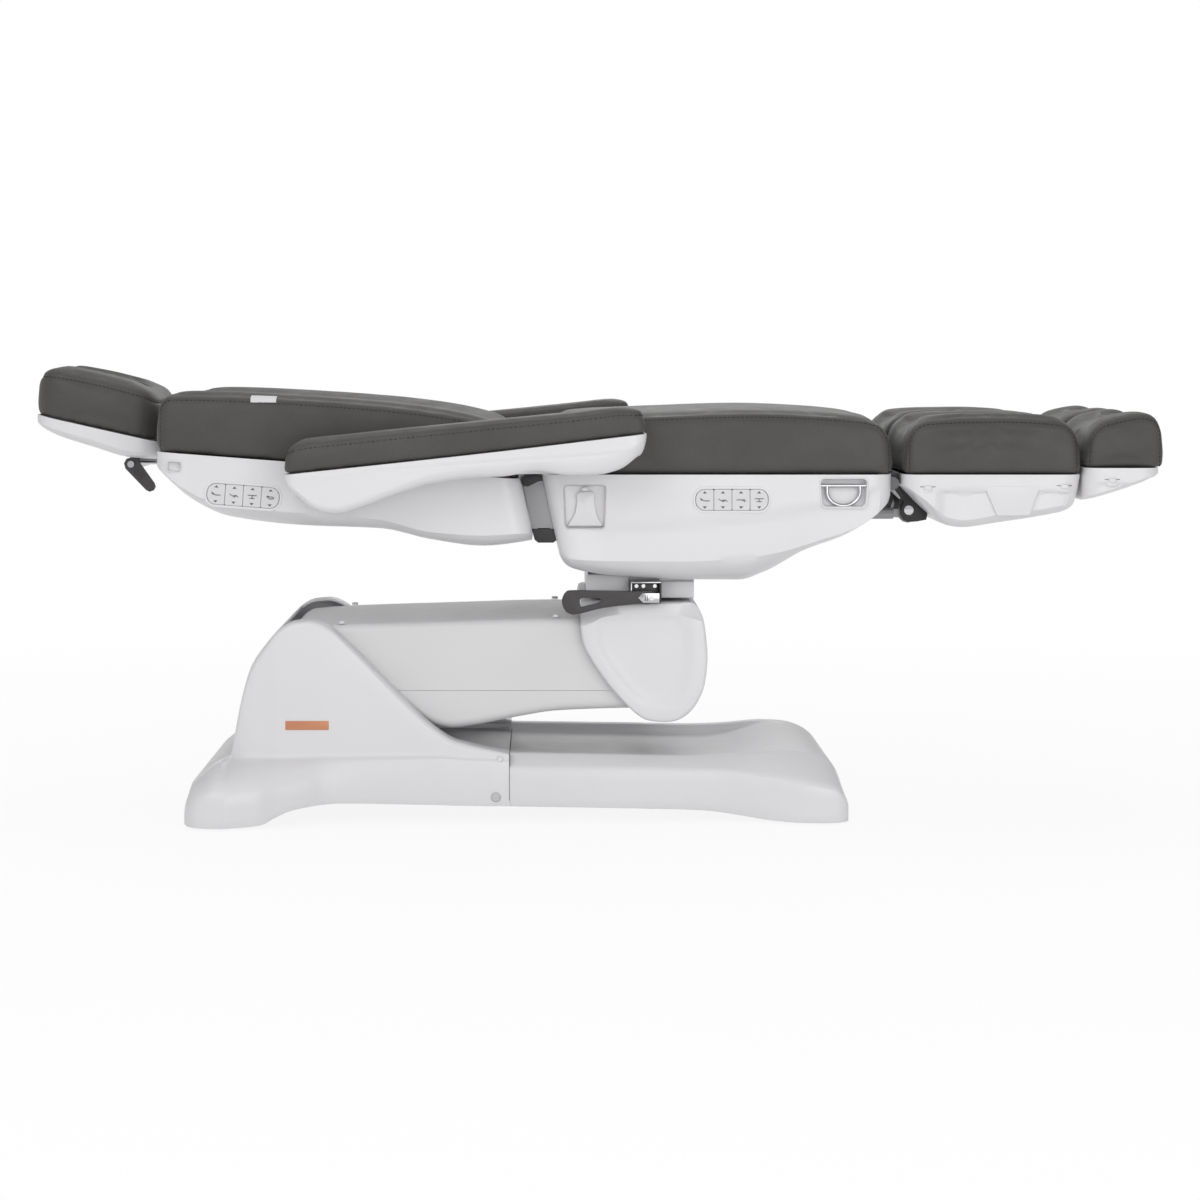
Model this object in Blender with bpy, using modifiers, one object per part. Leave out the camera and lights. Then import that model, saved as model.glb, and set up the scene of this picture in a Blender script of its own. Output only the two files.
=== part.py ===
"""Electric spa treatment table: base, lift arm, swivel, seat, backrest, headrest, armrests and split legs.

Metres, +Z up, X from the head end to the foot end, near side at -Y. The origin is on the floor under the
middle of the table. Every sub-part is one object; a moving piece hangs on an empty on its joint's axis.
"""

import math

import bmesh
import bpy
from mathutils import Matrix, Vector

# General clearances and stock
FIT = 0.0003  # gap between pieces that touch
PLAY = 0.0008  # running clearance of pins, tubes and keys
WALL = 0.004  # moulded covers
OVERRUN = 0.012  # how far a cutter runs past the faces it cuts
STEEL = 0.008  # flat bar of ears and brackets
EAR_GAP = 0.0005  # side clearance between neighbouring ears
STEP = 0.0015  # set-back of a welded piece from the faces of the one it joins

# Platform: all sections share these
BED_HALF_WIDTH = 0.300
RAIL_HEIGHT = 0.012  # flat bar rails under the cushions

# Axes of the lift arm
LIFT_PIVOT_X = -0.460
LIFT_PIVOT_Z = 0.250
ARM_LENGTH = 0.555
HEAD_PIVOT_X = LIFT_PIVOT_X + ARM_LENGTH
HEAD_PIVOT_RISE = 0.012
HEAD_PIVOT_Z = LIFT_PIVOT_Z + HEAD_PIVOT_RISE
ARM_HALF_WIDTH = 0.190
PIN_RADIUS = 0.012
HUB_RADIUS = 0.022

# Base
COLUMN_CHEEK = 0.05
COLUMN_HALF_WIDTH = ARM_HALF_WIDTH + COLUMN_CHEEK
BASE_BEHIND = 0.209
BASE_REAR_X = LIFT_PIVOT_X - BASE_BEHIND
BASE_SPLIT_AHEAD = 0.3228
BASE_SPLIT_X = LIFT_PIVOT_X + BASE_SPLIT_AHEAD
BASE_AHEAD = 0.329
BASE_FRONT_X = HEAD_PIVOT_X + BASE_AHEAD
REAR_FOOT_FLARE = 0.092
REAR_FOOT_HALF_WIDTH = COLUMN_HALF_WIDTH + REAR_FOOT_FLARE
FRONT_FOOT_FLARE = 0.032
FRONT_FOOT_HALF_WIDTH = COLUMN_HALF_WIDTH + FRONT_FOOT_FLARE
COLUMN_OVER_PIVOT = 0.0835
COLUMN_HEIGHT = LIFT_PIVOT_Z + COLUMN_OVER_PIVOT
TRAY_INSET = 0.027
TRAY_HALF_WIDTH = COLUMN_HALF_WIDTH - TRAY_INSET
TRAY_RIM_HEIGHT = 0.111
TRAY_RIM_BREADTH = 0.030
TRAY_DEPTH = 0.017
TRAY_FLOOR_HEIGHT = TRAY_RIM_HEIGHT - TRAY_DEPTH
COLUMN_ROUND = 0.012  # radius of the rear cover's upper edges
COLUMN_LIP = 0.008  # fillet between the rear cover's column and its foot
CHASSIS_Z = 0.016
CHASSIS_TUBE = 0.030
CHASSIS_HALF_WIDTH = 0.115
REAR_BEAM_INSET = 0.064
REAR_BEAM_X = BASE_REAR_X + REAR_BEAM_INSET
FRONT_BEAM_INSET = 0.079
FRONT_BEAM_X = BASE_FRONT_X - FRONT_BEAM_INSET
REAR_PAD_INSET = 0.062
REAR_PAD_Y = REAR_FOOT_HALF_WIDTH - REAR_PAD_INSET
FRONT_PAD_INSET = 0.067
FRONT_PAD_Y = FRONT_FOOT_HALF_WIDTH - FRONT_PAD_INSET
PAD_RADIUS = 0.025
PAD_HEIGHT = 0.0155
EAR_REAR_Y = 0.090  # inner face of the pivot ears
POWER_LENGTH = 0.046
POWER_WIDTH = 0.130
POWER_HEIGHT = 0.098
INLET_WIDTH = 0.030
INLET_HEIGHT = 0.024
INLET_DEPTH = 0.014

# Lift arm
LINK_DROP = 0.055  # the parallel link's pins lie this far under the arm's
ARM_SLOT_PLAY = 0.005
ARM_SLOT_BEHIND = 0.027  # the rear cover's slot starts this far behind the arm's pivot
ARM_COVER_REAR_REACH = 0.076
ARM_COVER_REAR_X = LIFT_PIVOT_X - ARM_COVER_REAR_REACH
ARM_COVER_FRONT_STOP = 0.073
ARM_COVER_FRONT_X = HEAD_PIVOT_X - ARM_COVER_FRONT_STOP
ARM_TOP_RISE = 0.0835
ARM_TOP_HEIGHT = LIFT_PIVOT_Z + ARM_TOP_RISE
ARM_SEAM_DROP = 0.038
ARM_SEAM_HEIGHT = LIFT_PIVOT_Z - ARM_SEAM_DROP
ARM_PLATE_Y = 0.062
ARM_PLATE_HEIGHT = 0.052
LIFT_MOTOR_AHEAD = 0.04
LIFT_MOTOR_X = LIFT_PIVOT_X + LIFT_MOTOR_AHEAD
LIFT_MOTOR_RISE = 0.042
LIFT_MOTOR_Z = CHASSIS_Z + LIFT_MOTOR_RISE
LIFT_PUSH_AHEAD = 0.198
LIFT_PUSH_X = LIFT_PIVOT_X + LIFT_PUSH_AHEAD
LIFT_PUSH_DROP = 0.045
LIFT_PUSH_Z = LIFT_PIVOT_Z - LIFT_PUSH_DROP
LINK_OUTSIDE = 0.022
LINK_Y = EAR_REAR_Y + LINK_OUTSIDE

# Pivot head and swivel
HOUSING_CHEEK = 0.032
HOUSING_HALF_WIDTH = ARM_HALF_WIDTH + HOUSING_CHEEK
HOUSING_BEHIND = 0.1134
HOUSING_REAR_X = HEAD_PIVOT_X - HOUSING_BEHIND
HOUSING_AHEAD = 0.099
HOUSING_FRONT_X = HEAD_PIVOT_X + HOUSING_AHEAD
HOUSING_ABOVE = 0.1005
HOUSING_TOP = HEAD_PIVOT_Z + HOUSING_ABOVE
HOUSING_BELOW = 0.0988
HOUSING_BOTTOM = HEAD_PIVOT_Z - HOUSING_BELOW
SWIVEL_HUB_RADIUS = 0.050
POST_BEHIND = 0.1005
POST_REAR_X = HEAD_PIVOT_X - POST_BEHIND
POST_AHEAD = 0.077
POST_FRONT_X = HEAD_PIVOT_X + POST_AHEAD
POST_HALF_WIDTH = ARM_HALF_WIDTH
POST_GAP = 0.005
POST_BOTTOM = HOUSING_TOP + POST_GAP
POST_HEIGHT = 0.0405
POST_TOP = POST_BOTTOM + POST_HEIGHT
POST_CORNER = 0.022
LOCK_BRACKET_BEHIND = 0.03
LOCK_BRACKET_REAR_X = HEAD_PIVOT_X - LOCK_BRACKET_BEHIND
LOCK_BRACKET_LENGTH = 0.050
LOCK_BRACKET_BOTTOM = HOUSING_TOP + EAR_GAP
LOCK_BRACKET_UNDER = 0.0095
LOCK_BRACKET_TOP = POST_TOP - LOCK_BRACKET_UNDER
LOCK_BRACKET_DEPTH = 0.037
LOCK_PIVOT_AHEAD = 0.0317
LOCK_PIVOT_X = LOCK_BRACKET_REAR_X + LOCK_PIVOT_AHEAD
LOCK_PIVOT_ABOVE = 0.0097
LOCK_PIVOT_Z = LOCK_BRACKET_BOTTOM + LOCK_PIVOT_ABOVE
LOCK_PIN_RADIUS = 0.006
LOCK_LEVER_LENGTH = 0.1465
LOCK_LEVER_HEIGHT = 0.040
LOCK_LEVER_THICKNESS = 0.014
LEVER_TIP_SHARE = 0.725  # of the lever's height, from its pivot down to its lowest point
TURN_RADIUS = POST_HALF_WIDTH + FIT + LOCK_BRACKET_DEPTH  # the lever turns round the housing outside this
TURN_STEP_Z = LOCK_PIVOT_Z - LOCK_LEVER_HEIGHT * LEVER_TIP_SHARE - PLAY

# Seat
SEAT_SHELL_DEPTH = 0.1790
SEAT_SINK = 0.008  # the post's top stands this far inside the seat cover
PLATFORM_HEIGHT = POST_TOP - SEAT_SINK + SEAT_SHELL_DEPTH  # underside of the seat cushion
SEAT_FLOOR_HALF_WIDTH = 0.236
SEAT_BEHIND = 0.178
SEAT_REAR_X = HEAD_PIVOT_X - SEAT_BEHIND
SEAT_LENGTH = 0.5760
SEAT_FRONT_X = SEAT_REAR_X + SEAT_LENGTH
SEAT_PAD_INSET = 0.006
SEAT_PAD_REAR_X = SEAT_REAR_X + SEAT_PAD_INSET
SEAT_PAD_SHORT = 0.0035
SEAT_PAD_LENGTH = SEAT_LENGTH - SEAT_PAD_SHORT
SEAT_PAD_HEIGHT = 0.1075
TILT_PIVOT_BEHIND = 0.075
TILT_PIVOT_X = HEAD_PIVOT_X - TILT_PIVOT_BEHIND
TILT_PIVOT_ABOVE = 0.042
TILT_PIVOT_Z = POST_TOP + TILT_PIVOT_ABOVE
TILT_EAR_Y = 0.100
TILT_MOTOR_AHEAD = 0.025
TILT_MOTOR_X = HEAD_PIVOT_X + TILT_MOTOR_AHEAD
TILT_MOTOR_ABOVE = 0.022
TILT_MOTOR_Z = POST_TOP + TILT_MOTOR_ABOVE
TILT_PUSH_AHEAD = 0.185
TILT_PUSH_X = TILT_PIVOT_X + TILT_PUSH_AHEAD
TILT_PUSH_UNDER = 0.037
TILT_PUSH_Z = PLATFORM_HEIGHT - TILT_PUSH_UNDER
TILT_Y = 0.055
SEAT_RAIL_Y = 0.185
SEAT_RAIL_BREADTH = 0.030
KEY_WIDTH = 0.0285
KEY_HEIGHT = 0.0335
KEY_GAP = 0.0012
KEY_DEPTH = 0.008
KEY_PROUD = 0.0012
KEY_POCKET_DEPTH = 0.0105
SEAT_KEYS_SHARE = 0.5408  # of the seat's length, to the middle of the row of keys
SEAT_KEYS_X = SEAT_REAR_X + SEAT_LENGTH * SEAT_KEYS_SHARE
SEAT_KEYS_UNDER = 0.0415
SEAT_KEYS_Z = PLATFORM_HEIGHT - SEAT_KEYS_UNDER
RING_BEHIND = 0.081
RING_X = SEAT_FRONT_X - RING_BEHIND
RING_UNDER = 0.0185
RING_Z = PLATFORM_HEIGHT - RING_UNDER
RING_HALF_WIDTH = 0.0270
RING_DROP = 0.0330
RING_WIRE = 0.0032
RING_POCKET_WIDTH = 0.076
RING_POCKET_HEIGHT = 0.048
RING_POCKET_DEPTH = 0.016
RECESS_AHEAD = 0.119
RECESS_X = SEAT_REAR_X + RECESS_AHEAD
RECESS_UNDER = 0.053
RECESS_Z = PLATFORM_HEIGHT - RECESS_UNDER
RECESS_WIDTH = 0.068
RECESS_HEIGHT = 0.068
RECESS_DEPTH = 0.010

# Backrest
BACK_GAP = 0.0360  # between the seat's and the backrest's covers
BACK_LENGTH = 0.5985
BACK_FRONT_X = SEAT_REAR_X - BACK_GAP
BACK_REAR_X = BACK_FRONT_X - BACK_LENGTH
BACK_REAR_RISE = 0.0376
BACK_REAR_RIM_Z = PLATFORM_HEIGHT + BACK_REAR_RISE
BACK_FRONT_DROP = 0.0076
BACK_FRONT_RIM_Z = PLATFORM_HEIGHT - BACK_FRONT_DROP
BACK_SHELL_DEPTH = 0.1180
BACK_PAD_HEIGHT = 0.1080
BACK_PIVOT_BEHIND = 0.019
BACK_PIVOT_X = SEAT_REAR_X - BACK_PIVOT_BEHIND
BACK_PIVOT_ABOVE = 0.036
BACK_PIVOT_Z = PLATFORM_HEIGHT + BACK_PIVOT_ABOVE
BACK_EAR_Y = 0.236
BACK_MOTOR_AHEAD = 0.183
BACK_MOTOR_X = SEAT_REAR_X + BACK_MOTOR_AHEAD
BACK_MOTOR_UNDER = 0.139
BACK_MOTOR_Z = PLATFORM_HEIGHT - BACK_MOTOR_UNDER
BACK_PUSH_BEHIND = 0.063
BACK_PUSH_X = BACK_PIVOT_X - BACK_PUSH_BEHIND
BACK_PUSH_UNDER = 0.049
BACK_PUSH_Z = PLATFORM_HEIGHT - BACK_PUSH_UNDER
BACK_Y = -0.055
BACK_RAIL_Y = 0.135
BACK_KEYS_AHEAD = 0.145
BACK_KEYS_X = BACK_REAR_X + BACK_KEYS_AHEAD
BACK_KEYS_UNDER = 0.035
BACK_KEYS_Z = PLATFORM_HEIGHT - BACK_KEYS_UNDER
BELT_SLOT_AHEAD = 0.032
BELT_SLOT_X = BACK_REAR_X + BELT_SLOT_AHEAD
BELT_SLOT_ABOVE = 0.013
BELT_SLOT_Z = PLATFORM_HEIGHT + BELT_SLOT_ABOVE
BELT_SLOT_WIDTH = 0.023
BELT_SLOT_HEIGHT = 0.017

# Headrest
HEADREST_HALF_WIDTH = 0.150
HEADREST_REACH = 0.2225
HEADREST_OUTER_X = BACK_REAR_X - HEADREST_REACH
HEADREST_LENGTH = 0.2080
HEADREST_OUTER_RISE = 0.0945
HEADREST_OUTER_RIM_Z = PLATFORM_HEIGHT + HEADREST_OUTER_RISE
HEADREST_INNER_RISE = 0.048
HEADREST_INNER_RIM_Z = PLATFORM_HEIGHT + HEADREST_INNER_RISE
HEADREST_SHELL_DEPTH = 0.0300
HEADREST_PAD_HEIGHT = 0.0900
HEAD_TILT_BEHIND = 0.0655
HEAD_TILT_X = BACK_REAR_X - HEAD_TILT_BEHIND
HEAD_TILT_ABOVE = 0.0095
HEAD_TILT_Z = PLATFORM_HEIGHT + HEAD_TILT_ABOVE
ROD_RADIUS = 0.0065
ROD_Y = 0.060
ROD_ABOVE = 0.0135
ROD_Z = PLATFORM_HEIGHT + ROD_ABOVE
ROD_LENGTH = 0.230
FACE_HOLE_AHEAD = 0.098
FACE_HOLE_X = HEADREST_OUTER_X + FACE_HOLE_AHEAD
FACE_HOLE_LENGTH = 0.1380
FACE_HOLE_WIDTH = 0.0900
HEAD_LEVER_LENGTH = 0.050
HEAD_LEVER_BREADTH = 0.018

# Armrests
ARMREST_GAP = 0.015
ARMREST_INNER_Y = BED_HALF_WIDTH + ARMREST_GAP
ARMREST_BREADTH = 0.105
ARMREST_OUTER_Y = ARMREST_INNER_Y + ARMREST_BREADTH
ARMREST_AHEAD = 0.2225
ARMREST_REAR_X = BACK_REAR_X + ARMREST_AHEAD
ARMREST_LENGTH = 0.5820
ARMREST_REAR_RISE = 0.0045
ARMREST_REAR_RIM_Z = PLATFORM_HEIGHT + ARMREST_REAR_RISE
ARMREST_FRONT_RISE = 0.07
ARMREST_FRONT_RIM_Z = PLATFORM_HEIGHT + ARMREST_FRONT_RISE
ARMREST_DEPTH = 0.0850
ARMREST_PAD_HEIGHT = 0.0500
ARMREST_PIVOT_AHEAD = 0.081
ARMREST_PIVOT_X = ARMREST_REAR_X + ARMREST_PIVOT_AHEAD
ARMREST_PIVOT_UNDER = 0.028
ARMREST_PIVOT_Z = PLATFORM_HEIGHT - ARMREST_PIVOT_UNDER
ARMREST_PIN_RADIUS = 0.009

# Legs and feet
LEG_PIVOT_AHEAD = 0.0032
LEG_PIVOT_X = SEAT_FRONT_X + LEG_PIVOT_AHEAD
LEG_PIVOT_UNDER = 0.0158
LEG_PIVOT_Z = PLATFORM_HEIGHT - LEG_PIVOT_UNDER
LEG_PIN_RADIUS = 0.006
LEG_HUB_RADIUS = 0.011
LEG_INNER_Y = 0.010
LEG_SHELL_GAP = 0.0133
LEG_SHELL_START_X = LEG_PIVOT_X + LEG_SHELL_GAP
LEG_SHELL_LENGTH = 0.2945
LEG_SHELL_END_X = LEG_SHELL_START_X + LEG_SHELL_LENGTH
LEG_SHELL_DEPTH = 0.0890
LEG_PAD_INSET = 0.0015
LEG_PAD_START_X = LEG_SHELL_START_X + LEG_PAD_INSET
LEG_PAD_SHORT = 0.0015
LEG_PAD_LENGTH = LEG_SHELL_LENGTH - LEG_PAD_SHORT
LEG_PAD_HEIGHT = 0.0965
CLEVIS_AHEAD = 0.0378
CLEVIS_X = LEG_PIVOT_X + CLEVIS_AHEAD
CLEVIS_UNDER = 0.065
CLEVIS_Z = PLATFORM_HEIGHT - CLEVIS_UNDER
CLEVIS_RADIUS = 0.015
CLEVIS_PIN_RADIUS = 0.004
PUSH_EYE_RADIUS = 0.0160
PUSH_EYE_BORE = 0.0112
PUSH_ROD_UNDER = 0.0714
PUSH_ROD_Z = PLATFORM_HEIGHT - PUSH_ROD_UNDER
PUSH_ROD_RADIUS = 0.0098
PUSH_ROD_LENGTH = 0.203
PUSH_ROD_REAR_X = SEAT_FRONT_X - PUSH_ROD_LENGTH
PUSH_EYE_BREADTH = 0.010
LEG_MOTOR_BEHIND = 0.178
LEG_MOTOR_REAR_X = SEAT_FRONT_X - LEG_MOTOR_BEHIND
LEG_MOTOR_LENGTH = 0.0900
LEG_MOTOR_RADIUS = 0.0270
LEG_SCREW_RADIUS = 0.008
LEG_SCREW_LENGTH = 0.11
LEG_SCREW_REAR_X = LEG_MOTOR_REAR_X - LEG_SCREW_LENGTH
FOOT_GAP = 0.0022
FOOT_START_X = LEG_SHELL_END_X + FOOT_GAP
FOOT_LENGTH = 0.1340
FOOT_RIM_RISE = 0.0107
FOOT_RIM_Z = PLATFORM_HEIGHT + FOOT_RIM_RISE
FOOT_SHELL_DEPTH = 0.0560
FOOT_PAD_HEIGHT = 0.0925
FOOT_TONGUE_LENGTH = 0.170
FOOT_TONGUE_Y = 0.060
FOOT_TONGUE_BREADTH = 0.028
FOOT_TONGUE_HEIGHT = 0.012
FOOT_TONGUE_UNDER = 0.023
FOOT_TONGUE_Z = PLATFORM_HEIGHT - FOOT_TONGUE_UNDER

LEG_HALF_WIDTH = (BED_HALF_WIDTH - LEG_INNER_Y) / 2
LEG_Y = (BED_HALF_WIDTH + LEG_INNER_Y) / 2
ARMREST_Y = (ARMREST_INNER_Y + ARMREST_OUTER_Y) / 2
ARMREST_HALF_WIDTH = (ARMREST_OUTER_Y - ARMREST_INNER_Y) / 2
BACK_SLOPE = math.atan2(BACK_REAR_RIM_Z - BACK_FRONT_RIM_Z, BACK_LENGTH)
SIDES = {"near": -1, "far": 1}

# Covers: shares of length, lean of the lower edge, crease depth, floor depth, floor half width
SEAT_SHELL_SHARES = [
    (0.000, 0.055, 0.64, 0.78, 0.70),
    (0.022, 0.072, 0.74, 0.895, 0.76),
    (0.180, 0.015, 0.79, 0.955, 0.79),
    (0.400, 0.010, 0.80, 0.995, 0.79),
    (0.560, 0.005, 0.77, 1.000, 0.79),
    (0.665, -0.020, 0.72, 0.915, 0.76),
    (0.785, -0.030, 0.61, 0.705, 0.72),
    (0.905, -0.030, 0.475, 0.565, 0.70),
    (1.000, -0.010, 0.23, 0.280, 0.72),
]
BACK_SHELL_SHARES = [
    (0.000, 0.008, 0.22, 0.345, 0.74),
    (0.096, 0.008, 0.54, 0.690, 0.76),
    (0.196, 0.000, 0.73, 0.865, 0.78),
    (0.395, 0.000, 0.72, 0.925, 0.78),
    (0.612, 0.000, 0.72, 0.890, 0.78),
    (0.755, 0.000, 0.81, 0.965, 0.76),
    (0.898, 0.000, 0.82, 1.000, 0.74),
    (1.000, 0.044, 0.74, 0.885, 0.70),
]
HEADREST_SHELL_SHARES = [
    (0.00, 0.020, 0.36, 0.52, 0.70),
    (0.18, 0.000, 0.60, 0.90, 0.74),
    (0.50, 0.000, 0.70, 1.00, 0.76),
    (0.82, 0.000, 0.70, 1.00, 0.74),
    (1.00, -0.030, 0.60, 0.80, 0.70),
]
ARMREST_SHELL_SHARES = [
    (0.000, 0.028, 0.32, 0.38, 0.60),
    (0.062, 0.008, 0.58, 0.66, 0.66),
    (0.138, 0.000, 0.78, 0.86, 0.68),
    (0.220, 0.000, 0.76, 0.84, 0.68),
    (0.330, 0.000, 0.53, 0.63, 0.66),
    (0.455, 0.000, 0.43, 0.53, 0.66),
    (0.620, 0.000, 0.52, 0.61, 0.66),
    (0.790, 0.000, 0.66, 0.76, 0.66),
    (0.920, -0.012, 0.65, 0.74, 0.62),
    (1.000, -0.040, 0.36, 0.46, 0.56),
]
LEG_SHELL_SHARES = [
    (0.000, 0.000, 0.14, 0.190, 0.80),
    (0.110, 0.000, 0.44, 0.540, 0.80),
    (0.250, 0.000, 0.82, 0.970, 0.80),
    (0.535, 0.000, 0.76, 0.915, 0.80),
    (0.830, 0.000, 0.64, 0.770, 0.80),
    (1.000, -0.045, 0.50, 0.660, 0.76),
]
FOOT_SHELL_SHARES = [
    (0.00, 0.000, 0.86, 1.00, 0.80),
    (0.38, 0.000, 0.62, 0.76, 0.78),
    (0.72, -0.030, 0.38, 0.50, 0.74),
    (0.93, -0.060, 0.20, 0.32, 0.66),
]
# Base covers: shares of length, top height, top half width, foot height, foot half width, lower edge
REAR_COVER_SHARES = [
    (0.0000, 0.150, 0.96, 0.138, 0.900, 0.020),
    (0.0126, 0.200, 0.97, 0.188, 0.950, 0.015),
    (0.0463, 0.249, 0.98, 0.237, 0.990, 0.012),
    (0.1014, 0.312, 1.00, 0.300, 1.000, 0.010),
    (0.1260, 0.324, 0.90, 0.304, 1.000, 0.010),
    (0.1390, 0.440, 0.92, 0.306, 0.996, 0.011),
    (0.1605, 0.607, 0.95, 0.308, 0.988, 0.012),
    (0.1917, 0.769, 0.97, 0.310, 0.975, 0.014),
    (0.2386, 0.880, 0.985, 0.310, 0.950, 0.020),
    (0.2775, 0.950, 1.00, 0.312, 0.915, 0.048),
    (0.3255, 0.992, 1.00, 0.312, 0.880, 0.078),
    (0.3789, 1.000, 1.00, 0.314, 0.840, 0.092),
    (0.4258, 0.977, 1.00, 0.316, 0.800, 0.098),
    (0.4726, 0.918, 1.00, 0.316, 0.780, 0.100),
    (0.6442, 0.644, 1.00, 0.318, 0.762, 0.094),
    (0.7691, 0.458, 1.00, 0.318, 0.750, 0.088),
    (0.8316, 0.398, 1.00, 0.314, 0.745, 0.084),
    (1.0000, 0.338, 1.00, 0.306, 0.740, 0.080),
]
# Tray cover: shares of length, rim height, rim half width, tray depth, foot height, foot half width, edge
FRONT_COVER_SHARES = [
    (0.000, 0.995, 1.00, 1.00, 0.80, 0.890, 0.235),
    (0.350, 0.975, 1.00, 1.00, 0.79, 0.885, 0.205),
    (0.560, 0.955, 1.00, 1.00, 0.77, 0.890, 0.180),
    (0.670, 0.970, 1.00, 0.85, 0.74, 0.905, 0.120),
    (0.735, 1.000, 1.00, 0.60, 0.70, 0.930, 0.070),
    (0.800, 1.030, 0.98, 0.30, 0.66, 0.965, 0.040),
    (0.870, 1.015, 0.96, 0.08, 0.62, 0.992, 0.028),
    (0.925, 0.940, 0.93, 0.04, 0.57, 1.000, 0.027),
    (0.965, 0.800, 0.89, 0.03, 0.52, 0.996, 0.030),
    (0.990, 0.540, 0.85, 0.02, 0.40, 0.975, 0.034),
    (1.000, 0.370, 0.82, 0.02, 0.30, 0.945, 0.040),
]

# Cushions: shares of length, base half width, crest height
SEAT_PAD_SHARES = [
    (0.00, 0.97, 0.62), (0.07, 1.00, 0.86), (0.30, 1.00, 1.00), (0.60, 1.00, 1.02), (0.85, 1.00, 0.96),
    (0.95, 1.00, 0.84), (1.00, 0.98, 0.66),
]
BACK_PAD_SHARES = [
    (0.00, 0.97, 0.74), (0.05, 1.00, 0.88), (0.20, 1.00, 0.97), (0.40, 0.99, 1.04), (0.60, 0.99, 1.02),
    (0.80, 1.00, 0.92), (0.93, 1.00, 0.78), (1.00, 0.98, 0.50),
]
HEADREST_PAD_SHARES = [(0.00, 0.90, 0.78), (0.12, 1.00, 0.98), (0.50, 1.00, 1.04), (0.88, 1.00, 0.98), (1.00, 0.92, 0.80)]
ARMREST_PAD_SHARES = [(0.00, 0.92, 0.50), (0.04, 1.00, 0.98), (0.50, 1.00, 1.02), (0.95, 1.00, 0.98), (1.00, 0.92, 0.66)]
LEG_PAD_SHARES = [(0.00, 0.95, 0.58), (0.08, 1.00, 0.90), (0.40, 1.00, 1.03), (0.80, 1.00, 0.98), (0.95, 1.00, 0.84), (1.00, 0.96, 0.56)]
FOOT_PAD_SHARES = [(0.00, 0.96, 0.52), (0.22, 1.00, 0.80), (0.62, 1.00, 1.02), (0.90, 0.99, 0.90), (1.00, 0.94, 0.52)]
# Cushion sections: shares of half width and of the crest's height
FLAT_SECTION_SHARES = [(-1.0, 0.90), (-0.62, 1.00), (0.0, 1.02), (0.62, 1.00), (1.0, 0.90)]
BOLSTER_SECTION_SHARES = [(-1.0, 0.92), (-0.80, 1.02), (-0.50, 0.90), (0.0, 0.78), (0.50, 0.90), (0.80, 1.02), (1.0, 0.92)]
BOLSTER_LEG_SHARES = [(-1.0, 0.92), (-0.70, 1.02), (0.0, 0.84), (0.70, 1.02), (1.0, 0.92)]
SMALL_SECTION_SHARES = [(-1.0, 0.92), (0.0, 1.03), (1.0, 0.92)]
SIDE_DRAW_SHARE = 0.035  # how far a cushion's top edge is drawn in, of its half width

MATERIALS = {
    "white_abs": ((0.78, 0.78, 0.79), 0.32, 0.0),
    "grey_abs": ((0.56, 0.56, 0.58), 0.40, 0.0),
    "leatherette": ((0.092, 0.090, 0.086), 0.48, 0.0),
    "painted_steel": ((0.16, 0.16, 0.17), 0.42, 0.6),
    "black_steel": ((0.02, 0.02, 0.022), 0.40, 0.5),
    "chrome": ((0.80, 0.80, 0.82), 0.10, 1.0),
    "grey_tube": ((0.32, 0.32, 0.33), 0.30, 0.8),
    "black_plastic": ((0.045, 0.043, 0.045), 0.45, 0.0),
    "rubber": ((0.02, 0.02, 0.02), 0.80, 0.0),
    "motor_grey": ((0.25, 0.25, 0.26), 0.50, 0.2),
}


def clear_scene():
    for old in list(bpy.data.objects):
        bpy.data.objects.remove(old, do_unlink=True)


def new_collection(name):
    group = bpy.data.collections.new(name)
    bpy.context.scene.collection.children.link(group)
    return group


def finish_of(name):
    found = bpy.data.materials.get(name)
    if found:
        return found
    colour, roughness, metallic = MATERIALS[name]
    made = bpy.data.materials.new(name)
    made.use_nodes = True
    shader = made.node_tree.nodes["Principled BSDF"]
    shader.inputs["Base Color"].default_value = (*colour, 1.0)
    shader.inputs["Roughness"].default_value = roughness
    shader.inputs["Metallic"].default_value = metallic
    made.diffuse_color = (*colour, 1.0)
    return made


clear_scene()
TABLE = new_collection("electric_spa_treatment_table")
CUTTERS = new_collection("cutters")
PIVOTS = {}


def add_pivot(name, x, y, z):
    """An empty on a joint's axis, which the moving pieces hang on."""
    empty = bpy.data.objects.new(name, None)
    empty.location = (x, y, z)
    TABLE.objects.link(empty)
    PIVOTS[name] = empty
    return empty


def hang(piece, pivot):
    """Parents a piece to the empty on its joint's axis and keeps it where it is."""
    empty = PIVOTS[pivot]
    piece.parent = empty
    piece.matrix_parent_inverse = Matrix.Translation(empty.location).inverted()
    return piece


def as_part(piece, name, finish):
    piece.name = name
    piece.data.name = name
    piece.data.materials.clear()
    piece.data.materials.append(finish_of(finish))
    for group in list(piece.users_collection):
        group.objects.unlink(piece)
    TABLE.objects.link(piece)
    return piece


def as_tool(piece):
    """A cutter, or a shape to be joined, which isn't a part itself."""
    for group in list(piece.users_collection):
        group.objects.unlink(piece)
    CUTTERS.objects.link(piece)
    piece.hide_render = True
    piece.display_type = "WIRE"
    return piece


def object_from(bm, name):
    mesh = bpy.data.meshes.new(name)
    bm.to_mesh(mesh)
    bm.free()
    piece = bpy.data.objects.new(name, mesh)
    bpy.context.scene.collection.objects.link(piece)
    return piece


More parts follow.
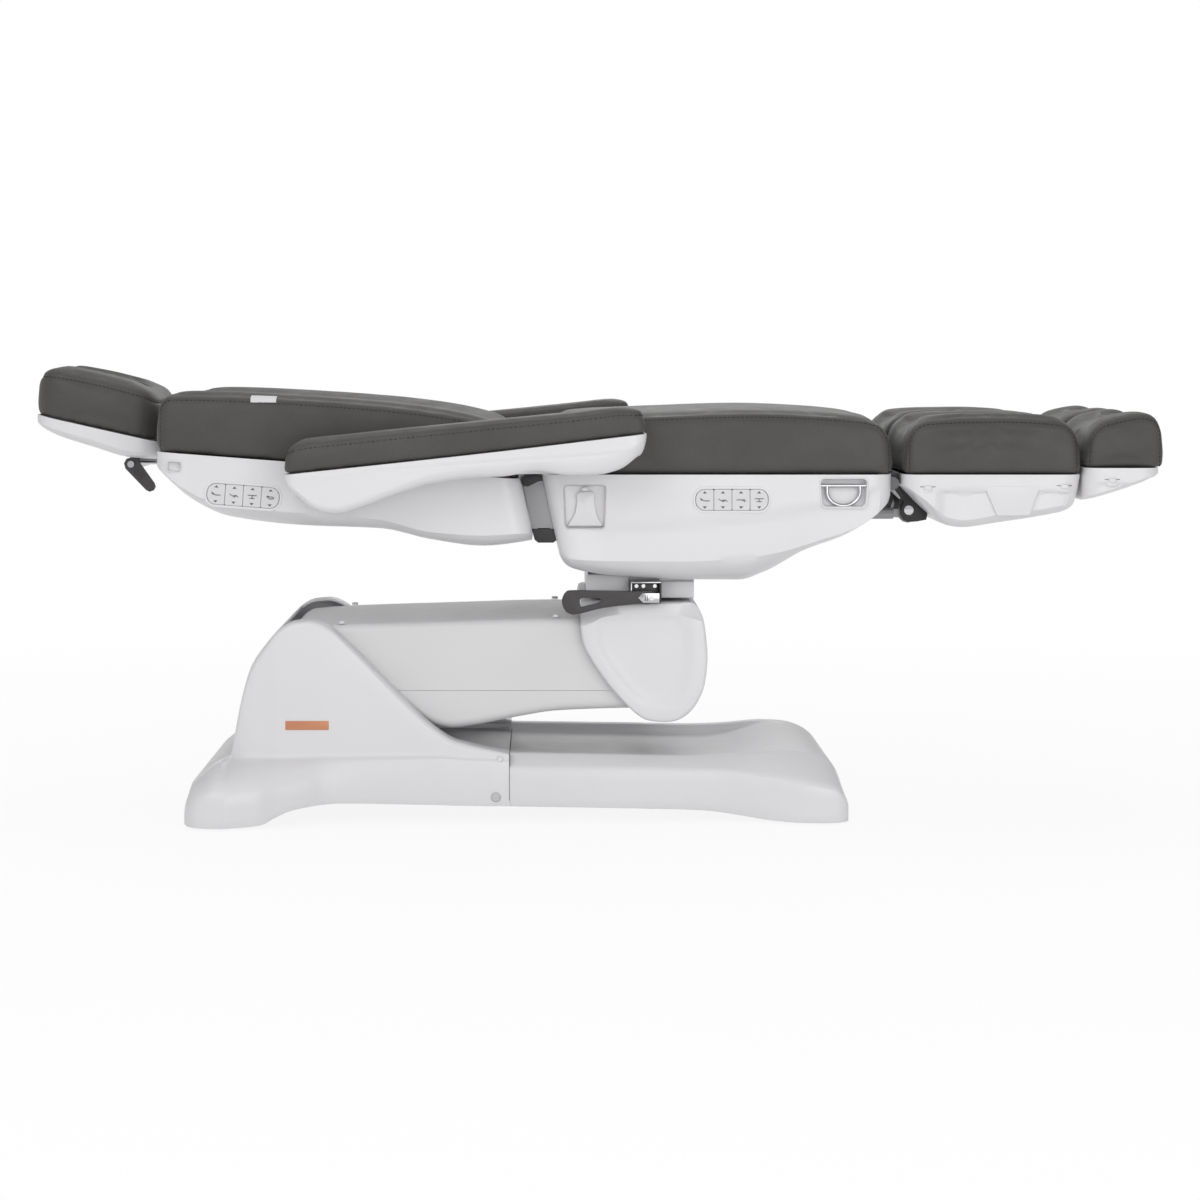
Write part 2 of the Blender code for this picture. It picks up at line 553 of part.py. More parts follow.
def box(x0, x1, y0, y1, z0, z1, turn=0.0, about=(0.0, 0.0)):
    """A block between two corners, turned about an axis along Y through about."""
    bm = bmesh.new()
    bmesh.ops.create_cube(bm, size=1.0)
    size = Matrix.Diagonal((x1 - x0, y1 - y0, z1 - z0, 1.0))
    place = Matrix.Translation(((x0 + x1) / 2, (y0 + y1) / 2, (z0 + z1) / 2))
    bm.transform(place @ size)
    if turn:
        centre = Matrix.Translation((about[0], 0.0, about[1]))
        bm.transform(centre @ Matrix.Rotation(turn, 4, "Y") @ centre.inverted())
    return object_from(bm, "box")


def rod(start, end, radius, segments=12):
    """A round bar between two points."""
    start = Vector(start)
    end = Vector(end)
    bm = bmesh.new()
    bmesh.ops.create_cone(
        bm, cap_ends=True, segments=segments, radius1=radius, radius2=radius, depth=(end - start).length
    )
    turn = Vector((0.0, 0.0, 1.0)).rotation_difference(end - start).to_matrix().to_4x4()
    bm.transform(Matrix.Translation((start + end) / 2) @ turn)
    piece = object_from(bm, "rod")
    piece.data.shade_smooth()
    piece.data.set_sharp_from_angle(angle=math.radians(40))
    return piece


def clear_of(radius, segments=12):
    """The radius of a bore that a pin of this radius turns in, with both of them many-sided."""
    return (radius + FIT) / math.cos(math.pi / segments)


def cross_rod(x, z, y0, y1, radius, segments=12):
    """A round bar along Y."""
    return rod((x, y0, z), (x, y1, z), radius, segments)


def plate(outline, y0, y1):
    """A flat outline in X and Z, filled and given its thickness along Y."""
    curve = bpy.data.curves.new("outline", "CURVE")
    curve.dimensions = "2D"
    curve.fill_mode = "BOTH"
    curve.extrude = (y1 - y0) / 2
    line = curve.splines.new("POLY")
    line.points.add(len(outline) - 1)
    for point, (x, z) in zip(line.points, outline):
        point.co = (x, z, 0.0, 1.0)
    line.use_cyclic_u = True
    flat = bpy.data.objects.new("outline", curve)
    flat.location = (0.0, (y0 + y1) / 2, 0.0)
    flat.rotation_euler = (math.pi / 2, 0.0, 0.0)
    bpy.context.scene.collection.objects.link(flat)
    return mesh_of_curve(flat)


def mesh_of_curve(flat):
    """The closed mesh that a curve object shows, with its caps welded."""
    bpy.context.view_layer.update()
    seen = flat.evaluated_get(bpy.context.evaluated_depsgraph_get())
    mesh = bpy.data.meshes.new_from_object(seen)
    mesh.transform(flat.matrix_world)
    bm = bmesh.new()
    bm.from_mesh(mesh)
    bmesh.ops.remove_doubles(bm, verts=bm.verts, dist=FIT / 30)
    bmesh.ops.recalc_face_normals(bm, faces=bm.faces)
    bm.to_mesh(mesh)
    bm.free()
    bpy.data.objects.remove(flat, do_unlink=True)
    piece = bpy.data.objects.new("plate", mesh)
    bpy.context.scene.collection.objects.link(piece)
    return piece


def arc(x, z, radius, start, end, steps):
    """Points on an arc in X and Z, angles in degrees from +X towards +Z."""
    angles = [math.radians(start + (end - start) * n / steps) for n in range(steps + 1)]
    return [(x + radius * math.cos(a), z + radius * math.sin(a)) for a in angles]


def capsule(x0, z0, x1, z1, radius0, radius1, steps=4):
    """An outline round two centres, for links and levers."""
    heading = math.degrees(math.atan2(z1 - z0, x1 - x0))
    first = arc(x0, z0, radius0, heading + 90, heading + 270, steps)
    return first + arc(x1, z1, radius1, heading - 90, heading + 90, steps)


def lug(x, z, top, radius):
    """A hanging lug: round about its pin at x and z, straight up to top."""
    return arc(x, z, radius, 180, 360, 5) + [(x + radius, top), (x - radius, top)]


def join(target, *tools):
    for tool in tools:
        change = target.modifiers.new("join", "BOOLEAN")
        change.operation = "UNION"
        change.object = as_tool(tool)
    return target


def cut(target, *tools):
    for tool in tools:
        change = target.modifiers.new("cut", "BOOLEAN")
        change.operation = "DIFFERENCE"
        change.object = as_tool(tool)
    return target


def loft(sections, close_start, close_end, close_round=False):
    """A surface through sections that have the same number of points, ends closed where asked."""
    bm = bmesh.new()
    rings = [[bm.verts.new(point) for point in section] for section in sections]
    for before, after in zip(rings, rings[1:]):
        for n in range(len(before) - 1):
            bm.faces.new((before[n], before[n + 1], after[n + 1], after[n]))
        if close_round:
            bm.faces.new((before[-1], before[0], after[0], after[-1]))
    if close_start:
        bm.faces.new(list(reversed(rings[0])))
    if close_end:
        bm.faces.new(rings[-1])
    bmesh.ops.recalc_face_normals(bm, faces=bm.faces)
    return bm


def walled(bm, name, finish, wall, outward_point):
    """Makes an open surface a moulded cover, its wall set inwards."""
    probe = max(bm.faces, key=lambda face: face.calc_area())
    towards = probe.calc_center_median() - Vector(outward_point)
    if probe.normal.dot(towards) < 0:
        bmesh.ops.reverse_faces(bm, faces=bm.faces)
    piece = as_part(object_from(bm, name), name, finish)
    skin = piece.modifiers.new("wall", "SOLIDIFY")
    skin.thickness = wall
    skin.offset = -1.0
    skin.use_even_offset = True
    skin.use_rim = True
    return piece


def tub(name, finish, x0, length, rim_start, rim_end, depth, centre_y, half_width, shares,
        side_share=0.42, close_start=True, close_end=True, floor=None):
    """An open-topped cover: U sections along X, vertical sides that turn under at a crease."""
    sections = []
    for along, lean, crease, drop, floor_share in shares:
        rim = rim_start + (rim_end - rim_start) * along
        floor_half = half_width * floor_share if floor is None else floor * floor_share / shares[2][4]
        half = [
            (half_width, -WALL / depth),
            (half_width, min(side_share, crease * 0.9)),
            (half_width - (half_width - floor_half) * 0.12, crease),
            (half_width - (half_width - floor_half) * 0.45, crease + (drop - crease) * 0.70),
            (floor_half, drop),
        ]
        full = half + [(-y, share) for y, share in reversed(half)]
        sections.append([
            (x0 + length * (along + lean * share / max(drop, 0.01)), centre_y + y, rim - depth * share)
            for y, share in full
        ])
    bm = loft(sections, close_start, close_end)
    inside = (x0 + length / 2, centre_y, (rim_start + rim_end) / 2)
    piece = walled(bm, name, finish, WALL, inside)
    slope = math.atan2(rim_start - rim_end, length)
    wide = half_width + OVERRUN
    level = box(x0 - OVERRUN * 2, x0 + length + OVERRUN * 2, centre_y - wide, centre_y + wide, rim_start, rim_start + OVERRUN,
                slope, (x0, rim_start))
    return cut(piece, level)


def pocket(shell, x0, x1, z0, z1, depth, face_y, turn=0.0, about=(0.0, 0.0)):
    """A moulded recess in a cover's side at face_y: a block behind the wall, then the hollow in it."""
    out = 1 if face_y > 0 else -1
    back = face_y - out * (depth + WALL)
    face = face_y - out * WALL / 2
    floor = face_y - out * depth
    edge = face_y + out * OVERRUN
    join(shell, box(x0 - WALL, x1 + WALL, min(back, face), max(back, face), z0 - WALL, z1 + WALL, turn, about))
    return cut(shell, box(x0, x1, min(floor, edge), max(floor, edge), z0, z1, turn, about))


def cushion(name, x0, length, base_start, base_end, height, centre_y, half_width, shares, section, hole=None):
    """A padded form: coarse cage with a crown and drawn-in sides, smoothed by subdivision."""
    bm = bmesh.new()
    top = []
    low = []
    for along, width, crest in shares:
        base = base_start + (base_end - base_start) * along + FIT
        x = x0 + length * along
        row_top = []
        row_low = []
        for y_share, rise in section:
            edge = abs(y_share) == 1.0
            draw = SIDE_DRAW_SHARE if edge else 0.0
            y = centre_y + half_width * y_share * width
            row_top.append(bm.verts.new((x, y * 1.0 - math.copysign(half_width * draw, y_share), base + height * crest * rise)))
            row_low.append(bm.verts.new((x, y, base)))
        top.append(row_top)
        low.append(row_low)
    last = len(section) - 1
    end = len(shares) - 1
    for i in range(end):
        for j in range(last):
            bm.faces.new((top[i][j], top[i + 1][j], top[i + 1][j + 1], top[i][j + 1]))
            bm.faces.new((low[i][j], low[i][j + 1], low[i + 1][j + 1], low[i + 1][j]))
    border = [(i, 0) for i in range(end)] + [(end, j) for j in range(last)]
    border += [(i, last) for i in range(end, 0, -1)] + [(0, j) for j in range(last, 0, -1)]
    middle = {}
    for i, j in border:
        swell = half_width * SIDE_DRAW_SHARE * 0.5
        place = (top[i][j].co + low[i][j].co) / 2
        if j in (0, last):
            place.y += swell if j == last else -swell
        middle[i, j] = bm.verts.new((place.x, low[i][j].co.y if j in (0, last) else place.y, place.z))
    for k, (i, j) in enumerate(border):
        n, m = border[(k + 1) % len(border)]
        bm.faces.new((low[i][j], low[n][m], middle[n, m], middle[i, j]))
        bm.faces.new((middle[i, j], middle[n, m], top[n][m], top[i][j]))
    bmesh.ops.recalc_face_normals(bm, faces=bm.faces)
    creases = bm.edges.layers.float.new("crease_edge")
    base_ring = {low[i][j] for i, j in border}
    for edge_line in bm.edges:
        if edge_line.verts[0] in base_ring and edge_line.verts[1] in base_ring and edge_line.is_manifold:
            faces = edge_line.link_faces
            if any(abs(face.normal.z) < 0.5 for face in faces):
                edge_line[creases] = 1.0
    piece = as_part(object_from(bm, name), name, "leatherette")
    smooth = piece.modifiers.new("smooth", "SUBSURF")
    smooth.levels = 1
    smooth.render_levels = 1
    piece.data.shade_smooth()
    if hole:
        cut(piece, hole)
    return piece


def actuator(prefix, low, high, y, body_radius, rod_radius, pin_low, pin_high, play, body_share, breadth):
    """A linear actuator: a body with an eye on its lower pin, and a rod with an eye round its upper pin."""
    start = Vector((low[0], y, low[1]))
    end = Vector((high[0], y, high[1]))
    along = (end - start).normalized()
    span = (end - start).length
    eye_low = pin_low + PLAY + STEEL * 0.7
    eye_high = pin_high + play + STEEL * 0.7
    body = cross_rod(low[0], low[1], y - breadth / 2, y + breadth / 2, eye_low)
    as_part(body, prefix + "_body", "motor_grey")
    neck = eye_low + body_radius
    join(body, rod(start + along * eye_low * 0.9, start + along * (neck + WALL), breadth * 0.42))
    join(body, rod(start + along * neck, start + along * span * body_share, body_radius))
    bore_start = start + along * (neck + WALL * 2)
    cut(body, cross_rod(low[0], low[1], y - breadth, y + breadth, pin_low + PLAY))
    cut(body, rod(bore_start, start + along * (span * body_share + OVERRUN), rod_radius + FIT, 12))
    bar = cross_rod(high[0], high[1], y - breadth / 2, y + breadth / 2, eye_high)
    as_part(bar, prefix + "_rod", "chrome")
    join(bar, rod(bore_start + along * OVERRUN / 2, end - along * eye_high * 0.6, rod_radius, 12))
    cut(bar, cross_rod(high[0], high[1], y - breadth, y + breadth, pin_high + play))
    return body, bar


def share_at(shares, along, column):
    """A value between two stations of a share table."""
    for before, after in zip(shares, shares[1:]):
        if before[0] <= along <= after[0]:
            part = (along - before[0]) / (after[0] - before[0])
            return before[column] + (after[column] - before[column]) * part
    return shares[-1][column]


def make_base_frame():
    """Welded chassis, the pivot ears of arm and link, and the lower pin of the lift actuator."""
    low = CHASSIS_Z
    high = CHASSIS_Z + CHASSIS_TUBE
    frame = box(REAR_BEAM_X, FRONT_BEAM_X, -CHASSIS_HALF_WIDTH, -CHASSIS_HALF_WIDTH + CHASSIS_TUBE, low, high)
    as_part(frame, "base_frame", "painted_steel")
    join(frame, box(REAR_BEAM_X, FRONT_BEAM_X, CHASSIS_HALF_WIDTH - CHASSIS_TUBE, CHASSIS_HALF_WIDTH, low, high))
    for x, half in ((REAR_BEAM_X, REAR_PAD_Y + PAD_RADIUS), (FRONT_BEAM_X, FRONT_PAD_Y + PAD_RADIUS)):
        join(frame, box(x - CHASSIS_TUBE / 2, x + CHASSIS_TUBE / 2, -half, half, low, high - FIT))
    rear = (REAR_COVER_SHARES, 4, BASE_REAR_X, BASE_SPLIT_X, REAR_FOOT_HALF_WIDTH)
    front = (FRONT_COVER_SHARES, 5, BASE_SPLIT_X, BASE_FRONT_X, FRONT_FOOT_HALF_WIDTH)
    for x, (shares, column, start, end, wide) in ((REAR_BEAM_X, rear), (FRONT_BEAM_X, front)):
        ends = [(x + way * STEEL - start) / (end - start) for way in SIDES.values()]
        half = wide * min(share_at(shares, along, column) for along in ends) - WALL - FIT * 2
        join(frame, box(x - STEEL, x + STEEL, -half, half, low + STEP, low + CHASSIS_TUBE * 0.45))
    for side in SIDES.values():
        inner = side * EAR_REAR_Y
        outer = side * (EAR_REAR_Y + STEEL)
        ear = [(LIFT_PIVOT_X - HUB_RADIUS * 2.5, low + CHASSIS_TUBE / 2), (LIFT_PIVOT_X + HUB_RADIUS * 2.5, low + CHASSIS_TUBE / 2)]
        ear += arc(LIFT_PIVOT_X, LIFT_PIVOT_Z, HUB_RADIUS, 0, 180, 8)
        join(frame, plate(ear, min(inner, outer), max(inner, outer)))
    reach = EAR_REAR_Y + STEEL / 2
    join(frame, cross_rod(LIFT_PIVOT_X, LIFT_PIVOT_Z, -reach, reach, PIN_RADIUS))
    join(frame, cross_rod(LIFT_MOTOR_X, LIFT_MOTOR_Z, -reach, reach, PIN_RADIUS * 0.7))
    pin_end = LINK_Y + STEEL
    join(frame, cross_rod(LIFT_PIVOT_X, LIFT_PIVOT_Z - LINK_DROP, reach, pin_end, PIN_RADIUS * 0.7))
    return frame


def make_levelling_feet():
    places = {
        "rear_near": (REAR_BEAM_X, -REAR_PAD_Y), "rear_far": (REAR_BEAM_X, REAR_PAD_Y),
        "front_near": (FRONT_BEAM_X, -FRONT_PAD_Y), "front_far": (FRONT_BEAM_X, FRONT_PAD_Y),
    }
    for name, (x, y) in places.items():
        foot = rod((x, y, 0.0), (x, y, PAD_HEIGHT * 0.45), PAD_RADIUS, 20)
        as_part(foot, "levelling_foot_" + name, "rubber")
        join(foot, rod((x, y, PAD_HEIGHT * 0.3), (x, y, CHASSIS_Z - FIT), PAD_RADIUS * 0.4, 12))


def rear_cover_half(crown, body, foot_z, wide, edge):
    """Half of the rear cover's section: crown, column wall, fillet, sloping foot and its rim."""
    bend = min(COLUMN_ROUND, (crown - foot_z) * 0.4)
    lip = min(COLUMN_LIP, (crown - foot_z) * 0.3)
    drop = foot_z * 0.45
    flare = wide - body
    return [
        (body - bend, crown), (body - bend * 0.3, crown - bend * 0.3), (body, crown - bend), (body, foot_z + lip),
        (body + flare * 0.20, foot_z - drop * 0.06), (body + flare * 0.62, foot_z - drop * 0.30),
        (body + flare * 0.90, foot_z - drop * 0.62), (wide, foot_z - drop), (wide, edge),
    ]


def make_rear_base_cover():
    """Column cheeks, roof and flared feet, as an outer form with an inner one cut from it."""
    length = BASE_SPLIT_X - FIT - BASE_REAR_X
    outer = []
    inner = []
    last = len(REAR_COVER_SHARES) - 1
    for n, (along, top, top_width, foot_top, foot_width, lower) in enumerate(REAR_COVER_SHARES):
        x = BASE_REAR_X + length * along
        half = rear_cover_half(COLUMN_HEIGHT * top, COLUMN_HALF_WIDTH * top_width, COLUMN_HEIGHT * foot_top,
                               REAR_FOOT_HALF_WIDTH * foot_width, COLUMN_HEIGHT * lower)
        before = REAR_COVER_SHARES[max(n - 1, 0)]
        after = REAR_COVER_SHARES[min(n + 1, last)]
        slope = math.atan2(COLUMN_HEIGHT * (after[1] - before[1]), length * (after[0] - before[0]))
        x_inner = x + WALL * math.tan(slope / 2)
        if n == 0:
            x_inner = x + WALL
        if n == last:
            x_inner = x + OVERRUN
        outer.append([(x, y, z) for y, z in half] + [(x, -y, z) for y, z in reversed(half)])
        hollow = rear_cover_half(COLUMN_HEIGHT * top - WALL, COLUMN_HALF_WIDTH * top_width - WALL,
                                 COLUMN_HEIGHT * foot_top - WALL, REAR_FOOT_HALF_WIDTH * foot_width - WALL,
                                 COLUMN_HEIGHT * lower - OVERRUN)
        inner.append([(x_inner, y, z) for y, z in hollow] + [(x_inner, -y, z) for y, z in reversed(hollow)])
    cover = as_part(object_from(loft(outer, True, True, True), "rear_base_cover"), "rear_base_cover", "white_abs")
    cut(cover, object_from(loft(inner, True, True, True), "hollow"))
    slot = ARM_HALF_WIDTH + ARM_SLOT_PLAY
    cut(cover, box(LIFT_PIVOT_X - ARM_SLOT_BEHIND, BASE_SPLIT_X + OVERRUN, -slot, slot, TRAY_FLOOR_HEIGHT, COLUMN_HEIGHT * 2))
    inlet_z = inlet_middle()
    half = INLET_WIDTH / 2 + PLAY
    tall = INLET_HEIGHT / 2 + PLAY
    cut(cover, box(BASE_REAR_X, power_front() - POWER_LENGTH, -half, half, inlet_z - tall, inlet_z + tall))
    return cover


def power_front():
    return LIFT_PIVOT_X - HUB_RADIUS * 2.6 - WALL


def inlet_middle():
    return CHASSIS_Z + CHASSIS_TUBE + FIT + POWER_HEIGHT - INLET_HEIGHT * 0.6


def make_power_unit():
    """The control box on the chassis, with the mains inlet that shows through the rear cover."""
    front = power_front()
    floor = CHASSIS_Z + CHASSIS_TUBE + FIT
    middle = inlet_middle()
    unit = box(front - POWER_LENGTH, front, -POWER_WIDTH / 2, POWER_WIDTH / 2, floor, floor + POWER_HEIGHT)
    as_part(unit, "power_unit", "black_plastic")
    tip = front - POWER_LENGTH - INLET_DEPTH * 2
    join(unit, box(tip, front - POWER_LENGTH / 2, -INLET_WIDTH / 2, INLET_WIDTH / 2, middle - INLET_HEIGHT / 2, middle + INLET_HEIGHT / 2))
    rim = WALL * 0.75
    cut(unit, box(tip - OVERRUN, tip + INLET_DEPTH, -INLET_WIDTH / 2 + rim, INLET_WIDTH / 2 - rim,
                  middle - INLET_HEIGHT / 2 + rim, middle + INLET_HEIGHT / 2 - rim))
    foot_half = CHASSIS_HALF_WIDTH
    join(unit, box(front - POWER_LENGTH * 0.7, front - POWER_LENGTH * 0.3, -foot_half, foot_half, floor, floor + WALL))
    return unit


def make_front_base_cover():
    length = BASE_FRONT_X - BASE_SPLIT_X
    sections = []
    for along, rim, rim_width, tray, foot_top, foot_width, lower in FRONT_COVER_SHARES:
        x = BASE_SPLIT_X + length * along
        rim_z = TRAY_RIM_HEIGHT * rim
        wide = FRONT_FOOT_HALF_WIDTH * foot_width
        body = TRAY_HALF_WIDTH * rim_width
        inner = body - TRAY_RIM_BREADTH
        floor = rim_z - (TRAY_RIM_HEIGHT - TRAY_FLOOR_HEIGHT) * tray
        foot_z = TRAY_RIM_HEIGHT * foot_top
        half = [
            (inner - TRAY_DEPTH - WALL, floor), (inner, rim_z - WALL * 0.3 * tray), (body - WALL, rim_z),
            (body + (wide - body) * 0.20, rim_z - (rim_z - foot_z) * 0.40),
            (body + (wide - body) * 0.80, foot_z), (wide, foot_z - (foot_z - TRAY_RIM_HEIGHT * lower) * 0.30),
            (wide, TRAY_RIM_HEIGHT * lower),
        ]
        full = [(y, z) for y, z in reversed(half)] + [(-y, z) for y, z in half]
        sections.append([(x, y, z) for y, z in full])
    bm = loft(sections, False, True)
    return walled(bm, "front_base_cover", "white_abs", WALL, (0.0, 0.0, -TRAY_RIM_HEIGHT))


def make_lift_arm_frame():
    """Two side plates between the rear and front hubs, and the cross pin that the lift actuator pushes."""
    hub_reach = EAR_REAR_Y - EAR_GAP
    frame = cross_rod(LIFT_PIVOT_X, LIFT_PIVOT_Z, -hub_reach, hub_reach, HUB_RADIUS, 16)
    as_part(frame, "lift_arm_frame", "painted_steel")
    join(frame, cross_rod(HEAD_PIVOT_X, HEAD_PIVOT_Z, -hub_reach, hub_reach, HUB_RADIUS, 16))
    outline = capsule(LIFT_PIVOT_X, LIFT_PIVOT_Z, HEAD_PIVOT_X, HEAD_PIVOT_Z, HUB_RADIUS * 1.2, HUB_RADIUS * 1.2)
    for side in SIDES.values():
        inner = side * ARM_PLATE_Y
        outer = side * (ARM_PLATE_Y + STEEL)
        join(frame, plate(outline, min(inner, outer), max(inner, outer)))
        lug = capsule(LIFT_PUSH_X, LIFT_PUSH_Z, LIFT_PUSH_X, LIFT_PIVOT_Z, PIN_RADIUS * 1.4, PIN_RADIUS * 1.4)
        join(frame, plate(lug, min(inner, outer) + FIT, max(inner, outer) - FIT))
    join(frame, cross_rod(LIFT_PUSH_X, LIFT_PUSH_Z, -ARM_PLATE_Y - STEEL / 2, ARM_PLATE_Y + STEEL / 2, PIN_RADIUS * 0.7))
    middle_x = (LIFT_PUSH_X + HEAD_PIVOT_X) / 2
    middle_z = (LIFT_PIVOT_Z + HEAD_PIVOT_Z) / 2
    join(frame, box(middle_x - CHASSIS_TUBE, middle_x + CHASSIS_TUBE, -ARM_HALF_WIDTH + WALL + FIT, ARM_HALF_WIDTH - WALL - FIT,
                    middle_z - CHASSIS_TUBE / 2, middle_z + CHASSIS_TUBE / 2))
    for x, z in ((LIFT_PIVOT_X, LIFT_PIVOT_Z), (HEAD_PIVOT_X, HEAD_PIVOT_Z)):
        cut(frame, cross_rod(x, z, -EAR_REAR_Y * 1.5, EAR_REAR_Y * 1.5, clear_of(PIN_RADIUS)))
    return frame


# Arm cover: shares of length and of height above the seam
ARM_TOP_SHARES = [(0.0, 0.35), (0.020, 0.62), (0.075, 0.84), (0.205, 0.93), (0.60, 0.97), (0.86, 1.0), (1.0, 0.99)]
ARM_LOWER_SHARES = [(0.0, 0.10), (0.30, 0.92), (0.55, 0.62), (0.80, 0.47), (1.0, 0.46)]
ARM_LOWER_START_X = -0.345
ARM_LOWER_DEPTH = 0.072
ARM_EDGE = 0.008
LOWER_NOTCH_SHARE = 0.26  # of the lower cover's length, open for the link and the actuator


def link_underside(x):
    along = (x - LIFT_PIVOT_X) / ARM_LENGTH
    return LIFT_PIVOT_Z + HEAD_PIVOT_RISE * along - LINK_DROP - PIN_RADIUS * 1.2


def make_lift_arm_covers():
    length = ARM_COVER_FRONT_X - ARM_COVER_REAR_X
    rise = ARM_TOP_HEIGHT - ARM_SEAM_HEIGHT
    upper = []
    for along, share in ARM_TOP_SHARES:
        x = ARM_COVER_REAR_X + length * along
        top = ARM_SEAM_HEIGHT + rise * share
        half = [(ARM_HALF_WIDTH, ARM_SEAM_HEIGHT + FIT), (ARM_HALF_WIDTH, top - ARM_EDGE), (ARM_HALF_WIDTH - ARM_EDGE, top)]
        full = half + [(-y, z) for y, z in reversed(half)]
        upper.append([(x, y, z) for y, z in full])
    bm = loft(upper, True, False)
    walled(bm, "lift_arm_upper_cover", "white_abs", WALL, (0.0, 0.0, ARM_SEAM_HEIGHT))
    length = ARM_COVER_FRONT_X - ARM_LOWER_START_X
    lower = []
    for along, share in ARM_LOWER_SHARES:
        x = ARM_LOWER_START_X + length * along
        low = ARM_SEAM_HEIGHT - ARM_LOWER_DEPTH * share
        if along > LOWER_NOTCH_SHARE:
            low = min(low, link_underside(x) - ARM_EDGE)
        edge = min(ARM_EDGE, (ARM_SEAM_HEIGHT - low) / 2)
        half = [(ARM_HALF_WIDTH, ARM_SEAM_HEIGHT), (ARM_HALF_WIDTH, low + edge), (ARM_HALF_WIDTH - edge, low)]
        full = half + [(-y, z) for y, z in reversed(half)]
        lower.append([(x, y, z) for y, z in full])
    bm = loft(lower, False, False)
    cover = walled(bm, "lift_arm_lower_cover", "white_abs", WALL, (0.0, 0.0, ARM_TOP_HEIGHT))
    floor = ARM_SEAM_HEIGHT - ARM_LOWER_DEPTH * 2
    notch_end = ARM_LOWER_START_X + length * LOWER_NOTCH_SHARE
    cut(cover, box(ARM_LOWER_START_X - OVERRUN, notch_end, -HUB_RADIUS * 1.4, HUB_RADIUS * 1.4, floor, ARM_SEAM_HEIGHT + OVERRUN))
    return cut(cover, box(ARM_LOWER_START_X - OVERRUN, notch_end + FIT, EAR_REAR_Y, LINK_Y + OVERRUN, floor, ARM_SEAM_HEIGHT + OVERRUN))


def make_parallel_link():
    """The bar beside the arm that keeps the pivot head upright."""
    outline = capsule(
        LIFT_PIVOT_X, LIFT_PIVOT_Z - LINK_DROP, HEAD_PIVOT_X, HEAD_PIVOT_Z - LINK_DROP, PIN_RADIUS * 1.2, PIN_RADIUS * 1.2
    )
    inner = EAR_REAR_Y + STEEL + EAR_GAP
    link = as_part(plate(outline, inner, LINK_Y + STEEL * 0.6), "parallel_link", "painted_steel")
    for x, z in ((LIFT_PIVOT_X, LIFT_PIVOT_Z), (HEAD_PIVOT_X, HEAD_PIVOT_Z)):
        cut(link, cross_rod(x, z - LINK_DROP, EAR_REAR_Y, LINK_Y + STEEL * 2, PIN_RADIUS * 0.7 + PLAY))
    return link


def housing_outline(inset):
    """The D of the pivot housing, drawn in by inset."""
    rear = HOUSING_REAR_X + inset
    front = HOUSING_FRONT_X - inset
    top = HOUSING_TOP - inset
    bottom = HOUSING_BOTTOM + inset
    width = front - rear
    height = top - bottom
    shares = [
        (0.00, 0.94), (0.00, 0.765), (0.07, 0.545), (0.215, 0.31), (0.395, 0.10), (0.50, 0.025), (0.61, 0.0), (0.71, 0.012),
        (0.82, 0.08), (0.94, 0.25), (0.99, 0.42), (1.0, 0.62), (0.985, 0.80), (0.94, 0.94), (0.87, 1.0), (0.06, 1.0),
    ]
    return [(rear + width * x, bottom + height * z) for x, z in shares]


def turning_ring(radius, z):
    """Everything outside a radius about the swivel's axis and above z."""
    top = HOUSING_TOP + OVERRUN
    ring = rod((HEAD_PIVOT_X, 0.0, z), (HEAD_PIVOT_X, 0.0, top), HOUSING_HALF_WIDTH * 1.5, 48)
    return cut(ring, rod((HEAD_PIVOT_X, 0.0, z - OVERRUN), (HEAD_PIVOT_X, 0.0, top + OVERRUN), radius, 48))


def make_pivot_housing():
    """The D-shaped housing; its upper corners are stepped back so that the swivel's lever turns past them."""
    half = HOUSING_HALF_WIDTH
    housing = as_part(plate(housing_outline(0.0), -half, half), "pivot_housing", "white_abs")
    hollow = plate(housing_outline(WALL), -half + WALL, half - WALL)
    cut(housing, cut(hollow, turning_ring(TURN_RADIUS - WALL, TURN_STEP_Z - WALL)))
    slot = ARM_HALF_WIDTH + ARM_SLOT_PLAY
    cut(housing, box(HOUSING_REAR_X - OVERRUN, HEAD_PIVOT_X, -slot, slot, 0.0, HOUSING_TOP - WALL * 2))
    cut(housing, rod((HEAD_PIVOT_X, 0.0, HOUSING_TOP - WALL * 3), (HEAD_PIVOT_X, 0.0, HOUSING_TOP + OVERRUN),
                     SWIVEL_HUB_RADIUS + PLAY, 32))
    return cut(housing, turning_ring(TURN_RADIUS, TURN_STEP_Z))


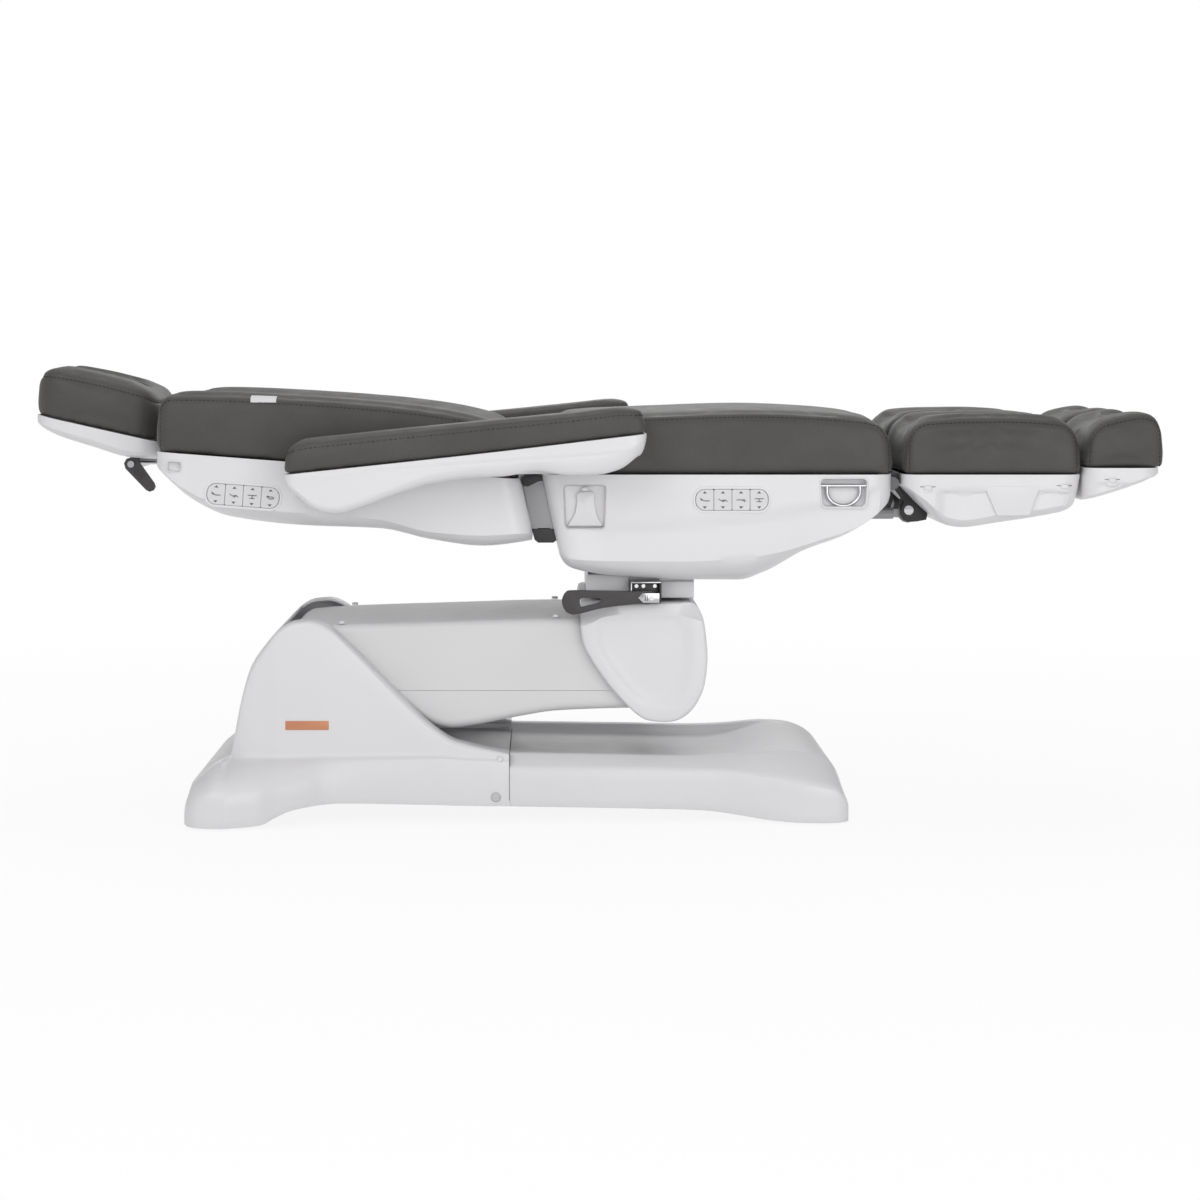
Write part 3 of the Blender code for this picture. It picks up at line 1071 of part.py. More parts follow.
def make_pivot_core():
    """Ears round the arm's front hub, with the round swivel hub on top of them."""
    top = HOUSING_TOP - WALL - FIT
    under = top - STEEL
    reach = EAR_REAR_Y + STEEL
    wide = SWIVEL_HUB_RADIUS * 0.88
    core = box(HEAD_PIVOT_X - wide, HEAD_PIVOT_X + wide, -HOUSING_HALF_WIDTH + WALL + FIT,
               HOUSING_HALF_WIDTH - WALL - FIT, under, top)
    as_part(core, "pivot_core", "painted_steel")
    for side in SIDES.values():
        inner = side * EAR_REAR_Y
        outer = side * reach
        ear = [(HEAD_PIVOT_X + HUB_RADIUS, under + STEEL / 2), (HEAD_PIVOT_X - HUB_RADIUS, under + STEEL / 2)]
        ear += arc(HEAD_PIVOT_X, HEAD_PIVOT_Z - LINK_DROP, HUB_RADIUS * 0.8, 180, 360, 8)
        join(core, plate(ear, min(inner, outer), max(inner, outer)))
    join(core, cross_rod(HEAD_PIVOT_X, HEAD_PIVOT_Z, -reach + STEEL / 2, reach - STEEL / 2, PIN_RADIUS))
    join(core, cross_rod(HEAD_PIVOT_X, HEAD_PIVOT_Z - LINK_DROP, reach - STEEL / 2, LINK_Y + STEEL, PIN_RADIUS * 0.7))
    join(core, rod((HEAD_PIVOT_X, 0.0, under + STEEL / 2), (HEAD_PIVOT_X, 0.0, POST_BOTTOM - FIT), SWIVEL_HUB_RADIUS, 32))
    return core


def make_swivel_post():
    """The turning post: its cover block, the ears of the seat's tilt pivot and the tilt actuator's pin."""
    post = box(POST_REAR_X, POST_FRONT_X, -POST_HALF_WIDTH, POST_HALF_WIDTH, POST_BOTTOM, POST_TOP)
    as_part(post, "swivel_post", "white_abs")
    for side in SIDES.values():
        inner = side * TILT_EAR_Y
        outer = side * (TILT_EAR_Y + STEEL)
        ear = capsule(TILT_PIVOT_X, POST_TOP - STEEL, TILT_PIVOT_X, TILT_PIVOT_Z, PIN_RADIUS * 1.6, PIN_RADIUS * 1.6)
        join(post, plate(ear, min(inner, outer), max(inner, outer)))
        near = TILT_Y + side * (STEEL + PLAY)
        far = near + side * STEEL
        lug = capsule(TILT_MOTOR_X, POST_TOP - STEEL, TILT_MOTOR_X, TILT_MOTOR_Z, PIN_RADIUS * 1.2, PIN_RADIUS * 1.2)
        join(post, plate(lug, min(near, far), max(near, far)))
        start, end = sorted((side * (TILT_EAR_Y + STEEL / 2), side * (TILT_EAR_Y + STEEL * 2.5)))
        join(post, cross_rod(TILT_PIVOT_X, TILT_PIVOT_Z, start, end, PIN_RADIUS * 0.75))
    wide = STEEL * 1.5
    join(post, cross_rod(TILT_MOTOR_X, TILT_MOTOR_Z, TILT_Y - wide, TILT_Y + wide, PIN_RADIUS * 0.6))
    return post


def make_swivel_lock():
    """The chrome clamp on the post's side and the black lever that works it."""
    face = -POST_HALF_WIDTH - FIT
    bracket = box(LOCK_BRACKET_REAR_X, LOCK_BRACKET_REAR_X + LOCK_BRACKET_LENGTH, face - LOCK_BRACKET_DEPTH, face,
                  POST_BOTTOM + WALL, LOCK_BRACKET_TOP)
    as_part(bracket, "swivel_lock_bracket", "chrome")
    outer = face - LOCK_BRACKET_DEPTH
    join(bracket, box(LOCK_BRACKET_REAR_X, LOCK_BRACKET_REAR_X + LOCK_BRACKET_LENGTH, outer, outer + WALL,
                      LOCK_BRACKET_BOTTOM, LOCK_BRACKET_TOP - WALL))
    lever_face = outer - EAR_GAP
    join(bracket, cross_rod(LOCK_PIVOT_X, LOCK_PIVOT_Z, lever_face - LOCK_LEVER_THICKNESS, outer + WALL / 2, LOCK_PIN_RADIUS, 12))
    hub = LOCK_PIVOT_X
    tall = LOCK_LEVER_HEIGHT
    tip = LOCK_PIVOT_X - LOCK_LEVER_LENGTH
    long = LOCK_LEVER_LENGTH
    shares = [(0.0, 0.26), (0.15, 0.25), (0.86, 0.27), (0.96, 0.22), (1.0, -0.10), (0.97, -0.52), (0.91, -LEVER_TIP_SHARE),
              (0.80, -0.69), (0.50, -0.42), (0.20, -0.28), (0.0, -0.26)]
    outline = [(hub - long * x, LOCK_PIVOT_Z + tall * z) for x, z in shares]
    outline += arc(hub, LOCK_PIVOT_Z, tall * 0.26, -60, 60, 4)
    lever = plate(outline, lever_face - LOCK_LEVER_THICKNESS, lever_face)
    as_part(lever, "swivel_lock_lever", "black_plastic")
    cut(lever, cross_rod(LOCK_PIVOT_X, LOCK_PIVOT_Z, lever_face - OVERRUN * 2, lever_face + OVERRUN, clear_of(LOCK_PIN_RADIUS), 12))
    slot = [(tip + long * 0.21, LOCK_PIVOT_Z - tall * 0.02), (tip + long * 0.215, LOCK_PIVOT_Z - tall * 0.36),
            (tip + long * 0.27, LOCK_PIVOT_Z - tall * 0.34), (tip + long * 0.42, LOCK_PIVOT_Z - tall * 0.15),
            (tip + long * 0.42, LOCK_PIVOT_Z - tall * 0.02)]
    cut(lever, plate(slot, lever_face - LOCK_LEVER_THICKNESS - OVERRUN, lever_face + OVERRUN))
    return lever


def make_seat_frame():
    """Rails under the seat cushion, tilt ears, back hinge plates, leg hinge ears, guides and pins."""
    top = PLATFORM_HEIGHT - FIT
    low = top - RAIL_HEIGHT
    rear = SEAT_REAR_X + WALL * 3
    front = LEG_PIVOT_X - LEG_HUB_RADIUS * 2.4
    frame = box(rear, front, -SEAT_RAIL_Y - SEAT_RAIL_BREADTH / 2, -SEAT_RAIL_Y + SEAT_RAIL_BREADTH / 2, low, top)
    as_part(frame, "seat_frame", "painted_steel")
    join(frame, box(rear, front, SEAT_RAIL_Y - SEAT_RAIL_BREADTH / 2, SEAT_RAIL_Y + SEAT_RAIL_BREADTH / 2, low, top))
    beam = BED_HALF_WIDTH - RING_POCKET_DEPTH - WALL * 2
    hinge_outer = BACK_EAR_Y + STEEL / 2
    join(frame, box(rear + STEP, rear + SEAT_RAIL_BREADTH, -hinge_outer, hinge_outer, low + STEP, top - STEP))
    join(frame, box(front - SEAT_RAIL_BREADTH, front - STEP, -beam, beam, low + STEP, top - STEP))
    for x in (TILT_PIVOT_X, TILT_PUSH_X, BACK_MOTOR_X - SEAT_RAIL_BREADTH / 2):
        join(frame, box(x, x + SEAT_RAIL_BREADTH, -SEAT_RAIL_Y, SEAT_RAIL_Y, low + STEP, top - STEP))
    for side in SIDES.values():
        inner = side * (TILT_EAR_Y + STEEL + EAR_GAP)
        outer = inner + side * STEEL
        ear = capsule(TILT_PIVOT_X, TILT_PIVOT_Z, TILT_PIVOT_X, low + RAIL_HEIGHT / 2 - PIN_RADIUS, PIN_RADIUS * 1.6, PIN_RADIUS)
        plate_part = plate(ear, min(inner, outer), max(inner, outer))
        join(frame, plate_part)
        inner = side * BACK_EAR_Y
        outer = side * (BACK_EAR_Y + STEEL)
        join(frame, plate(hinge_plate_outline(), min(inner, outer), max(inner, outer)))
        outer_pin = side * (BACK_EAR_Y + STEEL * 2 + EAR_GAP * 2)
        start = side * (BACK_EAR_Y + STEEL / 2)
        join(frame, cross_rod(BACK_PIVOT_X, BACK_PIVOT_Z, min(start, outer_pin), max(start, outer_pin), LEG_PIN_RADIUS))
        for y in (LEG_INNER_Y + STEEL, BED_HALF_WIDTH - WALL - STEEL * 4):
            inner = side * y
            outer = side * (y + STEEL)
            ear = capsule(LEG_PIVOT_X, LEG_PIVOT_Z, front - STEEL, low + RAIL_HEIGHT / 2, LEG_HUB_RADIUS * 0.95, RAIL_HEIGHT * 0.48)
            join(frame, plate(ear, min(inner, outer), max(inner, outer)))
        start = side * (LEG_INNER_Y + STEEL * 1.5)
        end = side * (BED_HALF_WIDTH - WALL - STEEL * 3.5)
        join(frame, cross_rod(LEG_PIVOT_X, LEG_PIVOT_Z, min(start, end), max(start, end), LEG_PIN_RADIUS))
    for x, z, y in ((TILT_PUSH_X, TILT_PUSH_Z, TILT_Y), (BACK_MOTOR_X, BACK_MOTOR_Z, BACK_Y)):
        for way in SIDES.values():
            near = y + way * (STEEL + PLAY)
            far = near + way * STEEL
            join(frame, plate(lug(x, z, low + RAIL_HEIGHT / 2, PIN_RADIUS * 1.1), min(near, far), max(near, far)))
        wide = STEEL * 1.5
        join(frame, cross_rod(x, z, y - wide, y + wide, PIN_RADIUS * 0.6))
    for side in SIDES.values():
        wide = PUSH_ROD_RADIUS * 1.9
        guide = box(front - SEAT_RAIL_BREADTH * 2.1, front - SEAT_RAIL_BREADTH * 1.2, side * LEG_Y - wide, side * LEG_Y + wide,
                    PUSH_ROD_Z + PUSH_ROD_RADIUS * 0.2, low + RAIL_HEIGHT / 2)
        join(frame, guide)
        wide = PUSH_ROD_RADIUS * 1.2
        join(frame, box(front - SEAT_RAIL_BREADTH * 1.8, front - SEAT_RAIL_BREADTH * 0.5, side * LEG_Y - wide,
                        side * LEG_Y + wide, low + STEP * 2, top - STEP * 2))
        cut(frame, rod((PUSH_ROD_REAR_X, side * LEG_Y, PUSH_ROD_Z), (front, side * LEG_Y, PUSH_ROD_Z), PUSH_ROD_RADIUS + FIT))
        inner = side * (TILT_EAR_Y + STEEL * 0.8)
        outer = side * (TILT_EAR_Y + STEEL * 3)
        cut(frame, cross_rod(TILT_PIVOT_X, TILT_PIVOT_Z, min(inner, outer), max(inner, outer), clear_of(PIN_RADIUS * 0.75)))
    return frame


def hinge_plate_outline():
    """The grey plate in the gap between back and seat, from the lower corner up to the back pivot."""
    mid_top = (SEAT_REAR_X + BACK_REAR_X + BACK_LENGTH) / 2
    half = LEG_HUB_RADIUS
    foot_z = PLATFORM_HEIGHT - SEAT_SHELL_DEPTH * 0.58
    foot_x = mid_top + SEAT_LENGTH * 0.042
    rail_top = PLATFORM_HEIGHT - FIT
    rail_low = rail_top - RAIL_HEIGHT
    outline = [(foot_x - half, foot_z), (foot_x + half, foot_z), (mid_top + half, rail_low)]
    outline += [(SEAT_REAR_X + WALL * 5, rail_low + STEP * 2), (SEAT_REAR_X + WALL * 5, rail_top - STEP * 2)]
    outline += [(mid_top + half, rail_top - STEP * 2)]
    return outline + arc(BACK_PIVOT_X, BACK_PIVOT_Z, half, 0, 180, 6)


def make_seat_shell():
    shell = tub("seat_shell", "white_abs", SEAT_REAR_X, SEAT_LENGTH, PLATFORM_HEIGHT - FIT, PLATFORM_HEIGHT - FIT,
                SEAT_SHELL_DEPTH, 0.0, BED_HALF_WIDTH, SEAT_SHELL_SHARES, close_end=False, floor=SEAT_FLOOR_HALF_WIDTH)
    high = PLATFORM_HEIGHT + OVERRUN
    opening = POST_HALF_WIDTH + OVERRUN
    cut(shell, box(POST_REAR_X - OVERRUN * 1.8, POST_FRONT_X + OVERRUN * 1.8, -opening, opening,
                   PLATFORM_HEIGHT - SEAT_SHELL_DEPTH - OVERRUN, PLATFORM_HEIGHT - SEAT_SHELL_DEPTH * 0.80))
    half = KEY_WIDTH * 2 + KEY_GAP * 1.5 + PLAY
    tall = KEY_HEIGHT / 2 + PLAY
    pocket(shell, SEAT_KEYS_X - half, SEAT_KEYS_X + half, SEAT_KEYS_Z - tall, SEAT_KEYS_Z + tall, KEY_POCKET_DEPTH, -BED_HALF_WIDTH)
    for side in SIDES.values():
        face = side * BED_HALF_WIDTH
        pocket(shell, RING_X - RING_POCKET_WIDTH / 2, RING_X + RING_POCKET_WIDTH / 2, RING_Z + RING_WIRE * 3 - RING_POCKET_HEIGHT,
               RING_Z + RING_WIRE * 3, RING_POCKET_DEPTH, face)
        pocket(shell, RECESS_X - RECESS_WIDTH / 2, RECESS_X + RECESS_WIDTH / 2, RECESS_Z - RECESS_HEIGHT / 2,
               RECESS_Z + RECESS_HEIGHT / 2, RECESS_DEPTH, face)
        wide = CLEVIS_RADIUS + STEEL
        cut(shell, box(SEAT_REAR_X + SEAT_LENGTH * 0.83, LEG_SHELL_START_X, side * LEG_Y - wide, side * LEG_Y + wide,
                       PLATFORM_HEIGHT - SEAT_SHELL_DEPTH, high))
        notch = sorted((side * (BACK_EAR_Y - STEEL), side * (BACK_EAR_Y + STEEL * 3)))
        cut(shell, box(SEAT_REAR_X - OVERRUN, SEAT_REAR_X + SEAT_LENGTH * 0.07, notch[0], notch[1],
                       PLATFORM_HEIGHT - RAIL_HEIGHT * 3, high))
    cut(shell, box(SEAT_REAR_X - OVERRUN, SEAT_REAR_X + SEAT_LENGTH * 0.085, BACK_Y - STEEL * 3, BACK_Y + STEEL * 3,
                   BACK_MOTOR_Z - OVERRUN, high))
    return shell


def make_seat_cushion():
    return cushion("seat_cushion", SEAT_PAD_REAR_X, SEAT_PAD_LENGTH, PLATFORM_HEIGHT, PLATFORM_HEIGHT, SEAT_PAD_HEIGHT,
                   0.0, BED_HALF_WIDTH, SEAT_PAD_SHARES, FLAT_SECTION_SHARES)


def make_keys(prefix, x, z, turn, names):
    """A row of four rocker keys in the near side's panel."""
    pitch = KEY_WIDTH + KEY_GAP
    for n, name in enumerate(names):
        middle = x + pitch * (n - 1.5)
        face = -BED_HALF_WIDTH - KEY_PROUD
        key = box(middle - KEY_WIDTH / 2, middle + KEY_WIDTH / 2, face, face + KEY_DEPTH, z - KEY_HEIGHT / 2, z + KEY_HEIGHT / 2,
                  turn, (x, z))
        as_part(key, prefix + "_key_" + name, "white_abs")


def make_rings():
    """A chrome D-ring in each side recess: a straight bar in its ears and a round bow below it."""
    for name, side in SIDES.items():
        curve = bpy.data.curves.new("ring", "CURVE")
        curve.dimensions = "3D"
        curve.bevel_depth = RING_WIRE
        curve.bevel_resolution = 1
        line = curve.splines.new("POLY")
        y = side * (BED_HALF_WIDTH - RING_POCKET_DEPTH / 2)
        bow = arc(RING_X, RING_Z - RING_DROP * 0.30, RING_HALF_WIDTH, 180, 360, 8)
        points = [(RING_X - RING_HALF_WIDTH, RING_Z)] + bow + [(RING_X + RING_HALF_WIDTH, RING_Z), (RING_X, RING_Z)]
        squash = (RING_DROP * 0.70) / RING_HALF_WIDTH
        line.points.add(len(points) - 1)
        for point, (px, pz) in zip(line.points, points):
            low = RING_Z - RING_DROP * 0.30
            height = pz if pz >= low else low + (pz - low) * squash
            point.co = (px, y, height, 1.0)
        line.use_cyclic_u = True
        wire = bpy.data.objects.new("ring", curve)
        bpy.context.scene.collection.objects.link(wire)
        ring = as_part(mesh_of_curve(wire), "ring_" + name, "chrome")
        reach = RING_POCKET_WIDTH / 2 - FIT
        join(ring, rod((RING_X - reach, y, RING_Z), (RING_X + reach, y, RING_Z), RING_WIRE, 8))


def make_leg_drive():
    """The leg motor with its screw, and the two push rods whose yokes ride on it."""
    middle = PUSH_ROD_Z
    motor = rod((LEG_MOTOR_REAR_X, 0.0, middle), (LEG_MOTOR_REAR_X + LEG_MOTOR_LENGTH, 0.0, middle), LEG_MOTOR_RADIUS)
    as_part(motor, "leg_motor", "motor_grey")
    join(motor, rod((LEG_SCREW_REAR_X, 0.0, middle), (LEG_MOTOR_REAR_X + OVERRUN, 0.0, middle), LEG_SCREW_RADIUS, 12))
    rail_low = PLATFORM_HEIGHT - FIT - RAIL_HEIGHT
    front = LEG_PIVOT_X - LEG_HUB_RADIUS * 2.4
    web = LEG_MOTOR_REAR_X + LEG_MOTOR_LENGTH * 0.7
    half = LEG_MOTOR_RADIUS * 0.5
    join(motor, box(web, web + STEEL * 2, -half, half, middle, rail_low - FIT))
    join(motor, box(web + STEEL, front - OVERRUN, -half * 1.3, half * 1.3, rail_low - STEEL, rail_low - FIT * 2))
    for name, side in SIDES.items():
        y = side * LEG_Y
        push = cross_rod(CLEVIS_X, middle, y - PUSH_EYE_BREADTH / 2, y + PUSH_EYE_BREADTH / 2, PUSH_EYE_RADIUS)
        as_part(push, "leg_push_rod_" + name, "grey_tube")
        join(push, rod((PUSH_ROD_REAR_X, y, middle), (CLEVIS_X - PUSH_EYE_RADIUS - STEEL, y, middle), PUSH_ROD_RADIUS))
        join(push, box(CLEVIS_X - PUSH_EYE_RADIUS - STEEL * 2, CLEVIS_X - PUSH_EYE_RADIUS * 0.85, y - PUSH_EYE_BREADTH / 2 + FIT,
                       y + PUSH_EYE_BREADTH / 2 - FIT, middle - PUSH_ROD_RADIUS * 0.7, middle + PUSH_ROD_RADIUS * 0.7))
        near = side * (LEG_SCREW_RADIUS + FIT)
        join(push, box(PUSH_ROD_REAR_X - STEEL, PUSH_ROD_REAR_X + STEEL, min(near, y), max(near, y),
                       middle - PUSH_ROD_RADIUS * 0.6, middle + PUSH_ROD_RADIUS * 0.6))
        cut(push, cross_rod(CLEVIS_X, middle, y - PUSH_EYE_BREADTH, y + PUSH_EYE_BREADTH, PUSH_EYE_BORE))


def slope_box(x0, x1, y0, y1, under, thick):
    """A bar along the backrest's sloping rim, its top under by the given distance."""
    z = back_rim(x0) - under
    return box(x0, x0 + (x1 - x0) / math.cos(BACK_SLOPE), y0, y1, z - thick, z, BACK_SLOPE, (x0, z))


def back_rim(x):
    return BACK_REAR_RIM_Z - (x - BACK_REAR_X) * math.tan(BACK_SLOPE)


def make_back_frame():
    """Rails under the back cushion, hinge ears, the armrests' cross pin, rod guides and actuator pin."""
    under = FIT
    rear = BACK_REAR_X + WALL * 3
    front = BACK_REAR_X + BACK_LENGTH - WALL * 6
    half = SEAT_RAIL_BREADTH / 2
    frame = slope_box(rear, front, -BACK_RAIL_Y - half, -BACK_RAIL_Y + half, under, RAIL_HEIGHT)
    as_part(frame, "back_frame", "painted_steel")
    join(frame, slope_box(rear, front, BACK_RAIL_Y - half, BACK_RAIL_Y + half, under, RAIL_HEIGHT))
    ear_inner = BACK_EAR_Y + STEEL + EAR_GAP
    join(frame, slope_box(front - SEAT_RAIL_BREADTH, front - FIT, -ear_inner - STEEL, ear_inner + STEEL, under + FIT, RAIL_HEIGHT - FIT * 2))
    join(frame, slope_box(rear + FIT, rear + SEAT_RAIL_BREADTH * 3, -BACK_RAIL_Y, BACK_RAIL_Y, under + FIT, RAIL_HEIGHT - FIT * 2))
    bar_z = ARMREST_PIVOT_Z
    reach = ARMREST_INNER_Y + WALL * 2.5
    join(frame, cross_rod(ARMREST_PIVOT_X, bar_z, -reach, reach, ARMREST_PIN_RADIUS))
    for side in SIDES.values():
        post = capsule(ARMREST_PIVOT_X, bar_z, ARMREST_PIVOT_X, back_rim(ARMREST_PIVOT_X) - RAIL_HEIGHT, ARMREST_PIN_RADIUS, ARMREST_PIN_RADIUS)
        inner, outer = sorted((side * BACK_RAIL_Y, side * (BACK_RAIL_Y + STEEL)))
        join(frame, plate(post, inner, outer))
        inner, outer = sorted((side * ear_inner, side * (ear_inner + STEEL)))
        low_x = front - SEAT_RAIL_BREADTH * 0.7
        half = LEG_HUB_RADIUS
        top_z = back_rim(BACK_PIVOT_X - half) - FIT * 2
        ear = [(low_x, top_z - RAIL_HEIGHT * 0.8), (BACK_PIVOT_X + half * 0.4, top_z - RAIL_HEIGHT * 0.8)]
        ear += arc(BACK_PIVOT_X, BACK_PIVOT_Z, half, 0, 180, 6) + [(BACK_PIVOT_X - half, top_z), (low_x, top_z)]
        join(frame, plate(ear, inner, outer))
        cut(frame, cross_rod(BACK_PIVOT_X, BACK_PIVOT_Z, inner - STEEL / 4, outer + STEEL / 4, clear_of(LEG_PIN_RADIUS)))
        guide_top = back_rim(rear + SEAT_RAIL_BREADTH) - RAIL_HEIGHT
        y = side * ROD_Y
        join(frame, box(rear, rear + SEAT_RAIL_BREADTH * 2.4, y - ROD_RADIUS * 2, y + ROD_RADIUS * 2, ROD_Z - ROD_RADIUS * 2, guide_top))
        cut(frame, rod((rear - OVERRUN, y, ROD_Z), (rear + ROD_LENGTH, y, ROD_Z), ROD_RADIUS + FIT))
        way_near = BACK_Y + side * (STEEL + PLAY)
        way_far = way_near + side * STEEL
        lug = capsule(BACK_PUSH_X, BACK_PUSH_Z, BACK_PUSH_X, back_rim(BACK_PUSH_X) - RAIL_HEIGHT, PIN_RADIUS * 1.1, PIN_RADIUS)
        join(frame, plate(lug, min(way_near, way_far), max(way_near, way_far)))
    join(frame, slope_box(BACK_PUSH_X - SEAT_RAIL_BREADTH / 2, BACK_PUSH_X + SEAT_RAIL_BREADTH / 2, -BACK_RAIL_Y, BACK_RAIL_Y,
                          under + FIT * 2, RAIL_HEIGHT - FIT * 3))
    wide = STEEL * 1.5
    join(frame, cross_rod(BACK_PUSH_X, BACK_PUSH_Z, BACK_Y - wide, BACK_Y + wide, PIN_RADIUS * 0.6))
    return frame


def make_back_shell():
    shell = tub("back_shell", "white_abs", BACK_REAR_X, BACK_LENGTH, BACK_REAR_RIM_Z - FIT, BACK_FRONT_RIM_Z - FIT,
                BACK_SHELL_DEPTH, 0.0, BED_HALF_WIDTH, BACK_SHELL_SHARES, side_share=0.36)
    turn = BACK_SLOPE
    about = (BACK_KEYS_X, BACK_KEYS_Z)
    half = KEY_WIDTH * 2 + KEY_GAP * 1.5 + PLAY
    tall = KEY_HEIGHT / 2 + PLAY
    pocket(shell, BACK_KEYS_X - half, BACK_KEYS_X + half, BACK_KEYS_Z - tall, BACK_KEYS_Z + tall, KEY_POCKET_DEPTH,
           -BED_HALF_WIDTH, turn, about)
    top = BACK_REAR_RIM_Z + OVERRUN
    for side in SIDES.values():
        start, end = sorted((side * (BED_HALF_WIDTH - OVERRUN * 2), side * (BED_HALF_WIDTH + OVERRUN)))
        cut(shell, box(BELT_SLOT_X - BELT_SLOT_WIDTH / 2, BELT_SLOT_X + BELT_SLOT_WIDTH / 2, start, end,
                       BELT_SLOT_Z - BELT_SLOT_HEIGHT / 2, BELT_SLOT_Z + BELT_SLOT_HEIGHT / 2))
        cut(shell, cross_rod(ARMREST_PIVOT_X, ARMREST_PIVOT_Z, start, end, clear_of(ARMREST_PIN_RADIUS)))
        y = side * ROD_Y
        cut(shell, rod((BACK_REAR_X - OVERRUN, y, ROD_Z), (BACK_REAR_X + OVERRUN * 2, y, ROD_Z), ROD_RADIUS + PLAY))
        notch = sorted((side * (BACK_EAR_Y - STEEL), side * (BACK_EAR_Y + STEEL * 3)))
        end_x = BACK_REAR_X + BACK_LENGTH
        cut(shell, box(end_x - WALL * 5, end_x + OVERRUN * 3, notch[0], notch[1], BACK_FRONT_RIM_Z - RAIL_HEIGHT * 2, top))
    end_x = BACK_REAR_X + BACK_LENGTH
    cut(shell, box(end_x - BACK_LENGTH * 0.055, end_x + OVERRUN * 4, BACK_Y - STEEL * 3, BACK_Y + STEEL * 3,
                   BACK_FRONT_RIM_Z - BACK_SHELL_DEPTH * 1.1, top))
    return shell


def make_back_cushion():
    return cushion("back_cushion", BACK_REAR_X, BACK_LENGTH - WALL, BACK_REAR_RIM_Z, BACK_FRONT_RIM_Z, BACK_PAD_HEIGHT,
                   0.0, BED_HALF_WIDTH, BACK_PAD_SHARES, BOLSTER_SECTION_SHARES)


def make_headrest_rods():
    """Two chrome rods, and the clamp bracket that carries the headrest's tilt pin."""
    start = HEAD_TILT_X
    carrier = box(start - STEEL, start + STEEL, -ROD_Y - ROD_RADIUS * 2, ROD_Y + ROD_RADIUS * 2, HEAD_TILT_Z - STEEL, HEAD_TILT_Z + STEEL)
    as_part(carrier, "headrest_rods", "chrome")
    for side in SIDES.values():
        y = side * ROD_Y
        join(carrier, rod((start, y, ROD_Z), (start + ROD_LENGTH, y, ROD_Z), ROD_RADIUS, 12))
    reach = ROD_Y + ROD_RADIUS * 2 + STEEL * 3
    join(carrier, cross_rod(HEAD_TILT_X, HEAD_TILT_Z, -reach - HEAD_LEVER_BREADTH, reach, LEG_PIN_RADIUS, 12))
    return carrier


def head_rim(x):
    share = (x - HEADREST_OUTER_X) / HEADREST_LENGTH
    return HEADREST_OUTER_RIM_Z + (HEADREST_INNER_RIM_Z - HEADREST_OUTER_RIM_Z) * share


def face_hole(name):
    """The oval opening through cushion and shell."""
    bm = bmesh.new()
    bmesh.ops.create_cone(bm, cap_ends=True, segments=24, radius1=0.5, radius2=0.5, depth=1.0)
    grow = 1.0 if name == "cushion" else 1.12
    size = Matrix.Diagonal((FACE_HOLE_LENGTH * grow, FACE_HOLE_WIDTH * grow, HEADREST_PAD_HEIGHT * 4, 1.0))
    bm.transform(Matrix.Translation((FACE_HOLE_X, 0.0, head_rim(FACE_HOLE_X))) @ size)
    return object_from(bm, "face_hole")


def make_headrest():
    shell = tub("headrest_shell", "white_abs", HEADREST_OUTER_X, HEADREST_LENGTH, HEADREST_OUTER_RIM_Z - FIT,
                HEADREST_INNER_RIM_Z - FIT, HEADREST_SHELL_DEPTH, 0.0, HEADREST_HALF_WIDTH, HEADREST_SHELL_SHARES)
    lug_y = ROD_Y + ROD_RADIUS * 2 + EAR_GAP
    for side in SIDES.values():
        inner, outer = sorted((side * lug_y, side * (lug_y + STEEL)))
        low_x = HEAD_TILT_X
        lug = capsule(low_x, HEAD_TILT_Z, low_x, head_rim(low_x) - HEADREST_SHELL_DEPTH * 0.85, LEG_HUB_RADIUS, LEG_HUB_RADIUS * 0.6)
        join(shell, plate(lug, inner, outer))
        cut(shell, cross_rod(HEAD_TILT_X, HEAD_TILT_Z, inner - STEEL / 2, outer + STEEL / 2, clear_of(LEG_PIN_RADIUS), 12))
    cut(shell, face_hole("shell"))
    cushion("headrest_cushion", HEADREST_OUTER_X, HEADREST_LENGTH, HEADREST_OUTER_RIM_Z, HEADREST_INNER_RIM_Z,
            HEADREST_PAD_HEIGHT, 0.0, HEADREST_HALF_WIDTH, HEADREST_PAD_SHARES, FLAT_SECTION_SHARES, face_hole("cushion"))
    lever_y = -(ROD_Y + ROD_RADIUS * 2 + STEEL * 3)
    tip_x = HEAD_TILT_X + HEAD_LEVER_LENGTH * 0.64
    tip_z = HEAD_TILT_Z - HEAD_LEVER_LENGTH * 0.77
    outline = capsule(HEAD_TILT_X, HEAD_TILT_Z, tip_x, tip_z, HEAD_LEVER_BREADTH * 0.68, HEAD_LEVER_BREADTH * 0.48)
    lever = plate(outline, lever_y - HEAD_LEVER_BREADTH * 0.75, lever_y)
    as_part(lever, "headrest_lock_lever", "black_plastic")
    cut(lever, cross_rod(HEAD_TILT_X, HEAD_TILT_Z, lever_y - HEAD_LEVER_BREADTH * 2, lever_y + OVERRUN, clear_of(LEG_PIN_RADIUS), 12))


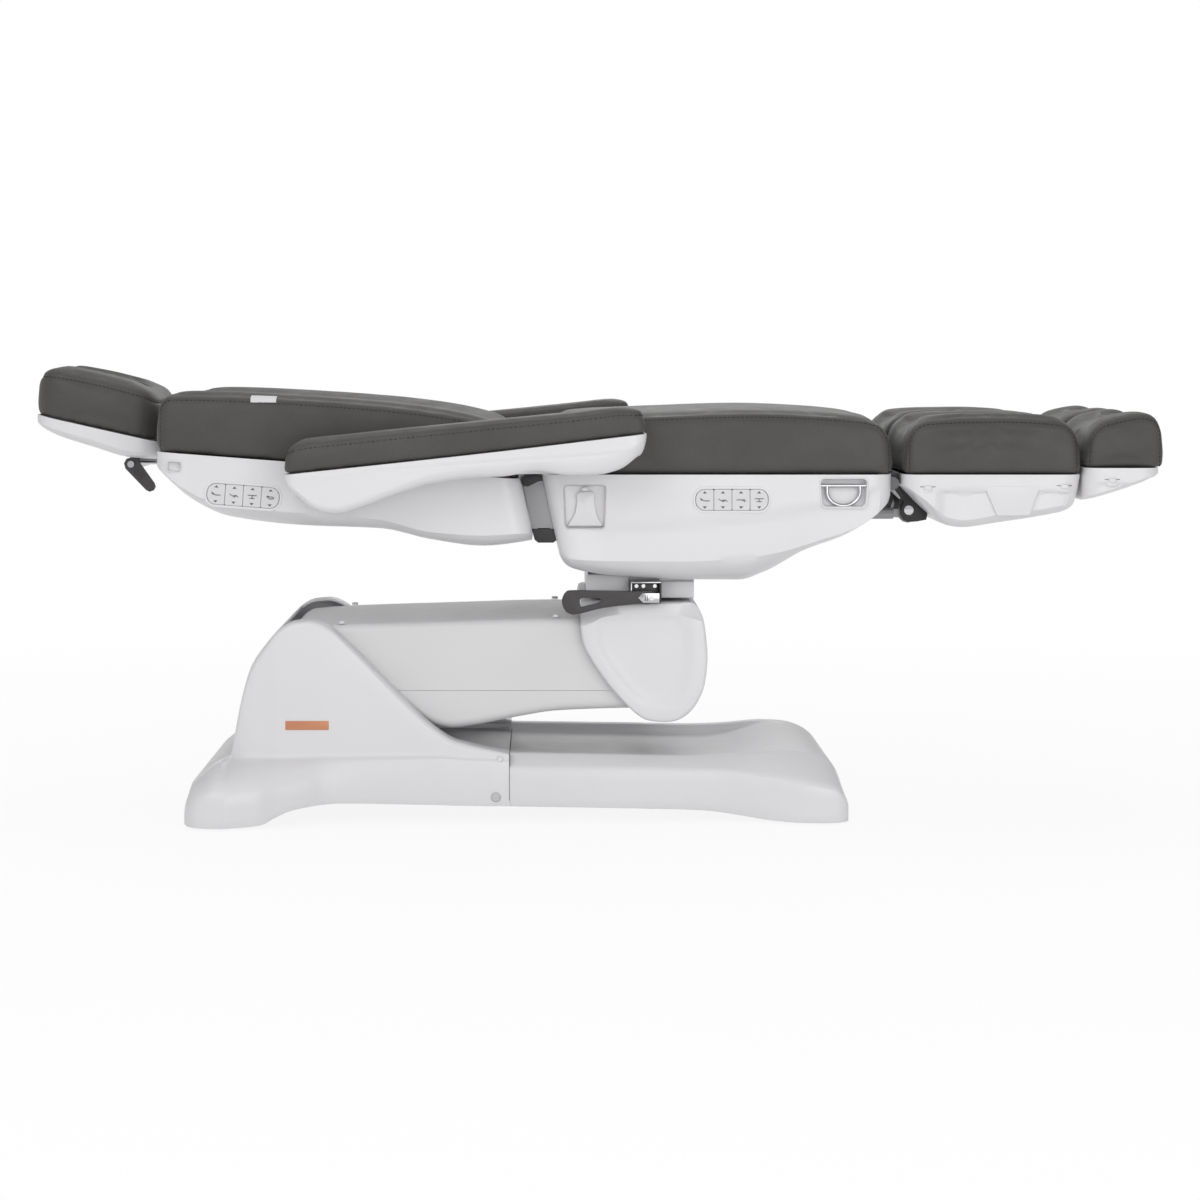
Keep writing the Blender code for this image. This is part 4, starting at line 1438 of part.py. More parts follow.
def make_armrests():
    for name, side in SIDES.items():
        y = side * ARMREST_Y
        shell = tub("armrest_shell_" + name, "white_abs", ARMREST_REAR_X, ARMREST_LENGTH, ARMREST_REAR_RIM_Z - FIT,
                    ARMREST_FRONT_RIM_Z - FIT, ARMREST_DEPTH, y, ARMREST_HALF_WIDTH, ARMREST_SHELL_SHARES, side_share=0.2)
        start, end = sorted((side * (ARMREST_INNER_Y + WALL / 2), side * (ARMREST_INNER_Y + WALL * 3.5)))
        boss = ARMREST_PIN_RADIUS * 1.8
        join(shell, cross_rod(ARMREST_PIVOT_X, ARMREST_PIVOT_Z, start, end, boss))
        start, end = sorted((side * (ARMREST_INNER_Y - OVERRUN), side * (ARMREST_INNER_Y + WALL * 2.5 + FIT)))
        cut(shell, cross_rod(ARMREST_PIVOT_X, ARMREST_PIVOT_Z, start, end, clear_of(ARMREST_PIN_RADIUS)))
        cushion("armrest_pad_" + name, ARMREST_REAR_X, ARMREST_LENGTH, ARMREST_REAR_RIM_Z, ARMREST_FRONT_RIM_Z,
                ARMREST_PAD_HEIGHT, y, ARMREST_HALF_WIDTH, ARMREST_PAD_SHARES, SMALL_SECTION_SHARES)


def make_legs():
    top = PLATFORM_HEIGHT - FIT
    low = top - RAIL_HEIGHT
    for name, side in SIDES.items():
        middle = side * LEG_Y
        hub_in = LEG_INNER_Y + STEEL * 2 + EAR_GAP
        hub_out = BED_HALF_WIDTH - WALL - STEEL * 4 - EAR_GAP
        start, end = sorted((side * hub_in, side * hub_out))
        frame = cross_rod(LEG_PIVOT_X, LEG_PIVOT_Z, start, end, LEG_HUB_RADIUS)
        as_part(frame, "leg_frame_" + name, "black_steel")
        rail_end = LEG_SHELL_START_X + LEG_SHELL_LENGTH - WALL * 3
        for y in (middle - LEG_HALF_WIDTH * 0.55, middle + LEG_HALF_WIDTH * 0.55):
            join(frame, box(LEG_PIVOT_X, rail_end, y - SEAT_RAIL_BREADTH / 3, y + SEAT_RAIL_BREADTH / 3, low + RAIL_HEIGHT * 0.25, top))
        for x in (LEG_SHELL_START_X + OVERRUN, rail_end - SEAT_RAIL_BREADTH):
            join(frame, box(x, x + SEAT_RAIL_BREADTH, middle - LEG_HALF_WIDTH * 0.6, middle + LEG_HALF_WIDTH * 0.6,
                            low + RAIL_HEIGHT * 0.3, top - FIT))
        for way in SIDES.values():
            near = middle + way * (PUSH_EYE_BREADTH / 2 + EAR_GAP)
            far = near + way * WALL
            cheek = capsule(CLEVIS_X, CLEVIS_Z, CLEVIS_X, low + RAIL_HEIGHT * 0.5, CLEVIS_RADIUS * 0.9, RAIL_HEIGHT * 0.45)
            join(frame, plate(cheek, min(near, far), max(near, far)))
        pin = PUSH_EYE_BREADTH / 2 + EAR_GAP + WALL * 1.6
        join(frame, cross_rod(CLEVIS_X, CLEVIS_Z, middle - pin, middle + pin, CLEVIS_PIN_RADIUS, 12))
        cut(frame, cross_rod(LEG_PIVOT_X, LEG_PIVOT_Z, start - OVERRUN, end + OVERRUN, clear_of(LEG_PIN_RADIUS)))
        shell = tub("leg_shell_" + name, "white_abs", LEG_SHELL_START_X, LEG_SHELL_LENGTH, top, top, LEG_SHELL_DEPTH, middle,
                    LEG_HALF_WIDTH, LEG_SHELL_SHARES, close_start=False)
        wide = CLEVIS_RADIUS + WALL
        cut(shell, box(LEG_SHELL_START_X - OVERRUN, CLEVIS_X + CLEVIS_RADIUS * 1.8, middle - wide, middle + wide,
                       PLATFORM_HEIGHT - LEG_SHELL_DEPTH, low))
        half = FOOT_TONGUE_Y + FOOT_TONGUE_BREADTH / 2 + PLAY
        cut(shell, box(FOOT_START_X - OVERRUN * 2, FOOT_START_X, middle - half, middle + half,
                       FOOT_TONGUE_Z - FOOT_TONGUE_HEIGHT - PLAY, FOOT_TONGUE_Z + PLAY))
        cushion("leg_cushion_" + name, LEG_PAD_START_X, LEG_PAD_LENGTH, PLATFORM_HEIGHT, PLATFORM_HEIGHT, LEG_PAD_HEIGHT,
                middle, LEG_HALF_WIDTH, LEG_PAD_SHARES, BOLSTER_LEG_SHARES)


def make_feet():
    for name, side in SIDES.items():
        middle = side * LEG_Y
        shell = tub("foot_shell_" + name, "white_abs", FOOT_START_X, FOOT_LENGTH, FOOT_RIM_Z - FIT, FOOT_RIM_Z - FIT,
                    FOOT_SHELL_DEPTH, middle, LEG_HALF_WIDTH, FOOT_SHELL_SHARES)
        for y in (middle - FOOT_TONGUE_Y, middle + FOOT_TONGUE_Y):
            half = FOOT_TONGUE_BREADTH / 2
            join(shell, box(FOOT_START_X - FOOT_TONGUE_LENGTH, FOOT_START_X + WALL / 2, y - half, y + half,
                            FOOT_TONGUE_Z - FOOT_TONGUE_HEIGHT, FOOT_TONGUE_Z))
        cushion("foot_cushion_" + name, FOOT_START_X, FOOT_LENGTH * 0.995, FOOT_RIM_Z, FOOT_RIM_Z, FOOT_PAD_HEIGHT,
                middle, LEG_HALF_WIDTH, FOOT_PAD_SHARES, BOLSTER_LEG_SHARES)


def make_pivots():
    add_pivot("lift_axis", LIFT_PIVOT_X, 0.0, LIFT_PIVOT_Z)
    add_pivot("link_axis", LIFT_PIVOT_X, 0.0, LIFT_PIVOT_Z - LINK_DROP)
    add_pivot("head_axis", HEAD_PIVOT_X, 0.0, HEAD_PIVOT_Z)
    add_pivot("swivel_axis", HEAD_PIVOT_X, 0.0, POST_BOTTOM)
    add_pivot("swivel_lock_axis", LOCK_PIVOT_X, -POST_HALF_WIDTH, LOCK_PIVOT_Z)
    add_pivot("tilt_axis", TILT_PIVOT_X, 0.0, TILT_PIVOT_Z)
    add_pivot("back_axis", BACK_PIVOT_X, 0.0, BACK_PIVOT_Z)
    add_pivot("head_tilt_axis", HEAD_TILT_X, 0.0, HEAD_TILT_Z)
    add_pivot("armrest_axis", ARMREST_PIVOT_X, 0.0, ARMREST_PIVOT_Z)
    add_pivot("leg_axis", LEG_PIVOT_X, 0.0, LEG_PIVOT_Z)
    add_pivot("lift_motor_axis", LIFT_MOTOR_X, 0.0, LIFT_MOTOR_Z)
    add_pivot("tilt_motor_axis", TILT_MOTOR_X, TILT_Y, TILT_MOTOR_Z)
    add_pivot("back_motor_axis", BACK_MOTOR_X, BACK_Y, BACK_MOTOR_Z)


HANGS = {
    "lift_arm_frame": "lift_axis", "lift_arm_upper_cover": "lift_axis", "lift_arm_lower_cover": "lift_axis",
    "parallel_link": "link_axis", "pivot_housing": "head_axis", "pivot_core": "head_axis",
    "lift_actuator_body": "lift_motor_axis", "lift_actuator_rod": "lift_motor_axis",
    "swivel_post": "swivel_axis", "swivel_lock_bracket": "swivel_axis", "swivel_lock_lever": "swivel_lock_axis",
    "tilt_actuator_body": "tilt_motor_axis", "tilt_actuator_rod": "tilt_motor_axis",
    "back_actuator_body": "back_motor_axis", "back_actuator_rod": "back_motor_axis",
    "seat_frame": "tilt_axis", "seat_shell": "tilt_axis", "seat_cushion": "tilt_axis", "leg_motor": "tilt_axis",
    "back_frame": "back_axis", "back_shell": "back_axis", "back_cushion": "back_axis",
    "headrest_shell": "head_tilt_axis", "headrest_cushion": "head_tilt_axis", "headrest_lock_lever": "head_tilt_axis",
    "headrest_rods": "back_axis",
}
SIDE_HANGS = {
    "armrest_shell_": "armrest_axis", "armrest_pad_": "armrest_axis", "leg_frame_": "leg_axis",
    "leg_shell_": "leg_axis", "leg_cushion_": "leg_axis", "foot_shell_": "leg_axis", "foot_cushion_": "leg_axis",
    "leg_push_rod_": "tilt_axis", "ring_": "tilt_axis",
}


def hang_all():
    for name, pivot in HANGS.items():
        hang(bpy.data.objects[name], pivot)
    for stem, pivot in SIDE_HANGS.items():
        for side in SIDES:
            hang(bpy.data.objects[stem + side], pivot)


def main():
    make_pivots()
    make_base_frame()
    make_levelling_feet()
    make_rear_base_cover()
    make_power_unit()
    make_front_base_cover()
    make_lift_arm_frame()
    make_lift_arm_covers()
    make_parallel_link()
    make_pivot_housing()
    make_pivot_core()
    make_swivel_post()
    make_swivel_lock()
    make_seat_frame()
    make_seat_shell()
    make_seat_cushion()
    make_keys("seat", SEAT_KEYS_X, SEAT_KEYS_Z, 0.0, ("back", "tilt", "legs", "height"))
    make_rings()
    make_leg_drive()
    make_back_frame()
    make_back_shell()
    make_back_cushion()
    make_keys("back", BACK_KEYS_X, BACK_KEYS_Z, BACK_SLOPE, ("back", "tilt", "height", "return"))
    make_headrest_rods()
    make_headrest()
    make_armrests()
    make_legs()
    make_feet()
    pin = PIN_RADIUS * 0.7
    small_pin = PIN_RADIUS * 0.6
    actuator("lift_actuator", (LIFT_MOTOR_X, LIFT_MOTOR_Z), (LIFT_PUSH_X, LIFT_PUSH_Z), 0.0, HUB_RADIUS, PIN_RADIUS * 0.85,
             pin, pin, PLAY * 5, 0.66, STEEL * 3)
    actuator("tilt_actuator", (TILT_MOTOR_X, TILT_MOTOR_Z), (TILT_PUSH_X, TILT_PUSH_Z), TILT_Y, PIN_RADIUS * 1.3, PIN_RADIUS * 0.6,
             small_pin, small_pin, PLAY * 3, 0.66, STEEL * 2)
    actuator("back_actuator", (BACK_MOTOR_X, BACK_MOTOR_Z), (BACK_PUSH_X, BACK_PUSH_Z), BACK_Y, PIN_RADIUS * 1.3, PIN_RADIUS * 0.6,
             small_pin, small_pin, PLAY * 11, 0.55, STEEL * 2)
    hang_all()


main()
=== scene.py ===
import math
import bpy
import bmesh
from mathutils import Matrix, Vector
from mathutils.bvhtree import BVHTree
from mathutils.kdtree import KDTree


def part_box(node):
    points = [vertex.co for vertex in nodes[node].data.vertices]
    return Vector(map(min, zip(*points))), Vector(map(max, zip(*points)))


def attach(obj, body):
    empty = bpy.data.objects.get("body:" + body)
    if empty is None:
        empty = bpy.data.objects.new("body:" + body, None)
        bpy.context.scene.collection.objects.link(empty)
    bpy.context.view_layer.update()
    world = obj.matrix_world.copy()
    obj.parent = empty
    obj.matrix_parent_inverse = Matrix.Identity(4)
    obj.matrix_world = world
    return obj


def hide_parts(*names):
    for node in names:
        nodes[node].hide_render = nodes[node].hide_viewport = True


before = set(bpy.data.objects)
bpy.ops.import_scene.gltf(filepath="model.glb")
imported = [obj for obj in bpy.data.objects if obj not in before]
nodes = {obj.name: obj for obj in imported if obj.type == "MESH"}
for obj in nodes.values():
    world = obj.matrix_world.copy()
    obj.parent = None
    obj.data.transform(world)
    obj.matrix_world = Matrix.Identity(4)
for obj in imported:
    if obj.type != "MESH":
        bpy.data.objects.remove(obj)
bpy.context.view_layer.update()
sides = {"near": -1, "far": 1}
print("frame loaded")


def newObject(name, data):
    ob = bpy.data.objects.new(name, data)
    bpy.context.scene.collection.objects.link(ob)
    return ob


def paint(ob, mat):
    ob.data.materials.clear()
    ob.data.materials.append(mat)


# Puts a finished piece on its body, in place of a solid.
def wear(ob, body, node):
    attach(ob, body)
    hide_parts(node)


view = {"x": -0.086, "height": 0.783, "distance": 5.0, "lens": 86.06, "shiftX": 0.05, "shiftY": -0.2083}
camData = bpy.data.cameras.new("camera")
camData.lens = view["lens"]
camData.shift_x = view["shiftX"]
camData.shift_y = view["shiftY"]
camData.clip_end = 60
camera = newObject("camera", camData)
camera.location = (view["x"], -view["distance"], view["height"])
camera.rotation_euler = (math.radians(90), 0, 0)
bpy.context.scene.camera = camera
bpy.context.scene.view_settings.view_transform = "Standard"


def lamp(name, place, aim, size, power):
    data = bpy.data.lights.new(name, "AREA")
    data.shape = "DISK"
    data.size = size
    data.energy = power
    ob = newObject(name, data)
    ob.location = place
    ob.rotation_euler = (Vector(aim) - Vector(place)).to_track_quat("-Z", "Y").to_euler()


lamp("keyLamp", (-1.6, -3.6, 2.6), (0, 0, 0.4), 2.4, 38)
lamp("fillLamp", (1.3, -4.3, 0.9), (0, 0, 0.35), 2.8, 45)
lamp("topLamp", (0, 0.6, 3.6), (0, 0, 0.4), 3.0, 22)
lamp("backLamp", (0.4, 3.6, 2.2), (0, 0, 0.5), 2.6, 16)


def newMaterial(name):
    mat = bpy.data.materials.new(name)
    mat.use_nodes = True
    tree = mat.node_tree
    shader = tree.nodes["Principled BSDF"]
    place = tree.nodes.new("ShaderNodeTexCoord")
    return mat, tree, shader, place


def noiseNode(tree, place, scale, detail, rough=0.5):
    noise = tree.nodes.new("ShaderNodeTexNoise")
    noise.inputs["Scale"].default_value = scale
    noise.inputs["Detail"].default_value = detail
    noise.inputs["Roughness"].default_value = rough
    tree.links.new(place.outputs["Object"], noise.inputs["Vector"])
    return noise


def rampNode(tree, source, low, high, dark, light):
    ramp = tree.nodes.new("ShaderNodeValToRGB")
    for stop, position, tone in zip(ramp.color_ramp.elements, (low, high), (dark, light)):
        stop.position = position
        stop.color = (*tone, 1) if isinstance(tone, tuple) else (tone, tone, tone, 1)
    tree.links.new(source, ramp.inputs["Fac"])
    return ramp


def bumpNode(tree, height, strength, distance, under=None):
    bump = tree.nodes.new("ShaderNodeBump")
    bump.inputs["Strength"].default_value = strength
    bump.inputs["Distance"].default_value = distance
    tree.links.new(height, bump.inputs["Height"])
    if under:
        tree.links.new(under.outputs["Normal"], bump.inputs["Normal"])
    return bump


roughSpread = 0.06


def mouldedFinish(name, colour, rough, grain, grainDepth, shade, metal=0.0, coat=0.0):
    mat, tree, shader, place = newMaterial(name)
    link = tree.links.new
    broad = noiseNode(tree, place, 4.0, 2.0)
    dark = tuple(c * (1 - shade) for c in colour)
    light = tuple(min(c * (1 + shade), 1.0) for c in colour)
    tone = rampNode(tree, broad.outputs["Fac"], 0.35, 0.65, dark, light)
    link(tone.outputs["Color"], shader.inputs["Base Color"])
    worn = noiseNode(tree, place, 38.0, 4.0)
    roughness = rampNode(tree, worn.outputs["Fac"], 0.3, 0.7, rough - roughSpread, rough + roughSpread)
    link(roughness.outputs["Color"], shader.inputs["Roughness"])
    fine = noiseNode(tree, place, grain, 2.0)
    bump = bumpNode(tree, fine.outputs["Fac"], 0.35, grainDepth)
    link(bump.outputs["Normal"], shader.inputs["Normal"])
    shader.inputs["Metallic"].default_value = metal
    shader.inputs["Coat Weight"].default_value = coat
    shader.inputs["Coat Roughness"].default_value = 0.25
    return mat


def leatherFinish(name, colour):
    mat, tree, shader, place = newMaterial(name)
    link = tree.links.new
    cells = tree.nodes.new("ShaderNodeTexVoronoi")
    cells.inputs["Scale"].default_value = 520.0
    cells.inputs["Randomness"].default_value = 0.95
    link(place.outputs["Object"], cells.inputs["Vector"])
    folds = noiseNode(tree, place, 26.0, 5.0, 0.55)
    broad = noiseNode(tree, place, 5.0, 3.0)
    tone = rampNode(tree, broad.outputs["Fac"], 0.3, 0.7, tuple(c * 0.9 for c in colour),
                    tuple(c * 1.12 for c in colour))
    grain = rampNode(tree, cells.outputs["Distance"], 0.0, 0.6, 1.0, 0.86)
    mix = tree.nodes.new("ShaderNodeMix")
    mix.data_type = "RGBA"
    mix.blend_type = "MULTIPLY"
    mix.inputs["Factor"].default_value = 1.0
    link(tone.outputs["Color"], mix.inputs[6])
    link(grain.outputs["Color"], mix.inputs[7])
    link(mix.outputs[2], shader.inputs["Base Color"])
    rough = rampNode(tree, folds.outputs["Fac"], 0.3, 0.7, 0.46, 0.60)
    link(rough.outputs["Color"], shader.inputs["Roughness"])
    soft = bumpNode(tree, folds.outputs["Fac"], 0.30, 0.0016)
    fine = bumpNode(tree, cells.outputs["Distance"], 0.32, 0.00018, soft)
    link(fine.outputs["Normal"], shader.inputs["Normal"])
    shader.inputs["Specular IOR Level"].default_value = 0.42
    shader.inputs["Sheen Weight"].default_value = 0.08
    shader.inputs["Sheen Roughness"].default_value = 0.5
    return mat


def metalFinish(name, colour, rough, scratch):
    mat, tree, shader, place = newMaterial(name)
    link = tree.links.new
    mapping = tree.nodes.new("ShaderNodeMapping")
    mapping.inputs["Scale"].default_value = (6.0, 220.0, 220.0)
    link(place.outputs["Object"], mapping.inputs["Vector"])
    streak = tree.nodes.new("ShaderNodeTexNoise")
    streak.inputs["Scale"].default_value = 1.0
    streak.inputs["Detail"].default_value = 3.0
    link(mapping.outputs["Vector"], streak.inputs["Vector"])
    tone = rampNode(tree, streak.outputs["Fac"], 0.3, 0.7, tuple(c * 0.93 for c in colour), colour)
    link(tone.outputs["Color"], shader.inputs["Base Color"])
    roughness = rampNode(tree, streak.outputs["Fac"], 0.3, 0.7, max(rough - scratch, 0.03), rough + scratch)
    link(roughness.outputs["Color"], shader.inputs["Roughness"])
    bump = bumpNode(tree, streak.outputs["Fac"], 0.12, 0.00003)
    link(bump.outputs["Normal"], shader.inputs["Normal"])
    shader.inputs["Metallic"].default_value = 1.0
    return mat


# A colour as seen, 0 to 255, in linear light.
def linear(r, g, b):
    return tuple(((c / 255 + 0.055) / 1.055) ** 2.4 if c > 10 else c / 255 / 12.92 for c in (r, g, b))


shellWhite = mouldedFinish("shellWhite", linear(226, 225, 227), 0.36, 1400.0, 0.00003, 0.012, coat=0.12)
armWhite = mouldedFinish("armWhite", linear(221, 220, 221), 0.42, 1400.0, 0.00003, 0.012)
greyHide = leatherFinish("greyHide", linear(76, 74, 72))
threadPlum = mouldedFinish("threadPlum", linear(44, 36, 46), 0.7, 2600.0, 0.00008, 0.10)
chromeBright = metalFinish("chromeBright", (0.54, 0.54, 0.56), 0.16, 0.05)
zincPlain = metalFinish("zincPlain", (0.46, 0.46, 0.47), 0.36, 0.08)
greySatin = mouldedFinish("greySatin", linear(150, 150, 152), 0.40, 700.0, 0.00005, 0.04, metal=0.25)
steelPaint = mouldedFinish("steelPaint", linear(96, 97, 100), 0.45, 500.0, 0.00008, 0.06)
blackPaint = mouldedFinish("blackPaint", linear(34, 34, 36), 0.42, 600.0, 0.00008, 0.08)
leverGrey = mouldedFinish("leverGrey", linear(62, 59, 61), 0.48, 1600.0, 0.00006, 0.05)
rubberBlack = mouldedFinish("rubberBlack", linear(30, 30, 31), 0.75, 400.0, 0.00010, 0.10)
motorGrey = mouldedFinish("motorGrey", linear(122, 123, 126), 0.46, 500.0, 0.00008, 0.05)
keyGrey = mouldedFinish("keyGrey", linear(217, 217, 219), 0.45, 1800.0, 0.00003, 0.02)
signGrey = mouldedFinish("signGrey", linear(96, 96, 100), 0.55, 1800.0, 0.00003, 0.04)
pocketGrey = mouldedFinish("pocketGrey", linear(196, 196, 199), 0.46, 1400.0, 0.00003, 0.02)
seamShade = mouldedFinish("seamShade", linear(120, 119, 122), 0.6, 900.0, 0.00003, 0.04)
copperPlain = mouldedFinish("copperPlain", linear(202, 138, 104), 0.40, 900.0, 0.00003, 0.05, metal=0.4)
cadFinish = {
    "painted_steel": steelPaint, "black_steel": blackPaint, "rubber": rubberBlack, "white_abs": shellWhite,
    "leatherette": greyHide, "chrome": chromeBright, "grey_tube": greySatin, "black_plastic": leverGrey,
    "motor_grey": motorGrey,
}


def stageFinish():
    mat, tree, shader, place = newMaterial("paleFloor")
    link = tree.links.new
    speck = noiseNode(tree, place, 3.0, 2.0)
    tone = rampNode(tree, speck.outputs["Fac"], 0.3, 0.7, 0.88, 0.90)
    link(tone.outputs["Color"], shader.inputs["Base Color"])
    shader.inputs["Roughness"].default_value = 0.85
    glow = tree.nodes.new("ShaderNodeEmission")
    path = tree.nodes.new("ShaderNodeLightPath")
    add, more, share = (tree.nodes.new("ShaderNodeMath") for n in range(3))
    add.operation = more.operation = "ADD"
    add.use_clamp = more.use_clamp = True
    share.operation = "MULTIPLY"
    away = tree.nodes.new("ShaderNodeVectorMath")
    away.operation = "LENGTH"
    link(place.outputs["Object"], away.inputs[0])
    fade = tree.nodes.new("ShaderNodeMapRange")
    for key, value in (("From Min", 0.9), ("From Max", 3.2), ("To Min", 0.90), ("To Max", 1.0)):
        fade.inputs[key].default_value = value
    link(away.outputs["Value"], fade.inputs["Value"])
    link(fade.outputs[0], share.inputs[1])
    mix = tree.nodes.new("ShaderNodeMixShader")
    link(path.outputs["Is Camera Ray"], add.inputs[0])
    link(path.outputs["Is Glossy Ray"], add.inputs[1])
    link(add.outputs[0], more.inputs[0])
    link(path.outputs["Is Transmission Ray"], more.inputs[1])
    link(more.outputs[0], share.inputs[0])
    link(share.outputs[0], mix.inputs[0])
    link(shader.outputs[0], mix.inputs[1])
    link(glow.outputs[0], mix.inputs[2])
    link(mix.outputs[0], tree.nodes["Material Output"].inputs["Surface"])
    return mat


def makeStage():
    data = bpy.data.meshes.new("floor")
    far = 14.0
    data.from_pydata([(-far, -far, 0), (far, -far, 0), (far, far, 0), (-far, far, 0)], [], [(0, 1, 2, 3)])
    floor = newObject("floor", data)
    data.materials.append(stageFinish())
    world = bpy.data.worlds.new("studio")
    world.use_nodes = True
    tree = world.node_tree
    soft = tree.nodes["Background"]
    soft.inputs["Color"].default_value = (1, 1, 1, 1)
    soft.inputs["Strength"].default_value = 0.52
    bright = tree.nodes.new("ShaderNodeBackground")
    bright.inputs["Strength"].default_value = 1.0
    bright.inputs["Color"].default_value = (1, 1, 1, 1)
    path = tree.nodes.new("ShaderNodeLightPath")
    mix = tree.nodes.new("ShaderNodeMixShader")
    tree.links.new(path.outputs["Is Camera Ray"], mix.inputs[0])
    tree.links.new(soft.outputs[0], mix.inputs[1])
    tree.links.new(bright.outputs[0], mix.inputs[2])
    tree.links.new(mix.outputs[0], tree.nodes["World Output"].inputs["Surface"])
    bpy.context.scene.world = world


makeStage()


# Smooth value of a table of (x, value) that never overshoots its points.
def curveAt(table, x):
    if x <= table[0][0]:
        return table[0][1]
    if x >= table[-1][0]:
        return table[-1][1]
    n = 0
    while table[n + 1][0] < x:
        n += 1

    def slopeOf(k):
        return (table[k + 1][1] - table[k][1]) / (table[k + 1][0] - table[k][0])

    def tangent(k):
        if k == 0 or k == len(table) - 1:
            return slopeOf(0) if k == 0 else slopeOf(len(table) - 2)
        a, b = slopeOf(k - 1), slopeOf(k)
        return 0.0 if a * b <= 0 else 2 * a * b / (a + b)

    width = table[n + 1][0] - table[n][0]
    t = (x - table[n][0]) / width
    y0, y1 = table[n][1], table[n + 1][1]
    m0, m1 = tangent(n) * width, tangent(n + 1) * width
    return ((2 * t**3 - 3 * t**2 + 1) * y0 + (t**3 - 2 * t**2 + t) * m0
            + (3 * t**2 - 2 * t**3) * y1 + (t**3 - t**2) * m1)


# A smooth closed or open line through points in a plane.
def ease(points, steps, closed=True):
    line = []
    count = len(points)
    spans = count if closed else count - 1
    for n in range(spans):
        p = [Vector(points[(n + k) % count] if closed else points[min(max(n + k, 0), count - 1)])
             for k in (-1, 0, 1, 2)]
        for s in range(steps):
            t = s / steps
            line.append(0.5 * ((2 * p[1]) + (p[2] - p[0]) * t
                               + (2 * p[0] - 5 * p[1] + 4 * p[2] - p[3]) * t * t
                               + (3 * p[1] - p[0] - 3 * p[2] + p[3]) * t**3))
    if not closed:
        line.append(Vector(points[-1]))
    return line


# Welds a mesh and makes an object of it; edges past the angle stay sharp.
def toObject(bm, name, mat, angle=38.0, recalc=True):
    bmesh.ops.remove_doubles(bm, verts=bm.verts, dist=0.00002)
    if recalc:
        bmesh.ops.recalc_face_normals(bm, faces=bm.faces)
    data = bpy.data.meshes.new(name)
    bm.to_mesh(data)
    bm.free()
    for poly in data.polygons:
        poly.use_smooth = True
    data.set_sharp_from_angle(angle=math.radians(angle))
    ob = newObject(name, data)
    data.materials.append(mat)
    return ob


# Turns an object's modifiers into plain mesh.
def settle(ob, angle=38.0):
    deps = bpy.context.evaluated_depsgraph_get()
    deps.update()
    data = bpy.data.meshes.new_from_object(ob.evaluated_get(deps), depsgraph=deps)
    ob.modifiers.clear()
    ob.data = data
    for poly in data.polygons:
        poly.use_smooth = True
    data.set_sharp_from_angle(angle=math.radians(angle))
    return ob


# Takes the tools' forms out of a piece.
def cutBy(ob, *tools, solver="EXACT"):
    for tool in tools:
        cut = ob.modifiers.new("cut", "BOOLEAN")
        cut.operation = "DIFFERENCE"
        cut.solver = solver
        cut.object = tool
    settle(ob)
    for tool in tools:
        bpy.data.objects.remove(tool)
    return ob


def soften(ob, width, segments=3, angle=35.0):
    bevel = ob.modifiers.new("edge", "BEVEL")
    bevel.width = width
    bevel.segments = segments
    bevel.limit_method = "ANGLE"
    bevel.angle_limit = math.radians(angle)
    settle(ob, 50.0)
    return ob


# Gives a sheet its wall.
def thicken(ob, wall, outwards=False):
    solid = ob.modifiers.new("wall", "SOLIDIFY")
    solid.thickness = wall
    solid.offset = 1.0 if outwards else -1.0
    solid.use_even_offset = True
    settle(ob)
    return ob


def block(x0, x1, y0, y1, z0, z1, name="block", mat=None, round=0.0):
    bm = bmesh.new()
    bmesh.ops.create_cube(bm, size=1.0)
    bm.transform(Matrix.Translation(((x0 + x1) / 2, (y0 + y1) / 2, (z0 + z1) / 2))
                 @ Matrix.Diagonal((x1 - x0, y1 - y0, z1 - z0, 1)))
    ob = toObject(bm, name, mat or shellWhite)
    return soften(ob, round) if round else ob


# A plate with an outline in X and Z between two Y positions, edges rounded.
def slab(outline, y0, y1, name, mat, round=0.0):
    bm = bmesh.new()
    rings = [[bm.verts.new((p[0], y, p[1])) for p in outline] for y in (y0, y1)]
    bm.faces.new(rings[0])
    bm.faces.new(list(reversed(rings[1])))
    count = len(outline)
    for n in range(count):
        bm.faces.new((rings[0][n], rings[1][n], rings[1][(n + 1) % count], rings[0][(n + 1) % count]))
    ob = toObject(bm, name, mat, 30.0)
    return soften(ob, round, 3, 50.0) if round else ob


# Quads between neighbouring rows of vertices.
def skin(bm, rows, closed=True):
    count = len(rows[0])
    for a, b in zip(rows, rows[1:]):
        for k in range(count if closed else count - 1):
            bm.faces.new((a[k], a[(k + 1) % count], b[(k + 1) % count], b[k]))


# A round bar along a line in space.
def tube(points, radius, name, mat, sides, smooth):
    line = [Vector(p) for p in points]
    if smooth > 1:
        line = ease([tuple(p) for p in line], smooth, False)
    count = len(line)
    bm = bmesh.new()
    rings = []
    up = None
    for n, p in enumerate(line):
        ahead = line[n + 1] if n < count - 1 else p
        behind = line[n - 1] if n > 0 else p
        way = (ahead - behind).normalized()
        if up is None:
            up = way.orthogonal().normalized()
        up = (up - way * up.dot(way)).normalized()
        across = way.cross(up)
        rings.append([bm.verts.new(p + (up * math.cos(a) + across * math.sin(a)) * radius)
                      for a in (2 * math.pi * k / sides for k in range(sides))])
    skin(bm, rings)
    bm.faces.new(rings[0])
    bm.faces.new(list(reversed(rings[-1])))
    return toObject(bm, name, mat, 45.0)


# A straight round pin across the table, from y0 to y1.
def pinAcross(x, z, y0, y1, radius, name, mat, sides=24):
    return tube([(x, y0, z), (x, y1, z)], radius, name, mat, sides=sides, smooth=1)


